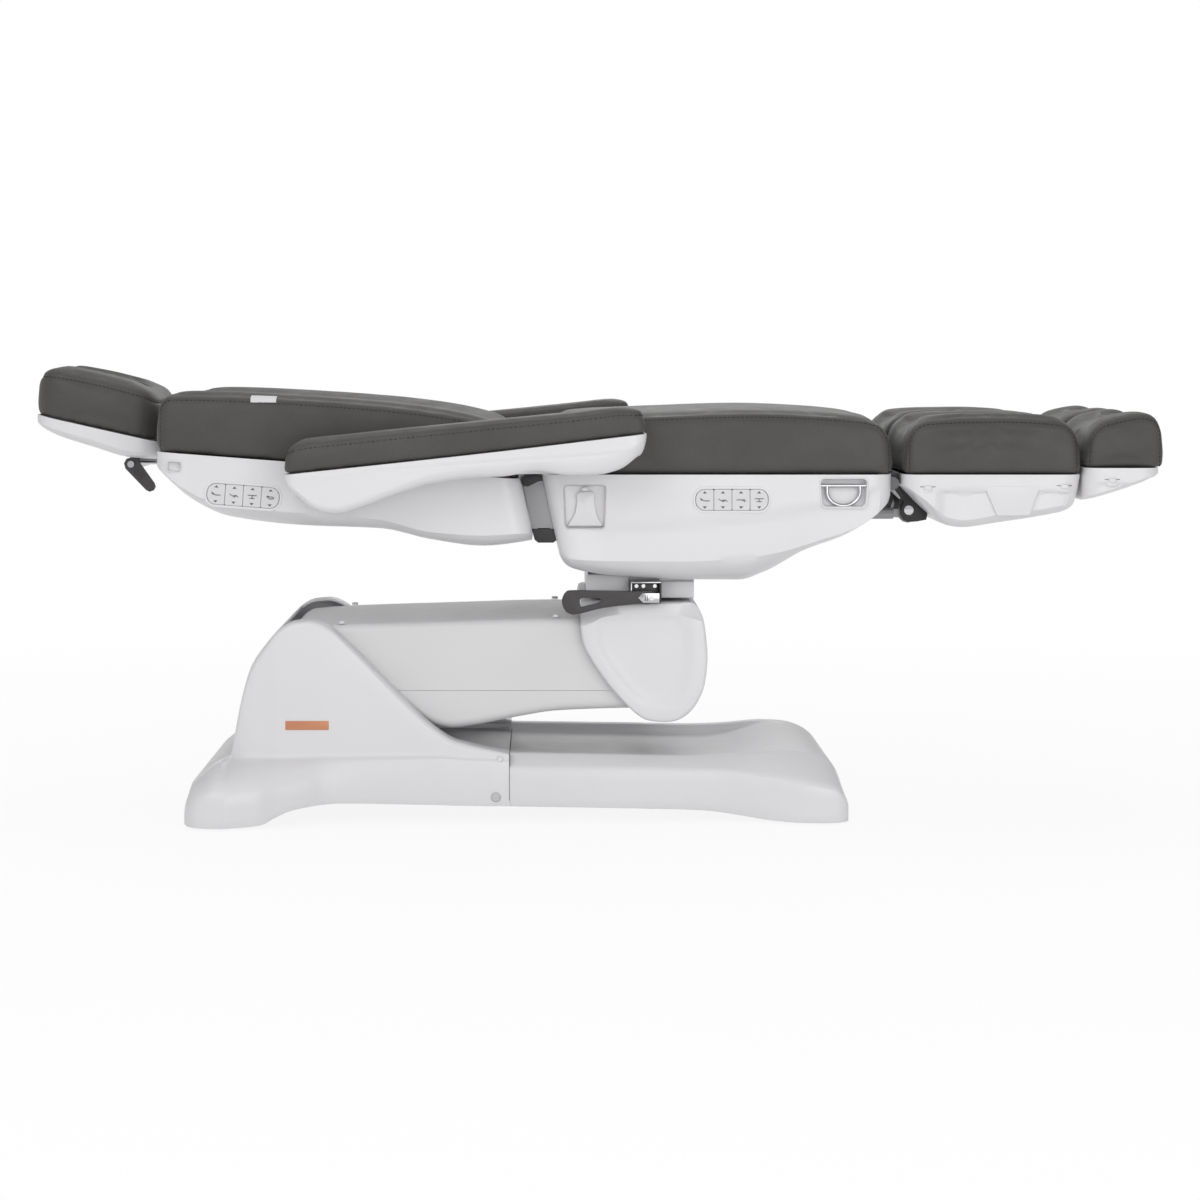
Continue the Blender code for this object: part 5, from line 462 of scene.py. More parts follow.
# Points round a rounded rectangle seen from above, always the same number.
def planRing(x0, x1, y0, y1, r, long=22, short=14, corner=7):
    r = max(min(r, (x1 - x0) / 2 - 1e-5, (y1 - y0) / 2 - 1e-5), 1e-5)
    points = []
    for cx, cy, start, nx, ny, steps in (
        (x1 - r, y0 + r, -90, 0, 1, short), (x1 - r, y1 - r, 0, -1, 0, long),
        (x0 + r, y1 - r, 90, 0, -1, short), (x0 + r, y0 + r, 180, 1, 0, long),
    ):
        for k in range(corner + 1):
            a = math.radians(start + 90 * k / corner)
            points.append((cx + r * math.cos(a), cy + r * math.sin(a)))
        ax, ay = points[-1]
        run = (y1 - y0 - 2 * r) if ny else (x1 - x0 - 2 * r)
        for k in range(1, steps):
            points.append((ax + nx * run * k / steps, ay + ny * run * k / steps))
    return points


# Skins closed rings of points; ends are closed by a fan at their middle.
def stack(rings, name, mat, closeFirst=True, closeLast=True, angle=38.0):
    bm = bmesh.new()
    layers = [[bm.verts.new(p) for p in ring] for ring in rings]
    count = len(rings[0])
    skin(bm, layers)
    for flag, layer in ((closeFirst, layers[0]), (closeLast, layers[-1])):
        if flag:
            middle = bm.verts.new(sum((v.co for v in layer), Vector()) / count)
            for k in range(count):
                bm.faces.new((layer[k], layer[(k + 1) % count], middle))
    return toObject(bm, name, mat, angle)


# A piece's mirror image for the far side.
def mirrored(ob, name):
    bm = bmesh.new()
    bm.from_mesh(ob.data)
    bm.transform(Matrix.Diagonal((1, -1, 1, 1)))
    bmesh.ops.reverse_faces(bm, faces=bm.faces)
    data = bpy.data.meshes.new(name)
    bm.to_mesh(data)
    bm.free()
    for mat in ob.data.materials:
        data.materials.append(mat)
    data.set_sharp_from_angle(angle=math.radians(38.0))
    return newObject(name, data)


# One object out of several, each with its own material.
def merge(name, *obs):
    mats = []
    bm = bmesh.new()
    for ob in obs:
        before = len(bm.faces)
        bm.from_mesh(ob.data)
        bm.faces.ensure_lookup_table()
        table = []
        for mat in ob.data.materials:
            if mat not in mats:
                mats.append(mat)
            table.append(mats.index(mat))
        for face in bm.faces[before:]:
            face.material_index = table[face.material_index] if table else 0
    data = bpy.data.meshes.new(name)
    bm.to_mesh(data)
    bm.free()
    for mat in mats:
        data.materials.append(mat)
    whole = newObject(name, data)
    for ob in obs:
        bpy.data.objects.remove(ob)
    whole.name = name
    return whole


def socketOf(tree, name):
    return next(item.identifier for item in tree.interface.items_tree if item.name == name)


# A node tree that sets a small shape on points, turned to a direction, with its own material.
def rowTree(name, values, parts, mat):
    tree = bpy.data.node_groups.new(name, "GeometryNodeTree")
    face = tree.interface
    face.new_socket("Geometry", in_out="INPUT", socket_type="NodeSocketGeometry")
    for key, value in values.items():
        face.new_socket(key, in_out="INPUT", socket_type="NodeSocketFloat").default_value = value
    face.new_socket("Geometry", in_out="OUTPUT", socket_type="NodeSocketGeometry")
    add, link = tree.nodes.new, tree.links.new
    start, end = add("NodeGroupInput"), add("NodeGroupOutput")
    spread, align = add("GeometryNodeInstanceOnPoints"), add("FunctionNodeAlignRotationToVector")
    align.axis = "Z"
    real, finish = add("GeometryNodeRealizeInstances"), add("GeometryNodeSetMaterial")
    finish.inputs["Material"].default_value = mat
    points, shape, way = parts(add, link, start)
    link(points, spread.inputs["Points"])
    link(shape, spread.inputs["Instance"])
    link(way, align.inputs["Vector"])
    link(align.outputs["Rotation"], spread.inputs["Rotation"])
    link(spread.outputs[0], real.inputs[0])
    link(real.outputs[0], finish.inputs[0])
    link(finish.outputs[0], end.inputs[0])
    return tree


def stitchParts(add, link, start):
    curve, spaced, thread = (add("GeometryNodeMeshToCurve"), add("GeometryNodeCurveToPoints"),
                             add("GeometryNodeMeshCylinder"))
    spaced.mode = "LENGTH"
    thread.inputs["Vertices"].default_value = 6
    link(start.outputs["Geometry"], curve.inputs[0])
    link(curve.outputs[0], spaced.inputs[0])
    link(start.outputs["pitch"], spaced.inputs["Length"])
    link(start.outputs["length"], thread.inputs["Depth"])
    link(start.outputs["thickness"], thread.inputs["Radius"])
    return spaced.outputs["Points"], thread.outputs["Mesh"], spaced.outputs["Tangent"]


def rivetParts(add, link, start):
    points, cone = add("GeometryNodeMeshToPoints"), add("GeometryNodeMeshCone")
    shrink = add("ShaderNodeMath")
    cone.inputs["Vertices"].default_value = 20
    shrink.operation = "MULTIPLY"
    shrink.inputs[1].default_value = 0.78
    way = add("GeometryNodeInputNamedAttribute")
    way.data_type = "FLOAT_VECTOR"
    way.inputs["Name"].default_value = "facing"
    link(start.outputs["Geometry"], points.inputs[0])
    link(start.outputs["radius"], cone.inputs["Radius Bottom"])
    link(start.outputs["radius"], shrink.inputs[0])
    link(shrink.outputs[0], cone.inputs["Radius Top"])
    link(start.outputs["height"], cone.inputs["Depth"])
    return points.outputs[0], cone.outputs["Mesh"], way.outputs["Attribute"]


stitch = {"pitch": 0.0072, "length": 0.0046, "thickness": 0.0007}
stitchNodes = rowTree("stitchRow", stitch, stitchParts, threadPlum)


def runNodes(ob, tree, values):
    mod = ob.modifiers.new("nodes", "NODES")
    mod.node_group = tree
    for name, value in values.items():
        mod[socketOf(tree, name)] = value
    return settle(ob, 40.0)


# Thread stitches along lines, as one mesh on one body.
def stitchRow(lines, name, body, closed):
    data = bpy.data.meshes.new(name)
    points = []
    edges = []
    for line in lines:
        first = len(points)
        points += [tuple(p) for p in line]
        edges += [(first + n, first + n + 1) for n in range(len(line) - 1)]
        if closed:
            edges.append((len(points) - 1, first))
    data.from_pydata(points, edges, [])
    ob = newObject(name, data)
    runNodes(ob, stitchNodes, stitch)
    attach(ob, body)
    return ob


# share of the half width, share of the height
flatCrown = [(0.0, 1.02), (0.62, 1.0), (0.9, 0.97), (1.0, 0.95)]
bolsterCrown = [(0.0, 0.74), (0.30, 0.78), (0.55, 0.90), (0.80, 1.01), (0.9, 1.0), (1.0, 0.96)]
legCrown = [(0.0, 0.84), (0.35, 0.88), (0.70, 1.01), (0.85, 1.0), (1.0, 0.95)]


# A crowned closed form on a flat base, with soft edges and round corners.
def cushionForm(name, p):
    half = (p["y1"] - p["y0"]) / 2
    middle = (p["y1"] + p["y0"]) / 2
    start = 0.003  # room left for the swelling
    low, high = p["x0"] + start, p["x1"] - start
    deepest = min(half, (high - low) / 2)

    def topAt(x, y):
        base = curveAt(p["base"], x)
        full = curveAt(p["top"], x) - base
        height = base + full * curveAt(p["crown"], min(abs(y - middle) / half, 1.0)) - start
        for gap, r in ((x - low, p["roundStart"]), (high - x, p["roundEnd"])):
            if gap < r:
                height -= r * (1 - math.sqrt(max(1 - ((r - max(gap, 0.0)) / r) ** 2, 0.0)))
        return height

    rings = []
    edge, foot, corner, sole = p["edge"], p["foot"], p["corner"], 0.0008

    def ring(inset, height):
        plan = planRing(low + inset, high - inset, p["y0"] + start + inset, p["y1"] - start - inset,
                        max(corner - inset, 0.004))
        rings.append([(x, y, height(x, y)) for x, y in plan])

    for share in (0.12, 0.35, 0.65, 0.9):
        ring(foot + (deepest - foot) * (1 - share), lambda x, y: curveAt(p["base"], x) + sole)
    for k in range(4):
        a = math.pi / 2 * k / 3
        ring(foot * (1 - math.sin(a)),
             lambda x, y, a=a: curveAt(p["base"], x) + sole + foot * (1 - math.cos(a)))
    for k in range(1, 4):
        def side(x, y, k=k):
            base = curveAt(p["base"], x) + sole + foot
            return base + (max(topAt(x, y) - edge, base + 0.002) - base) * k / 4
        ring(-p["belly"] * math.sin(math.pi * k / 4), side)
    for k in range(7):
        a = math.pi / 2 * k / 6
        ring(edge * (1 - math.cos(a)),
             lambda x, y, a=a: max(topAt(x, y) - edge * (1 - math.sin(a)),
                                   curveAt(p["base"], x) + sole + foot + 0.002 + 0.004 * a))
    for more in (0.0015, 0.0035, 0.0060, 0.0090, 0.0130, 0.0180, 0.0240, 0.0310):
        ring(edge + more, topAt)
    far = edge + 0.031
    for share in (0.9, 0.8, 0.66, 0.52, 0.38, 0.24, 0.1):
        ring(far + (deepest - far) * (1 - share), topAt)
    return stack(rings, name, greyHide, angle=180.0)


swell = {"frames": 20, "mass": 0.25, "stretch": 14, "bending": 0.4, "sink": 0.0004, "sole": 0.0006}


# Swells a cushion by cloth simulation, held within a few millimetres of its form.
def puff(ob, p):
    grid = ob.modifiers.new("grid", "REMESH")
    grid.mode = "VOXEL"
    grid.voxel_size = p["voxel"]
    settle(ob, 180.0)
    rest = [(v.co.copy(), v.normal.copy()) for v in ob.data.vertices]
    cloth = ob.modifiers.new("swell", "CLOTH")
    s = cloth.settings
    s.quality = 4
    s.mass = swell["mass"]
    s.tension_stiffness = s.compression_stiffness = swell["stretch"]
    s.bending_stiffness = swell["bending"]
    s.use_pressure = True
    s.uniform_pressure_force = p["pressure"]
    s.effector_weights.gravity = 0.0
    cloth.collision_settings.use_collision = False
    cloth.point_cache.frame_start = 1
    cloth.point_cache.frame_end = swell["frames"]
    scene = bpy.context.scene
    for n in range(1, swell["frames"] + 1):
        scene.frame_set(n)
    settle(ob, 180.0)
    scene.frame_set(1)
    most = p["cap"]
    for vert, (home, out) in zip(ob.data.vertices, rest):
        way = vert.co - home
        sunk = -way.dot(out)
        if sunk > swell["sink"]:
            way += out * (sunk - swell["sink"])
            vert.co = home + way
        if way.length > most:
            vert.co = home + way.normalized() * most
        floor = curveAt(p["base"], vert.co.x) + swell["sole"]
        if vert.co.z < floor:
            vert.co.z = floor
    return ob


seam = {"proud": 0.0002, "inset": 0.009, "depth": 0.0016, "width": 0.0035}


def hitFrom(tree, start, way):
    found = tree.ray_cast(Vector(start), Vector(way))
    return (found[0], found[1]) if found[0] else None


def treeOf(ob):
    bm = bmesh.new()
    bm.from_mesh(ob.data)
    tree = BVHTree.FromBMesh(bm)
    bm.free()
    return tree


# The line round a cushion's sides at a height, found on its own surface.
def seamPath(ob, p, height):
    tree = treeOf(ob)
    points = []
    plan = planRing(p["x0"] + 0.002, p["x1"] - 0.002, p["y0"] + 0.002, p["y1"] - 0.002, p["corner"],
                    60, 60, 14)
    count = len(plan)
    for n, (x, y) in enumerate(plan):
        ax, ay = plan[(n + 1) % count][0] - plan[n - 1][0], plan[(n + 1) % count][1] - plan[n - 1][1]
        out = Vector((ay, -ax, 0)).normalized()
        z = height(x, y)
        found = hitFrom(tree, Vector((x, y, z)) + out * 0.06, -out)
        if found:
            points.append(found[0] + found[1] * seam["proud"])
    return points


# The sewn line inside the edge of both side panels: up one end, along the top and down the other.
def panelSeam(ob, p, inset):
    tree = treeOf(ob)
    lines = []
    for y, way in ((p["y0"] - 0.05, 1), (p["y1"] + 0.05, -1)):
        low, high = p["x0"] + inset, p["x1"] - inset
        outline = []
        for x, r, turn in ((low, p["roundStart"], 1), (high, p["roundEnd"], -1)):
            r = max(r - inset * 0.6, 0.008)
            base = curveAt(p["base"], x) + 0.004
            crest = lambda q: (curveAt(p["top"], q) - inset
                               - (curveAt(p["top"], q) - curveAt(p["base"], q)) * 0.03)
            part = [(x, base + (crest(x) - r - base) * k / 8) for k in range(9)]
            for k in range(1, 9):
                a = math.pi / 2 * k / 8
                q = x + turn * r * (1 - math.cos(a))
                part.append((q, crest(q) - r * (1 - math.sin(a))))
            outline.append(part)
        a, b = outline[0][-1][0], outline[1][-1][0]
        middle = [(a + (b - a) * k / 60, crest(a + (b - a) * k / 60)) for k in range(1, 60)]
        line = []
        for x, z in outline[0] + middle + list(reversed(outline[1])):
            found = hitFrom(tree, (x, y, z), (0, way, 0))
            if found:
                line.append(found[0] + found[1] * seam["proud"])
        lines.append(line)
    return lines


# Draws the surface in along seams.
def pinch(ob, lines, depth, width):
    points = [p for line in lines for p in line]
    kd = KDTree(len(points))
    for n, p in enumerate(points):
        kd.insert(p, n)
    kd.balance()
    normals = [v.normal.copy() for v in ob.data.vertices]
    for vert, normal in zip(ob.data.vertices, normals):
        found = kd.find(vert.co)
        if found[2] < width * 2.5:
            vert.co -= normal * depth * math.exp(-(found[2] / width) ** 2)


def finishCushion(ob, seams):
    sub = ob.modifiers.new("smooth", "SUBSURF")
    sub.levels = sub.render_levels = 1
    settle(ob, 180.0)
    if seams:
        pinch(ob, seams, seam["depth"], seam["width"])
    paint(ob, greyHide)
    for poly in ob.data.polygons:
        poly.use_smooth = True
    return ob


backSlope = [(-0.7175, 0.6172), (-0.119, 0.5720)]
# x0 to y1 are the plan; base and top give heights along x, crown the height's share across
seatPad = {
    "x0": -0.0775, "x1": 0.4955, "y0": -0.300, "y1": 0.300, "corner": 0.016, "edge": 0.013, "foot": 0.003,
    "cap": 0.006, "roundStart": 0.030, "roundEnd": 0.036,
    "base": [(-0.1, 0.5794), (0.5, 0.5794)], "crown": flatCrown, "voxel": 0.0065, "pressure": 4.0,
    "belly": 0.002,
    "top": [(-0.0775, 0.668), (-0.03, 0.674), (0.1, 0.680), (0.268, 0.685), (0.391, 0.680),
            (0.445, 0.6745), (0.4775, 0.668), (0.4955, 0.660)],
}
backPad = {
    "x0": -0.7175, "x1": -0.123, "y0": -0.300, "y1": 0.300, "corner": 0.016, "edge": 0.013, "foot": 0.003,
    "cap": 0.006, "roundStart": 0.022, "roundEnd": 0.030,
    "base": backSlope, "crown": bolsterCrown, "voxel": 0.0065, "pressure": 4.0, "belly": 0.002,
    "top": [(-0.7175, 0.712), (-0.66, 0.7125), (-0.61, 0.7115), (-0.504, 0.7065), (-0.36, 0.6965),
            (-0.2735, 0.687), (-0.215, 0.6775), (-0.18, 0.6695), (-0.123, 0.655)],
}
headPad = {
    "x0": -0.943, "x1": -0.733, "y0": -0.150, "y1": 0.150, "corner": 0.040, "edge": 0.016, "foot": 0.003,
    "cap": 0.005, "roundStart": 0.024, "roundEnd": 0.020,
    "base": [(-0.943, 0.6745), (-0.733, 0.6278)], "crown": flatCrown, "voxel": 0.005, "pressure": 4.0,
    "belly": 0.002,
    "top": [(-0.943, 0.754), (-0.913, 0.7545), (-0.86, 0.747), (-0.80, 0.733), (-0.76, 0.721),
            (-0.733, 0.709)],
}
armPad = {
    "x0": -0.4985, "x1": 0.0855, "y0": -0.420, "y1": -0.315, "corner": 0.016, "edge": 0.010, "foot": 0.0025,
    "cap": 0.003, "roundStart": 0.018, "roundEnd": 0.012,
    "base": [(-0.4985, 0.5838), (-0.182, 0.6176), (0.0855, 0.6496)], "crown": flatCrown, "voxel": 0.005,
    "pressure": 3.0, "belly": 0.001,
    "top": [(-0.4985, 0.6285), (-0.47, 0.6385), (-0.40, 0.6465), (-0.1515, 0.6715), (-0.03, 0.683),
            (0.05, 0.6915), (0.0855, 0.690)],
}
legPad = {
    "x0": 0.511, "x1": 0.804, "y0": -0.300, "y1": -0.010, "corner": 0.015, "edge": 0.012, "foot": 0.003,
    "cap": 0.005, "roundStart": 0.036, "roundEnd": 0.034,
    "base": [(0.5, 0.5794), (0.81, 0.5794)], "crown": legCrown, "voxel": 0.0055, "pressure": 4.0,
    "belly": 0.002,
    "top": [(0.511, 0.664), (0.54, 0.671), (0.60, 0.6755), (0.68, 0.6765), (0.74, 0.674), (0.78, 0.668),
            (0.804, 0.658)],
}
footPad = {
    "x0": 0.8068, "x1": 0.940, "y0": -0.300, "y1": -0.010, "corner": 0.015, "edge": 0.012, "foot": 0.003,
    "cap": 0.005, "roundStart": 0.036, "roundEnd": 0.024,
    "base": [(0.80, 0.5902), (0.94, 0.5902)], "crown": legCrown, "voxel": 0.0055, "pressure": 4.0,
    "belly": 0.002,
    "top": [(0.8068, 0.655), (0.826, 0.664), (0.846, 0.671), (0.88, 0.679), (0.902, 0.682),
            (0.923, 0.679), (0.94, 0.671)],
}
faceHole = {"x": -0.842, "length": 0.142, "width": 0.096, "low": 0.5, "high": 0.9}


# An oval plug square to the headrest's slope.
def faceTool(name, grow=0.0):
    slope = math.atan2(0.0467, 0.21)
    rings = []
    for z in (faceHole["low"], faceHole["high"]):
        ring = []
        for k in range(40):
            a = 2 * math.pi * k / 40
            x = math.cos(a) * (faceHole["length"] / 2 + grow)
            y = math.sin(a) * (faceHole["width"] / 2 + grow)
            h = z - 0.70
            ring.append((faceHole["x"] + x * math.cos(slope) + h * math.sin(slope), y,
                         0.70 - x * math.sin(slope) + h * math.cos(slope)))
        rings.append(ring)
    return stack(rings, name, greyHide)


def makeCushions():
    seamAt = lambda p, share: (
        lambda x, y: curveAt(p["base"], x) + (curveAt(p["top"], x) - curveAt(p["base"], x)) * share)

    def dress(ob, p, nodeNames, bodies, shares):
        find = ((lambda: panelSeam(ob, p, seam["inset"])) if shares is None
                else (lambda: [seamPath(ob, p, seamAt(p, share)) for share in shares]))
        finishCushion(ob, find())
        rows = find()
        pairs = [(ob, nodeNames[0], bodies[0], False)]
        if len(bodies) > 1:
            pairs.append((mirrored(ob, ob.name.replace("near", "far")), nodeNames[1], bodies[1], True))
        for piece, node, moving, flip in pairs:
            wear(piece, moving, node)
            lines = [[(q.x, -q.y, q.z) for q in row] for row in rows] if flip else rows
            stem = piece.name.replace("Cushion", "").replace("Pad", "")
            row = stitchRow(lines, stem + "Stitches", moving, shares is not None)

    for name, pad, nodeNames, bodies, shares in (
        ("seatCushion", seatPad, ["seat_cushion"], ["seat"], None),
        ("backCushion", backPad, ["back_cushion"], ["back"], None),
        ("headCushion", headPad, ["headrest_cushion"], ["headrest"], (0.80,)),
        ("armPad_near", armPad, ["armrest_pad_near", "armrest_pad_far"], ["armrest_near", "armrest_far"],
         (0.72,)),
        ("legCushion_near", legPad, ["leg_cushion_near", "leg_cushion_far"], ["leg_near", "leg_far"], None),
        ("footCushion_near", footPad, ["foot_cushion_near", "foot_cushion_far"], ["foot_near", "foot_far"],
         None),
    ):
        ob = cushionForm(name, pad)
        if pad is headPad:
            cutBy(ob, faceTool("facePlug"))
        dress(puff(ob, pad), pad, nodeNames, bodies, shares)
        print(name + " made")


makeCushions()


coverWall = 0.0035
# width lost, depth gained
underTurn = [(0.0, 0.0), (0.10, 0.26), (0.26, 0.54), (0.46, 0.77), (0.70, 0.93), (1.0, 1.0)]


# A cover with upright sides that turn under at a crease, open at its top; relief draws the sides in.
def shellForm(name, p, relief=None):
    half = (p["y1"] - p["y0"]) / 2
    middle = (p["y1"] + p["y0"]) / 2
    rings = []

    def ring(x0, x1, w, r, height):
        points = []
        for x, y in planRing(x0, x1, middle - w, middle + w, r, p.get("long", 22)):
            z = height(x)
            if relief and abs(y - middle) > w - 0.001:
                y -= math.copysign(relief(x, z), y - middle)
            points.append((x, y, z))
        rings.append(points)

    rim = lambda x: curveAt(p["rim"], x)
    crease = lambda x: curveAt(p["crease"], x)
    low = lambda x: curveAt(p["low"], x)
    ring(p["x0"], p["x1"], half, p["corner"], rim)
    steps = 16 if relief else 3

    def reach(side, height):
        end = p["x" + side]
        return curveAt(p["slant" + side], height(end)) if "slant" + side in p else end

    for k in range(1, steps + 1):
        height = lambda x, k=k: rim(x) + (crease(x) - rim(x)) * k / steps
        ring(reach("0", height), reach("1", height), half, p["corner"], height)
    for lost, deep in underTurn[1:]:
        start, end = reach("0", crease), reach("1", crease)
        ring(start + (p["lowX0"] - start) * lost, end + (p["lowX1"] - end) * lost,
             half - (half - p["floor"]) * lost, p["corner"],
             lambda x, d=deep: crease(x) + (low(x) - crease(x)) * d)
    for share in (0.8, 0.55, 0.3):
        span = (p["lowX1"] - p["lowX0"]) / 2
        mid = (p["lowX1"] + p["lowX0"]) / 2
        ring(mid - span * share, mid + span * share, p["floor"] * share, p["corner"] * share, low)
    ob = stack(rings, name, shellWhite, closeFirst=False, angle=28.0)
    return thicken(ob, coverWall)


def roundRect(cx, cz, w, h, radius, turn, taper=0.0, side=0, big=0.0):
    points = []
    for sx, sz, start in ((1, 1, 0), (-1, 1, 90), (-1, -1, 180), (1, -1, 270)):
        r = big if side and sx == side else radius
        for k in range(7):
            a = math.radians(start + 15 * k)
            x = sx * (w / 2 - r) + r * math.cos(a)
            z = sz * (h / 2 - r) + r * math.sin(a)
            x *= 1 + taper * z / (h / 2)
            points.append((cx + x * math.cos(turn) + z * math.sin(turn),
                           cz - x * math.sin(turn) + z * math.cos(turn)))
    return points


def ringsToY(lines, name, mat, closeFirst=False):
    return stack([[(x, y, z) for x, z in line] for line, y in lines], name, mat, closeFirst, True, 30.0)


coverHalf = 0.300  # half the width of the bed covers


# Cuts an opening in a shell's side and gives it a moulded liner with a rounded lip.
def pocketIn(shell, side, cx, cz, w, h, r, depth, name, turn=0.0, taper=0.0, lip=0.003):
    face = side * coverHalf
    tool = slab(roundRect(cx, cz, w + 0.0004, h + 0.0004, r, turn, taper=taper),
                *sorted((face - side * 0.02, face + side * 0.01)), "tool", shellWhite)
    cutBy(shell, tool)
    line = lambda grow: roundRect(cx, cz, w + grow * 2, h + grow * 2, max(r + grow, 0.001), turn, taper)
    lines = [(line(lip), face + side * 0.0002), (line(lip * 0.85), face + side * 0.0011),
             (line(lip * 0.4), face + side * 0.0016), (line(0.0), face + side * 0.0011),
             (line(-0.0006), face - side * 0.001), (line(-0.0010), face - side * (depth - 0.0022)),
             (line(-0.0018), face - side * (depth - 0.0006)), (line(-0.0036), face - side * depth)]
    return thicken(ringsToY(lines, name, shellWhite), 0.0012)


# rim, crease and low give heights along x, slant0 and slant1 the ends by height; cuts are boxes
seatShell = {
    "x0": -0.083, "x1": 0.4935, "lowX0": -0.034, "lowX1": 0.479, "y0": -0.300, "y1": 0.300, "floor": 0.222,
    "long": 58, "corner": 0.036,
    "rim": [(-0.09, 0.5787), (0.5, 0.5787)],
    "slant1": [(0.515, 0.474), (0.528, 0.4835), (0.537, 0.4885), (0.547, 0.4920), (0.576, 0.4933)],
    "cuts": [(-0.0271, 0.1936, -0.202, 0.202, 0.38, 0.4358), (0.3956, 0.52, -0.182, -0.129, 0.38, 0.60),
             (0.3956, 0.52, 0.129, 0.182, 0.38, 0.60), (-0.1, -0.0427, -0.260, -0.228, 0.543, 0.60),
             (-0.1, -0.0427, 0.228, 0.260, 0.543, 0.60), (-0.1, -0.034, -0.079, -0.031, 0.428, 0.60)],
    "slant0": [(0.445, -0.0515), (0.468, -0.0575), (0.504, -0.0665), (0.540, -0.0752), (0.576, -0.083)],
    "crease": [(-0.083, 0.456), (-0.053, 0.447), (-0.03, 0.440), (0.02, 0.437), (0.15, 0.436),
               (0.24, 0.441), (0.30, 0.450), (0.37, 0.470), (0.44, 0.495), (0.4935, 0.537)],
    "low": [(-0.060, 0.430), (-0.028, 0.418), (0.03, 0.408), (0.16, 0.401), (0.245, 0.4005),
            (0.285, 0.413), (0.35, 0.4495), (0.42, 0.477), (0.486, 0.526)],
}
backShell = {
    "x0": -0.7175, "x1": -0.119, "lowX0": -0.705, "lowX1": -0.099, "y0": -0.300, "y1": 0.300, "floor": 0.215,
    "long": 58, "corner": 0.034,
    "rim": [(-0.7175, 0.6164), (-0.119, 0.5712)],
    "cuts": [(-0.139, -0.05, -0.260, -0.228, 0.5472, 0.64), (-0.139, -0.05, 0.228, 0.260, 0.5472, 0.64),
             (-0.152, -0.05, -0.079, -0.031, 0.4413, 0.64)],
    "slant1": [(0.465, -0.095), (0.480, -0.098), (0.504, -0.1025), (0.528, -0.1084), (0.552, -0.1134),
               (0.572, -0.119)],
    "crease": [(-0.7175, 0.592), (-0.66, 0.550), (-0.60, 0.526), (-0.48, 0.516), (-0.35, 0.505),
               (-0.266, 0.485), (-0.18, 0.479), (-0.119, 0.482)],
    "low": [(-0.712, 0.577), (-0.655, 0.530), (-0.60, 0.506), (-0.48, 0.491), (-0.35, 0.486),
            (-0.266, 0.468), (-0.18, 0.457), (-0.104, 0.465)],
}
headShell = {
    "x0": -0.941, "x1": -0.733, "lowX0": -0.930, "lowX1": -0.742, "y0": -0.150, "y1": 0.150, "floor": 0.122,
    "corner": 0.036,
    "rim": [(-0.941, 0.6740), (-0.733, 0.6272)],
    "crease": [(-0.941, 0.662), (-0.90, 0.647), (-0.84, 0.630), (-0.79, 0.614), (-0.733, 0.607)],
    "low": [(-0.935, 0.651), (-0.90, 0.636), (-0.84, 0.617), (-0.79, 0.602), (-0.742, 0.597)],
}
armShell = {
    "x0": -0.4965, "x1": 0.0850, "lowX0": -0.474, "lowX1": 0.071, "y0": -0.420, "y1": -0.315, "floor": 0.034,
    "long": 58, "corner": 0.022,
    "rim": [(-0.4965, 0.5832), (-0.182, 0.6172), (0.085, 0.6490)],
    "crease": [(-0.4965, 0.577), (-0.474, 0.558), (-0.455, 0.543), (-0.4405, 0.535), (-0.414, 0.531),
               (-0.377, 0.541), (-0.318, 0.564), (-0.26, 0.584), (-0.19, 0.595), (-0.15, 0.597),
               (-0.088, 0.604), (-0.041, 0.603), (0.005, 0.607), (0.04, 0.617), (0.069, 0.633),
               (0.085, 0.643)],
    "low": [(-0.477, 0.551), (-0.458, 0.534), (-0.4405, 0.524), (-0.414, 0.520), (-0.377, 0.529),
            (-0.318, 0.551), (-0.26, 0.569), (-0.19, 0.579), (-0.15, 0.580), (-0.088, 0.588),
            (-0.041, 0.582), (0.005, 0.583), (0.04, 0.591), (0.071, 0.612)],
}
legShell = {
    "x0": 0.5095, "x1": 0.8035, "lowX0": 0.520, "lowX1": 0.783, "y0": -0.300, "y1": -0.010, "floor": 0.112,
    "long": 44, "corner": 0.030,
    "rim": [(0.5, 0.5787), (0.81, 0.5787)],
    "slant1": [(0.516, 0.7895), (0.528, 0.7920), (0.540, 0.7955), (0.552, 0.7990), (0.576, 0.8035)],
    "crease": [(0.5095, 0.563), (0.525, 0.552), (0.545, 0.537), (0.585, 0.508), (0.61, 0.504),
               (0.667, 0.513), (0.75, 0.524), (0.8035, 0.536)],
    "low": [(0.515, 0.557), (0.525, 0.549), (0.545, 0.527), (0.585, 0.494), (0.61, 0.4905),
            (0.667, 0.498), (0.75, 0.511), (0.789, 0.520)],
}
footShell = {
    "x0": 0.8065, "x1": 0.9325, "lowX0": 0.810, "lowX1": 0.920, "y0": -0.300, "y1": -0.010, "floor": 0.112,
    "long": 44, "corner": 0.030,
    "rim": [(0.80, 0.5896), (0.94, 0.5896)],
    "crease": [(0.8065, 0.541), (0.857, 0.556), (0.90, 0.571), (0.9325, 0.581)],
    "low": [(0.8065, 0.534), (0.857, 0.548), (0.895, 0.561), (0.92, 0.571)],
}
keySet = {"w": 0.0291, "h": 0.0342, "pitch": 0.0297, "depth": 0.0075, "end": 0.0150}
tilt = 0.0754  # slope of the back cover


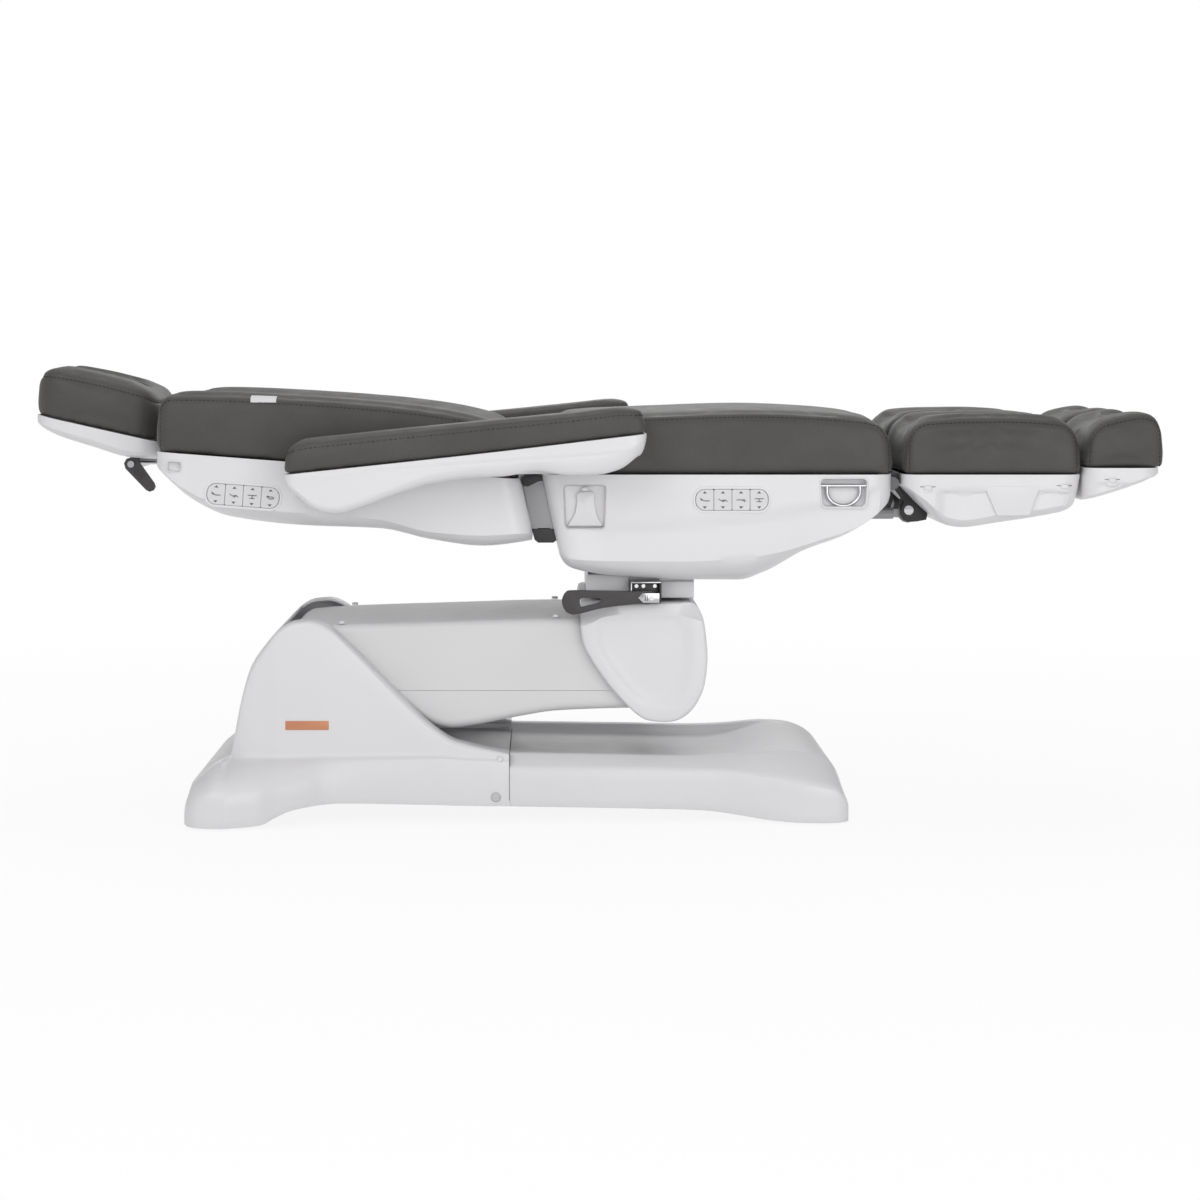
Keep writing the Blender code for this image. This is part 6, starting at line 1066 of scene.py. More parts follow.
# Strokes of a generic pictogram in a 2 by 2 field, as lists of points.
def signLines(kind):
    if kind == "back":
        return [[(-0.8, 0.45), (-0.15, -0.3), (0.85, -0.3)], [(-0.5, -0.15), (-0.75, 0.05)]]
    if kind == "tilt":
        return [[(-0.8, 0.25), (-0.3, -0.25), (0.4, 0.0), (0.8, -0.45)], [(-0.1, -0.55), (0.3, -0.35)]]
    if kind == "legs":
        return [[(-0.8, 0.0), (0.15, 0.0), (0.75, -0.55)], [(0.45, 0.15), (0.8, -0.1)]]
    if kind == "height":
        return [[(-0.8, 0.35), (0.8, 0.35)], [(-0.45, -0.55), (0.45, -0.55)], [(0.0, 0.35), (0.0, -0.55)]]
    return [[(-0.6, 0.3), (0.45, 0.3), (0.7, 0.0), (0.45, -0.3), (-0.3, -0.3)],
            [(-0.35, 0.55), (-0.65, 0.3), (-0.35, 0.05)]]


signStroke = {"half": 0.00065, "past": 0.0004, "thick": 0.00025}


def flatSign(kind, cx, cz, turn, face, name):
    bm = bmesh.new()
    scale = keySet["w"] * 0.30

    def put(points):
        verts = []
        for x, z in points:
            px = cx + x * math.cos(turn) + z * math.sin(turn)
            pz = cz - x * math.sin(turn) + z * math.cos(turn)
            verts.append(bm.verts.new((px, face, pz)))
        bm.faces.new(verts)

    for line in signLines(kind):
        for a, b in zip(line, line[1:]):
            ax, az, bx, bz = a[0] * scale, a[1] * scale * 0.62, b[0] * scale, b[1] * scale * 0.62
            way = Vector((bx - ax, bz - az)).normalized()
            nx, nz = -way.y * signStroke["half"], way.x * signStroke["half"]
            ex, ez = way.x * signStroke["past"], way.y * signStroke["past"]
            put([(ax + nx - ex, az + nz - ez), (bx + nx + ex, bz + nz + ez), (bx - nx + ex, bz - nz + ez),
                 (ax - nx - ex, az - nz - ez)])
    for up in (1, -1):
        z = up * keySet["h"] * 0.36
        put([(-0.0034, z - up * 0.0018), (0.0034, z - up * 0.0018), (0.0, z + up * 0.0022)])
    ob = toObject(bm, name, signGrey)
    return thicken(ob, signStroke["thick"])


# A rocker cap: proud middle ridge, dished halves, and its printed sign.
def makeKey(prefix, kind, cx, about, turn, place):
    w, h = keySet["w"], keySet["h"]
    face = -0.3008
    px = about[0] + (cx - about[0]) * math.cos(turn)
    pz = about[1] - (cx - about[0]) * math.sin(turn)
    line = lambda shrink, r: roundRect(px, pz, w - shrink * 2, h - shrink * 2, r, turn, side=place,
                                       big=keySet["end"] - shrink)
    rings = [(line(0.0, 0.0022), face + 0.0072), (line(0.0, 0.0022), face + 0.0008),
             (line(0.0006, 0.0020), face + 0.0001),
             (line(0.0022, 0.0016), face - 0.0001), (line(0.0045, 0.0012), face + 0.0003)]
    cap = ringsToY(rings, prefix + "Key_" + kind, keyGrey, closeFirst=True)
    sign = flatSign(kind, px, pz, turn, face + 0.00005, "sign")
    return merge(prefix + "Key_" + kind, cap, sign)


def keyRow(prefix, detail, turn, kinds):
    cx, cz = detail["keysX"], detail["keysZ"]
    for n, kind in enumerate(kinds):
        node = prefix + "_key_" + kind
        ob = makeKey(prefix, kind, cx + keySet["pitch"] * (n - 1.5), (cx, cz), turn,
                     -1 if n == 0 else 1 if n == 3 else 0)
        wear(ob, node, node)


seatDetail = {"recessX": -0.0123, "step": 0.0040, "ringX": 0.412, "keysX": 0.2285, "keysZ": 0.5375}
backDetail = {"keysX": -0.5725, "keysZ": 0.5440, "loopX": -0.6855, "loopZ": 0.592}
keyPanel = {"w": 0.1205, "h": 0.0358, "r": 0.0158, "depth": 0.0100, "lip": 0.0040}


ringSpec = {"y": 0.292, "z": 0.5605, "half": 0.027, "drop": 0.033, "wire": 0.0032, "bar": 0.0375}


# A chrome D-ring: straight bar in its ears and a round bow below.
def dRing(side, name):
    cx, cz, half, drop = seatDetail["ringX"], ringSpec["z"], ringSpec["half"], ringSpec["drop"]
    y = side * ringSpec["y"]
    points = [(cx - half, y, cz)]
    for k in range(17):
        a = math.pi + math.pi * k / 16
        points.append((cx + half * math.cos(a), y, cz - drop * 0.30 + drop * 0.70 * math.sin(a)))
    points.append((cx + half, y, cz))
    wire, reach = ringSpec["wire"], ringSpec["bar"]
    bow = tube(points, wire, "bow", chromeBright, sides=14, smooth=2)
    bar = tube([(cx - reach, y, cz), (cx + reach, y, cz)], wire, "bar", chromeBright, sides=14, smooth=1)
    ring = merge("dRing_" + name, bow, bar)
    wear(ring, "ring_" + name, "ring_" + name)


seatBand = [(-0.09, 0.509), (-0.045, 0.504), (0.022, 0.4925), (0.13, 0.498), (0.24, 0.507),
            (0.35, 0.5235), (0.44, 0.548), (0.50, 0.566)]


def smoothStep(t):
    t = min(max(t, 0.0), 1.0)
    return t * t * (3 - 2 * t)


def seatRelief(x, z):
    return (seatDetail["step"] * smoothStep((curveAt(seatBand, x) + 0.004 - z) / 0.010)
            * smoothStep((x + 0.052) / 0.07))


def backRelief(x, z):
    groove = 0.0026 * math.exp(-((x + 0.661) / 0.006) ** 2) * smoothStep((z - 0.545) / 0.01)
    below = (0.0020 * smoothStep((0.5235 - (x + 0.5725) * 0.03 - z) / 0.008)
             * smoothStep((x + 0.66) / 0.02) * smoothStep((-0.40 - x) / 0.05))
    return groove + below


armGroove = [(-0.52, 0.566), (-0.4916, 0.569), (-0.41, 0.5775), (-0.3303, 0.5893), (-0.24, 0.598),
             (-0.15, 0.6045), (-0.02, 0.613), (0.09, 0.622)]


def armRelief(x, z):
    away = z - curveAt(armGroove, x)
    return 0.0014 * math.exp(-(away / 0.0028) ** 2) + 0.0012 * smoothStep(-away / 0.008)


# A step drawn in below a level, between two places along the side.
def stepBelow(depth, level, start, startRun, stop, stopRun):
    return lambda x, z: (depth * smoothStep((level - z) / 0.006) * smoothStep((x - start) / startRun)
                         * smoothStep((stop - x) / stopRun))


legRelief = stepBelow(0.0062, 0.5535, 0.560, 0.02, 0.800, 0.012)
footRelief = stepBelow(0.0042, 0.5665, 0.812, 0.01, 0.915, 0.02)


# Round heads on the near side of a body and, mirrored, on its far side.
def rivets(points, name, body, mat, values, facing=(0, -1, 0)):
    rows = [((x, y, z), facing) for x, y, z in points]
    rows += [((x, -y, z), (facing[0], -facing[1], facing[2])) for x, y, z in points]
    data = bpy.data.meshes.new(name)
    data.from_pydata([p for p, way in rows], [], [])
    outward = data.attributes.new("facing", "FLOAT_VECTOR", "POINT")
    for n, (p, way) in enumerate(rows):
        outward.data[n].vector = way
    ob = newObject(name, data)
    runNodes(ob, rowTree("rivetHeads", values, rivetParts, mat), values)
    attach(ob, body)


# Puts a finished piece on its body, and its mirror image on the far side's body.
def place(ob, body, slot, other=None):
    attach(ob, body)
    if other:
        twin = mirrored(ob, ob.name + "Far")
        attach(twin, other)


# The opening and frame of a row of keys.
def panelIn(shell, detail, name, turn=0.0):
    return pocketIn(shell, -1, detail["keysX"], detail["keysZ"], keyPanel["w"], keyPanel["h"], keyPanel["r"],
                    keyPanel["depth"], name, turn, lip=keyPanel["lip"])


def makeSeatShell():
    shell = shellForm("seatCover", seatShell, relief=seatRelief)
    cutBy(shell, *[block(*cut) for cut in seatShell["cuts"]], solver="MANIFOLD")
    liners = []
    for name, side in sides.items():
        liners.append(pocketIn(shell, side, seatDetail["ringX"], 0.549, 0.074, 0.046, 0.008, 0.016,
                               "ringLiner_" + name, taper=0.05))
        liners.append(pocketIn(shell, side, seatDetail["recessX"], 0.526, 0.066, 0.070, 0.006, 0.009,
                               "recess_" + name, taper=0.04, lip=0.0007))
    liners.append(panelIn(shell, seatDetail, "keyFrame"))
    whole = merge("seatCover", shell, *liners)
    wear(whole, "seat", "seat_shell")
    keyRow("seat", seatDetail, 0.0, ("back", "tilt", "legs", "height"))
    print("seat cover made")


def makeBackShell():
    shell = shellForm("backCover", backShell, relief=backRelief)
    cutBy(shell, *[block(*cut) for cut in backShell["cuts"]], solver="MANIFOLD")
    cutBy(shell, *[tube([(-0.74, y, 0.5925), (-0.69, y, 0.5925)], 0.0074, "rodHole", shellWhite, sides=24,
                        smooth=1) for y in (-0.06, 0.06)], solver="MANIFOLD")
    liners = []
    for name, side in sides.items():
        liners.append(pocketIn(shell, side, backDetail["loopX"], backDetail["loopZ"], 0.022, 0.0165, 0.004,
                               0.011, "beltLoop_" + name, tilt, lip=0.002))
    liners.append(panelIn(shell, backDetail, "backKeyFrame", tilt))
    whole = merge("backCover", shell, *liners)
    wear(whole, "back", "back_shell")
    keyRow("back", backDetail, tilt, ("back", "tilt", "height", "return"))
    print("back cover made")


def makeSmallShells():
    head = shellForm("headCover", headShell)
    cutBy(head, faceTool("facePlug", 0.004))
    wear(head, "headrest", "headrest_shell")
    arm = shellForm("armCover_near", armShell, relief=armRelief)
    leg = shellForm("legCover_near", legShell, relief=legRelief)
    notch = block(0.50, 0.566, -0.1755, -0.1345, 0.48, 0.566)
    cutBy(leg, notch, block(0.79, 0.82, -0.232, -0.078, 0.5425, 0.5575))
    foot = shellForm("footCover_near", footShell, relief=footRelief)
    tongues = [block(0.636, 0.812, -0.155 + s * 0.06 - 0.0138, -0.155 + s * 0.06 + 0.0138, 0.5442, 0.5558,
                     "tongue", shellWhite, 0.0012) for s in (-1, 1)]
    foot = merge("footCover_near", foot, *tongues)
    for ob, part in ((arm, "armrest"), (leg, "leg"), (foot, "foot")):
        other = mirrored(ob, ob.name.replace("near", "far"))
        for piece, end in ((ob, "_near"), (other, "_far")):
            wear(piece, part + end, part + "_shell" + end)
    print("headrest, armrest, leg and foot covers made")


makeSeatShell()
makeBackShell()
makeSmallShells()
for name, side in sides.items():
    dRing(side, name)


rearStations = [  # along, crown, body width, foot height, foot width, lower edge
    (0.0000, 0.150, 0.96, 0.138, 0.900, 0.020), (0.0126, 0.200, 0.97, 0.188, 0.950, 0.015),
    (0.0463, 0.249, 0.98, 0.237, 0.990, 0.012),
    (0.1014, 0.312, 1.00, 0.300, 1.000, 0.010), (0.1260, 0.324, 0.90, 0.304, 1.000, 0.010),
    (0.1390, 0.440, 0.92, 0.306, 0.996, 0.011),
    (0.1605, 0.607, 0.95, 0.308, 0.988, 0.012), (0.1917, 0.769, 0.97, 0.310, 0.975, 0.014),
    (0.2386, 0.880, 0.985, 0.310, 0.950, 0.020),
    (0.2775, 0.950, 1.00, 0.312, 0.915, 0.048), (0.3255, 0.992, 1.00, 0.312, 0.880, 0.078),
    (0.3789, 1.000, 1.00, 0.314, 0.840, 0.092),
    (0.4258, 0.977, 1.00, 0.316, 0.800, 0.098), (0.4726, 0.918, 1.00, 0.316, 0.780, 0.100),
    (0.6442, 0.644, 1.00, 0.318, 0.762, 0.094),
    (0.7691, 0.458, 1.00, 0.318, 0.750, 0.088), (0.8316, 0.398, 1.00, 0.314, 0.745, 0.084),
    (1.0000, 0.338, 1.00, 0.306, 0.740, 0.080),
]
column = {"x0": -0.669, "length": 0.5315, "height": 0.3335, "half": 0.240, "foot": 0.332, "wall": 0.004,
          "slot": 0.195, "slotX": -0.517, "tray": 0.094}


# The column cover's outline at one place along: crown, cheek, ledge, flare and skirt.
def columnSection(x, along, wall):
    at = [curveAt([(s[0], s[k]) for s in rearStations], along) for k in range(1, 6)]
    crown = column["height"] * at[0] - wall
    body = column["half"] * at[1] - wall
    foot = column["height"] * at[2] - wall
    wide = column["foot"] * at[3] - wall
    edge = column["height"] * at[4] - (0.012 if wall else 0.0)
    rear = max(0.0, 1 - along / 0.30)
    bend = min(0.010 + 0.020 * rear, (crown - foot) * 0.42)
    lip = min(0.012, (crown - foot) * 0.3)
    drop = foot * 0.45
    half = [(body * share, crown) for share in (0.0, 0.25, 0.5, 0.75)] + [(body - bend, crown)]
    for k in range(1, 6):
        a = math.pi / 2 * k / 5
        half.append((body - bend + bend * math.sin(a), crown - bend + bend * math.cos(a)))
    for k in range(1, 4):
        half.append((body, crown - bend - (crown - bend - foot - lip) * k / 3))
    for k in range(1, 4):
        a = math.pi / 2 * k / 3
        half.append((body + lip * 0.5 * (1 - math.cos(a)), foot + lip - lip * math.sin(a)))
    slope = [(0.0, 0.0), (0.30, 0.08), (0.55, 0.24), (0.78, 0.46), (0.92, 0.70), (1.0, 1.0)]
    start = half[-1][0]
    for share, down in slope[1:]:
        half.append((start + (wide - start) * share, foot - drop * down))
    for k in range(1, 4):
        half.append((wide, foot - drop - (foot - drop - edge) * k / 3))
    right = [(x, y, z) for y, z in half[1:]]
    return [(x, 0.0, half[0][1])] + right + [(x, -y, z) for y, z in reversed(half[1:])]


def makeColumn():
    alongs = sorted({round(a, 4) for s, t in zip(rearStations, rearStations[1:])
                     for a in (s[0], s[0] + (t[0] - s[0]) / 3, s[0] + (t[0] - s[0]) * 2 / 3)} | {1.0})
    crowns = [(s[0], s[1]) for s in rearStations]
    outer = []
    inner = []
    for n, along in enumerate(alongs):
        x = column["x0"] + column["length"] * along
        outer.append(columnSection(x, along, 0.0))
        ahead, behind = min(along + 0.004, 1.0), max(along - 0.004, 0.0)
        # the inner wall keeps its thickness where the crown slopes
        slope = math.atan2(column["height"] * (curveAt(crowns, ahead) - curveAt(crowns, behind)),
                           column["length"] * (ahead - behind))
        inX = x + column["wall"] * math.tan(slope / 2)
        if n == 0:
            inX = x + column["wall"]
        if along == 1.0:
            inX = x + 0.01
        inner.append(columnSection(inX, along, column["wall"]))
    shell = stack(outer, "columnCover", shellWhite, angle=34.0)
    hollow = stack(inner, "hollow", shellWhite)
    slot = block(column["slotX"], -0.12, -column["slot"], column["slot"], column["tray"], 0.6)
    cutBy(shell, hollow)
    cutBy(shell, slot, block(-0.70, -0.6, -0.0255, 0.0255, 0.0265, 0.0595))
    paint(shell, shellWhite)
    soften(shell, 0.0012, 2, 48.0)
    wear(shell, "base", "rear_base_cover")
    print("column cover made")


traySpec = {
    "rim": [(-0.137, 0.1106), (0.06, 0.108), (0.177, 0.106), (0.239, 0.1077), (0.276, 0.111),
            (0.312, 0.1143), (0.351, 0.1127), (0.382, 0.1043), (0.404, 0.0888), (0.4184, 0.060),
            (0.424, 0.041)],
    "rimWidth": [(-0.137, 0.213), (0.27, 0.213), (0.31, 0.209), (0.351, 0.204), (0.382, 0.195),
                 (0.404, 0.184), (0.418, 0.176), (0.424, 0.170)],
    "foot": [(-0.137, 0.089), (0.06, 0.0875), (0.177, 0.0855), (0.239, 0.083), (0.276, 0.0777),
             (0.312, 0.0733), (0.351, 0.069), (0.382, 0.0633), (0.404, 0.0577), (0.4184, 0.044),
             (0.424, 0.033)],
    "wide": [(-0.137, 0.242), (0.06, 0.2407), (0.2, 0.242), (0.276, 0.253), (0.312, 0.2625),
             (0.351, 0.2698), (0.382, 0.272), (0.404, 0.271), (0.4184, 0.265), (0.424, 0.257)],
    "low": [(-0.137, 0.0261), (0.06, 0.0227), (0.177, 0.020), (0.239, 0.0133), (0.276, 0.0078),
            (0.312, 0.0044), (0.351, 0.0031), (0.382, 0.003), (0.424, 0.0044)],
    "tray": [(-0.137, 1.0), (0.20, 1.0), (0.24, 0.85), (0.275, 0.55), (0.312, 0.22), (0.351, 0.04),
             (0.38, 0.0), (0.424, 0.0)],
}


trayDish = {"depth": 0.0165, "rim": 0.028}


# A line across the table: one half, its middle point and the other half.
def acrossLine(x, half, middle):
    return [(x, y, z) for y, z in half] + [(x, 0.0, middle)] + [(x, -y, z) for y, z in reversed(half)]


# Skins open lines of points, closed at the first (0) or last (-1) line, facing up or down.
def openLoft(rings, name, mat, closed=None, outUp=True):
    bm = bmesh.new()
    rows = [[bm.verts.new(p) for p in ring] for ring in rings]
    for a, b in zip(rows, rows[1:]):
        for k in range(len(a) - 1):
            bm.faces.new((a[k], b[k], b[k + 1], a[k + 1]))
    if closed is not None:
        bm.faces.new(rows[closed])
    bmesh.ops.recalc_face_normals(bm, faces=bm.faces)
    pick = (max if outUp else min)(bm.faces, key=lambda f: f.calc_center_median().z)
    if (pick.normal.z < 0) == outUp:
        bmesh.ops.reverse_faces(bm, faces=bm.faces)
    return toObject(bm, name, mat, 34.0, recalc=False)


def makeTray():
    xs = [-0.1369 + 0.0187 * n for n in range(25)] + [
        0.3345, 0.347, 0.359, 0.370, 0.380, 0.389, 0.397,
        0.404, 0.4095, 0.4142, 0.418, 0.421, 0.4231, 0.424]
    xs = sorted({round(x, 4) for x in xs})
    rings = []
    for x in xs:
        at = {key: curveAt(table, x) for key, table in traySpec.items()}
        deep = trayDish["depth"] * at["tray"]
        inner = at["rimWidth"] - trayDish["rim"]
        rim, body, wide, foot, low = at["rim"], at["rimWidth"], at["wide"], at["foot"], at["low"]
        half = [(inner * s, rim - deep) for s in (0.0, 0.4, 0.75, 0.90, 0.93)]
        half += [(inner * 0.955, rim - deep * 0.90), (inner * 0.978, rim - deep * 0.5),
                 (inner * 0.995, rim - deep * 0.12), (inner + 0.004, rim)]
        half += [(body - 0.008, rim), (body - 0.003, rim - 0.0008), (body, rim - 0.003)]
        for s in (0.25, 0.5, 0.75, 0.9):
            half.append((body + (wide - body) * s, rim - 0.003 - (rim - 0.003 - foot) * (s ** 1.15)))
        half += [(wide - 0.0012, foot - 0.0012), (wide, foot - 0.004)]
        for k in range(1, 5):
            half.append((wide, foot - 0.004 - (foot - 0.004 - low) * k / 4))
        rings.append(acrossLine(x, half[:0:-1], half[0][1]))
    ob = openLoft(rings, "trayCover", shellWhite, -1)
    thicken(ob, coverWall)
    soften(ob, 0.0010, 2, 60.0)
    wear(ob, "base", "front_base_cover")
    print("tray cover made")


armHalf = 0.190  # half the width of the lifting arm
armTop = [(-0.5355, 0.254), (-0.530, 0.276), (-0.520, 0.2955), (-0.505, 0.3105), (-0.49, 0.3175),
          (-0.42, 0.3225), (-0.24, 0.3285), (-0.06, 0.3332), (0.022, 0.3325), (0.050, 0.3322)]
armSeam = [(-0.54, 0.2123), (0.050, 0.2123)]
armLow = [(-0.345, 0.206), (-0.30, 0.176), (-0.262, 0.152), (-0.235, 0.1475), (-0.20, 0.152),
          (-0.1195, 0.1676), (-0.06, 0.1768), (0.022, 0.1805), (0.050, 0.1812), (0.077, 0.1815)]


# Lines round the arm, from its seam to its rounded edge and across.
def armSections(xs, side, top, edge):
    rings = []
    for x in xs:
        a, b = curveAt(side, x), curveAt(top, x)
        r = min(edge, abs(b - a) * 0.6)
        sign = 1 if b > a else -1
        half = [(armHalf, a), (armHalf, a + (b - a - sign * r) * 0.5), (armHalf, b - sign * r)]
        for k in range(1, 6):
            t = math.pi / 2 * k / 5
            half.append((armHalf - r + r * math.cos(t), b - sign * r + sign * r * math.sin(t)))
        half += [(0.12, b), (0.06, b)]
        rings.append(acrossLine(x, half, b))
    return rings


def makeArm():
    xs = [-0.5355, -0.533, -0.530, -0.5255, -0.520, -0.513, -0.505, -0.4975, -0.49, -0.46,
          -0.42] + [-0.42 + 0.470 * n / 15 for n in range(1, 16)]
    top = openLoft(armSections(xs, armSeam, armTop, 0.014), "armTopCover", armWhite, 0)
    thicken(top, 0.0038)
    wear(top, "lift_arm", "lift_arm_upper_cover")
    xs = [-0.345 + 0.422 * n / 30 for n in range(31)]
    seamLine = [(-0.345, 0.2118), (0.077, 0.2118)]
    low = openLoft(armSections(xs, seamLine, armLow, 0.016), "armLowCover", armWhite, outUp=False)
    thicken(low, 0.0038)
    cutBy(low, block(-0.36, -0.2496, -0.040, 0.040, 0.10, 0.23),
          block(-0.36, -0.2493, 0.078, 0.112, 0.10, 0.23))
    wear(low, "lift_arm", "lift_arm_lower_cover")
    print("arm covers made")


housingLine = [(-0.0184, 0.3533), (-0.0184, 0.34), (-0.0180, 0.315), (-0.0125, 0.290), (-0.001, 0.268),
               (0.013, 0.2465), (0.028, 0.2255), (0.046, 0.204), (0.068, 0.182), (0.083, 0.1705),
               (0.096, 0.165), (0.121, 0.1625), (0.141, 0.1650), (0.158, 0.174), (0.173, 0.190),
               (0.184, 0.211), (0.190, 0.232), (0.1935, 0.27), (0.191, 0.305), (0.187, 0.332),
               (0.180, 0.351), (0.170, 0.3605), (0.1645, 0.3620)]


# The D, smooth round its belly with a straight top, drawn in by inset.
def housingAt(inset):
    line = [tuple(p) for p in ease(housingLine, 3, False)]
    line.append((-0.010, 0.3625))
    line.append((-0.0165, 0.3600))
    count = len(line)
    drawn = []
    for n, (x, z) in enumerate(line):
        a, b = line[n - 1], line[(n + 1) % count]
        way = Vector((b[0] - a[0], b[1] - a[1])).normalized()
        drawn.append((x - way.y * inset, z + way.x * inset))
    return drawn


swivelX = 0.095  # where the bed turns


def makeHousing():
    half = 0.222
    cheek = [(1.0, -0.012), (1.0, -0.0060), (0.990, -0.0030), (0.972, -0.0011), (0.945, 0.0),
             (0.80, -0.0002), (0.745, -0.0012), (0.69, -0.0034), (0.635, -0.0048), (0.58, -0.0052),
             (0.30, -0.0052)]

    def drawn(share):
        points = housingAt(0.0)
        mx, mz = 0.088, 0.282
        return [(mx + (x - mx) * share, mz + (z - mz) * share) for x, z in points]

    rings = [[(x, -half - out, z) for x, z in drawn(share)] for share, out in cheek]
    rings.reverse()
    back = [[(x, half + out, z) for x, z in drawn(share)] for share, out in cheek]
    body = stack(rings + back, "pivotHousing", shellWhite, angle=32.0)
    inside = slab(housingAt(0.006), -half + 0.008, half - 0.008, "inside", shellWhite)

    def circle(radius, z):
        sides = 96
        return [(swivelX + radius * math.cos(2 * math.pi * k / sides),
                 radius * math.sin(2 * math.pi * k / sides), z) for k in range(sides)]

    # What lies outside the swivel's clearance: a slope that meets an upright round wall.
    def turned(wall, name):
        outline = ((0.34, 0.310 - wall), (0.262 - wall, 0.310 - wall), (0.2262 - wall, 0.3425 - wall),
                   (0.2262 - wall, 0.40), (0.34, 0.40))
        rings = [circle(radius, z) for radius, z in outline]
        return stack(rings + [rings[0]], name, shellWhite, False, False)

    cutBy(inside, turned(0.004, "insideEdge"))
    cutBy(body, inside)
    cutBy(body, block(-0.03, 0.095, -0.195, 0.195, 0.0, 0.3545))
    cutBy(body, block(0.08, 0.112, -0.195, 0.195, 0.0, 0.205))
    outside = turned(0.0, "outside")
    hub = stack([circle(0.0505, 0.34), circle(0.0505, 0.40)], "hub", shellWhite)
    cutBy(body, outside, hub)
    paint(body, shellWhite)
    soften(body, 0.0012, 2, 50.0)
    wear(body, "pivot_head", "pivot_housing")
    print("pivot housing made")


makeColumn()
makeTray()
makeArm()
makeHousing()


lockPin = {"x": 0.0967, "z": 0.3727, "radius": 0.0055, "bore": 0.0064}


def makeLever():
    outline = ease([(0.100, 0.3635), (0.100, 0.3825), (0.07, 0.3825), (0.02, 0.3832), (-0.03, 0.3838),
                    (-0.043, 0.381), (-0.0497, 0.367), (-0.045, 0.3515), (-0.034, 0.3443),
                    (-0.02, 0.3455), (0.02, 0.3552), (0.07, 0.3612)], 4)
    lever = slab([tuple(p) for p in outline], -0.2420, -0.2283, "swivelLever", leverGrey)
    opening = ease([(-0.018, 0.3565), (0.000, 0.3600), (0.0137, 0.3640), (0.0137, 0.3705), (0.0, 0.3712),
                    (-0.017, 0.3712), (-0.021, 0.364)], 4)
    window = slab([tuple(p) for p in opening], -0.26, -0.21, "window", leverGrey)
    cutBy(lever, window)
    cutBy(lever, pinAcross(lockPin["x"], lockPin["z"], -0.26, -0.21, lockPin["bore"], "bore", leverGrey, 32))
    paint(lever, leverGrey)
    soften(lever, 0.0014, 3, 40.0)
    wear(lever, "lock_lever", "swivel_lock_lever")
    print("lever made")


makeLever()


# The chrome cage that holds the swivel lever, on the turning post.
def lockBracket():
    inner = block(0.0672, 0.1118, -0.2268, -0.1902, 0.3640, 0.3950, "inner", blackPaint, 0.0012)
    top = block(0.0650, 0.1150, -0.2400, -0.1902, 0.3958, 0.3985, "top", chromeBright, 0.0008)
    left = block(0.0650, 0.0672, -0.2275, -0.1902, 0.3640, 0.3958, "left", chromeBright, 0.0006)
    right = block(0.1122, 0.1150, -0.2455, -0.1902, 0.3636, 0.3958, "right", blackPaint, 0.0008)
    clasp = slab([(0.0765, 0.3722), (0.0850, 0.3800), (0.1122, 0.3800), (0.1122, 0.3640), (0.0850, 0.3640)],
                 -0.2452, -0.2432, "clasp", chromeBright, 0.0006)
    slots = [block(x, x + 0.0012, -0.2456, -0.2450, 0.3668, 0.3775, "slot", blackPaint)
             for x in (0.0880, 0.0912)]
    bolt = pinAcross(0.0995, 0.3722, -0.2496, -0.2450, 0.0044, "bolt", chromeBright, 6)
    pin = pinAcross(lockPin["x"], lockPin["z"], -0.2436, -0.226, lockPin["radius"], "pin", zincPlain)
    nuts = [pinAcross(x, 0.3905, -0.2292, -0.2262, 0.0034, "nut", chromeBright, 6)
            for x in (0.0745, 0.0860, 0.1050)]
    whole = merge("lockBracket", inner, top, left, right, clasp, bolt, pin, *slots, *nuts)
    wear(whole, "turntable", "swivel_lock_bracket")
    plate = block(-0.0075, 0.0630, -0.1950, -0.1903, 0.3680, 0.4075, "postPlate", shellWhite, 0.0022)
    place(plate, "turntable", "white_abs")
    side = block(0.1170, 0.1715, -0.1935, -0.1903, 0.3680, 0.3960, "postSide", shellWhite, 0.0020)
    place(side, "turntable", "white_abs")


# Grey plates with black ends that fill the gap between the back and seat covers.
def hingeCheeks():
    line = [(-0.1165, 0.5735), (-0.0760, 0.5765), (-0.0690, 0.545), (-0.0545, 0.4890), (-0.1000, 0.4890),
            (-0.1085, 0.530)]
    plate = slab(line, -0.2660, -0.2620, "hingePlate", greySatin, 0.0010)
    foot = slab([(-0.1000, 0.4885), (-0.0545, 0.4885), (-0.0575, 0.4700), (-0.0640, 0.4650),
                 (-0.0890, 0.4650), (-0.0950, 0.4700)], -0.2665, -0.2610, "hingeFoot", blackPaint, 0.0010)
    head = slab([(-0.1170, 0.5740), (-0.0760, 0.5770), (-0.0760, 0.5690), (-0.0900, 0.5655),
                 (-0.1060, 0.5575), (-0.1140, 0.5590)], -0.2668, -0.2655, "hingeHead", blackPaint, 0.0004)
    whole = merge("hingeCheek", plate, foot, head)
    place(whole, "seat", "grey_tube", "seat")


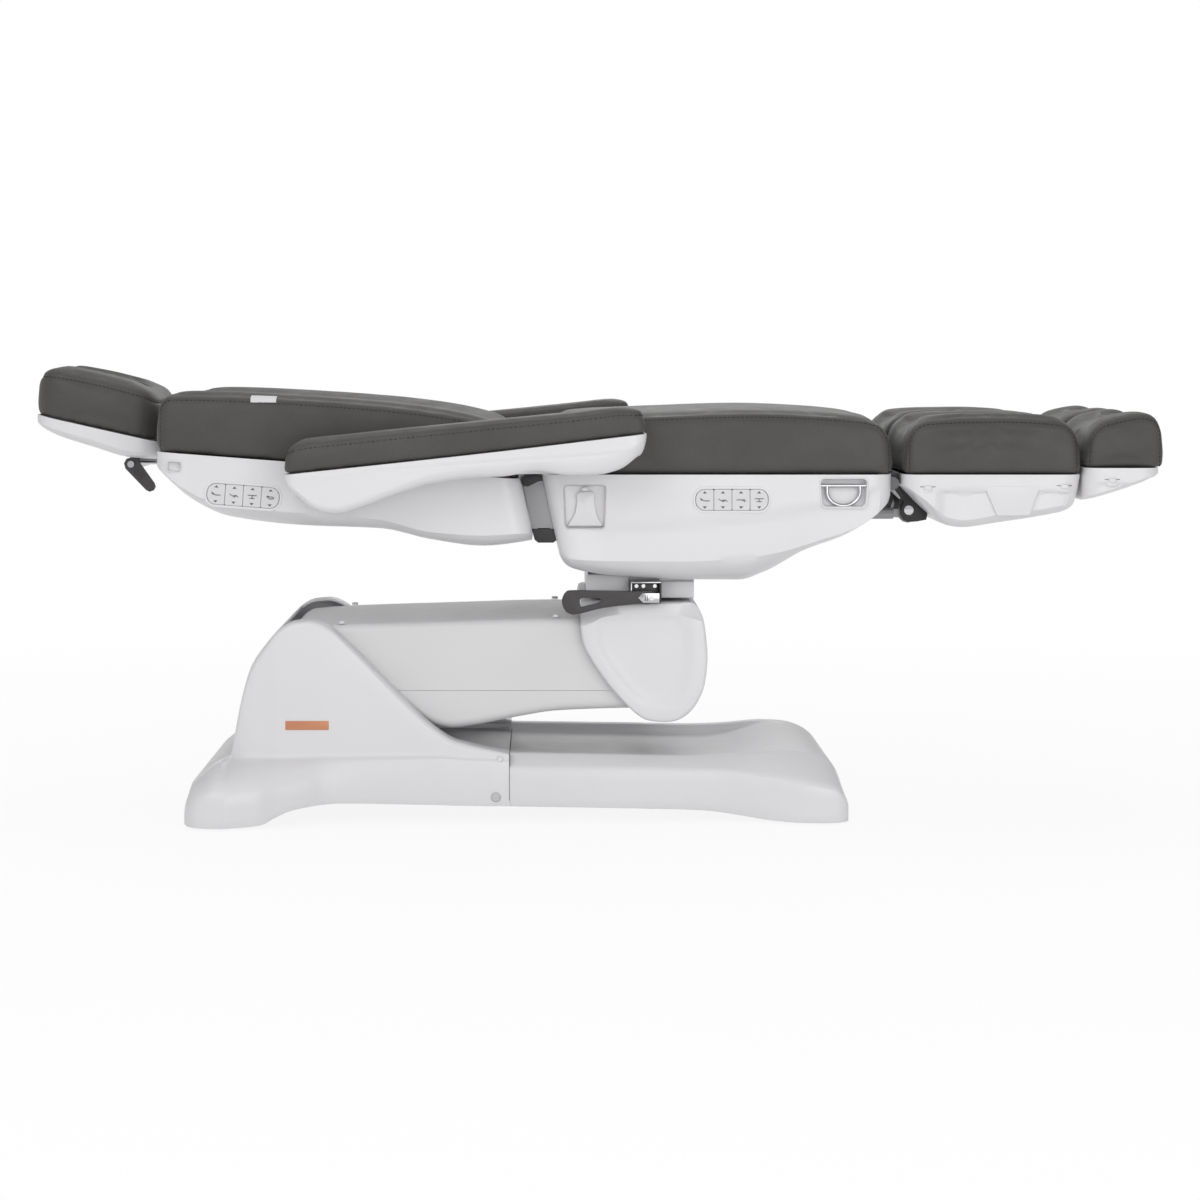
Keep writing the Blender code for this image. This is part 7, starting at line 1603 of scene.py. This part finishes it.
# Black hinge bracket with its zinc bolts, outside the clevis of each leg.
def legBracket():
    plate = slab([(0.5045, 0.5715), (0.5140, 0.5745), (0.5300, 0.5570), (0.5470, 0.5380),
                  (0.5600, 0.5210), (0.5660, 0.5070), (0.5640, 0.4975), (0.5480, 0.4945),
                  (0.5340, 0.4935), (0.5250, 0.4970), (0.5200, 0.5060), (0.5205, 0.5150),
                  (0.5260, 0.5270), (0.5150, 0.5420), (0.5045, 0.5560)],
                 -0.1738, -0.1700, "plate", blackPaint, 0.0008)
    bolts = []
    for x, z, r in ((0.5105, 0.5640, 0.0042), (0.5345, 0.5135, 0.0052)):
        bolts.append(pinAcross(x, z, -0.1752, -0.1732, r * 1.5, "washer", zincPlain))
        bolts.append(pinAcross(x, z, -0.1788, -0.1750, r, "bolt", zincPlain, 6))
    whole = merge("legBracket", plate, *bolts)
    place(whole, "leg_near", "black_steel", "leg_far")


def legPanels():
    panel = slab([(0.6429, 0.5605), (0.7346, 0.5605), (0.7290, 0.5460), (0.7175, 0.5150),
                  (0.7140, 0.5118), (0.6650, 0.5110), (0.6615, 0.5140), (0.6480, 0.5460)],
                 -0.3004, -0.2935, "legPanel", shellWhite, 0.0018)
    place(panel, "leg_near", "white_abs", "leg_far")
    for spec, name, body in (([(0.5495, 0.5570), (0.7732, 0.5590)], "legBoss", "leg"),
                             ([(0.8518, 0.5690)], "footBoss", "foot")):
        parts = []
        for x, z in spec:
            parts.append(block(x - 0.0100, x + 0.0100, -0.3006, -0.2900, z - 0.0105, z + 0.0040, "bulge",
                               shellWhite, 0.0040))
            parts.append(block(x - 0.0062, x + 0.0062, -0.3040, -0.2960, z - 0.0036, z + 0.0044, "boss",
                               shellWhite, 0.0024))
            for s in (-1, 1):
                parts.append(block(x + s * 0.0095 - 0.0030, x + s * 0.0095 + 0.0030, -0.3004, -0.2985,
                                   z + 0.0012, z + 0.0026, "slit", seamShade, 0.0004))
        place(merge(name, *parts), body + "_near", "white_abs", body + "_far")


# The flared bulge inside the seat cover's recess, with a small catch on top.
def seatGusset():
    x = seatDetail["recessX"]
    rings = []
    for share, y in ((1.0, -0.2900), (1.0, -0.2955), (0.96, -0.2984), (0.90, -0.2996)):
        line = ease([(x - 0.0300, 0.4935), (x - 0.0180, 0.5130), (x - 0.0135, 0.5350), (x - 0.0120, 0.5500),
                     (x + 0.0140, 0.5500), (x + 0.0165, 0.5350),
                     (x + 0.0200, 0.5130), (x + 0.0300, 0.4935)], 4, False)
        rings.append([(x + (q[0] - x) * share, y, 0.522 + (q[1] - 0.522) * share) for q in line])
    gusset = stack(rings, "gusset", shellWhite, angle=40.0)
    catch = block(x - 0.0055, x + 0.0055, -0.3010, -0.2940, 0.5520, 0.5580, "catch", shellWhite, 0.0020)
    place(merge("seatGusset", gusset, catch), "seat", "white_abs", "seat")


def baseTrim():
    rivets([(-0.1590, -0.2478, 0.0422)], "basePlugs", "base", pocketGrey,
              {"radius": 0.0078, "height": 0.0022})
    rivets([(-0.1524, -0.2425, 0.1052)], "baseBosses", "base", shellWhite,
              {"radius": 0.0048, "height": 0.0030})
    rivets([(-0.4197, -0.1790, 0.3235), (-0.0592, -0.1790, 0.3345)], "armRivets", "lift_arm", shellWhite,
              {"radius": 0.0062, "height": 0.0040}, (0, 0, 1))
    plate = block(-0.5085, -0.4365, -0.2409, -0.2396, 0.1526, 0.1675, "namePlate", copperPlain, 0.0003)
    place(plate, "base", "motor_grey")
    inlet = block(-0.6675, -0.6300, -0.0250, 0.0250, 0.0270, 0.0590, "mainsInlet", blackPaint, 0.0015)
    cutBy(inlet, block(-0.70, -0.6450, -0.0190, 0.0190, 0.0325, 0.0535))
    paint(inlet, blackPaint)
    pins = [block(-0.6600, -0.6440, y - 0.0012, y + 0.0012, z - 0.0030, z + 0.0030, "pin", zincPlain,
                  0.0004) for y, z in ((-0.0075, 0.0405), (0.0, 0.0465), (0.0075, 0.0405))]
    inlet = merge("mainsInlet", inlet, *pins)
    place(inlet, "base", "black_plastic")
    tongue = block(-0.3350, -0.1385, -0.2352, 0.2352, 0.0905, 0.0935, "trayTongue", shellWhite, 0.0008)
    place(tongue, "base", "white_abs")


tagSpec = {"x": -0.5612, "z": 0.6905, "length": 0.0420, "height": 0.0250, "across": 8, "up": 6}


# A plain sewn tag that follows the top edge of the backrest.
def blankTag():
    cushion = treeOf(bpy.data.objects["backCushion"])
    bm = bmesh.new()
    rows = []
    way = Vector((0, 0.77, -0.64))
    for r in range(tagSpec["up"] + 1):
        row = []
        for c in range(tagSpec["across"] + 1):
            x = tagSpec["x"] + tagSpec["length"] * c / tagSpec["across"]
            z = tagSpec["z"] + tagSpec["height"] * r / tagSpec["up"]
            found = hitFrom(cushion, Vector((x, -0.2850, z)) - way * 0.2, way)
            row.append(bm.verts.new(found[0] + found[1] * 0.0005))
        rows.append(row)
    skin(bm, rows, False)
    tag = toObject(bm, "blankTag", keyGrey)
    if tag.data.polygons[0].normal.y > 0:
        tag.data.flip_normals()
    place(thicken(tag, 0.0007, True), "back", "white_abs")


ribs = {"count": 6, "first": 0.0125, "pitch": 0.0034, "half": 0.0062, "radius": 0.0007}


# Low grip ribs across the headrest lever, and its washer.
def leverRibs():
    low, high = (Vector(corner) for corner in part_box("headrest_lock_lever"))
    pivot = Vector((-0.783, 0, 0.5885))
    end = Vector((high.x - 0.006, 0, low.z + 0.006))
    way = (end - pivot).normalized()
    across = Vector((-way.z, 0, way.x))
    bars = []
    for k in range(ribs["count"]):
        middle = pivot + way * (ribs["first"] + ribs["pitch"] * k)
        a, b = middle + across * ribs["half"], middle - across * ribs["half"]
        bars.append(tube([(a.x, low.y - 0.0002, a.z), (b.x, low.y - 0.0002, b.z)], ribs["radius"], "rib",
                         leverGrey, sides=8, smooth=1))
    bars.append(pinAcross(pivot.x, pivot.z, low.y - 0.0016, low.y + 0.0004, 0.0044, "washer", zincPlain, 28))
    place(merge("leverRibs", *bars), "headrest_lever", "black_plastic")


blankTag()
leverRibs()
lockBracket()
hingeCheeks()
legBracket()
legPanels()
seatGusset()
baseTrim()
print("trim made")

for name, ob in nodes.items():
    for slot in ob.material_slots:
        stem = slot.material.name.split(".")[0] if slot.material else ""
        slot.material = cadFinish.get(stem, steelPaint)
print("frames finished")
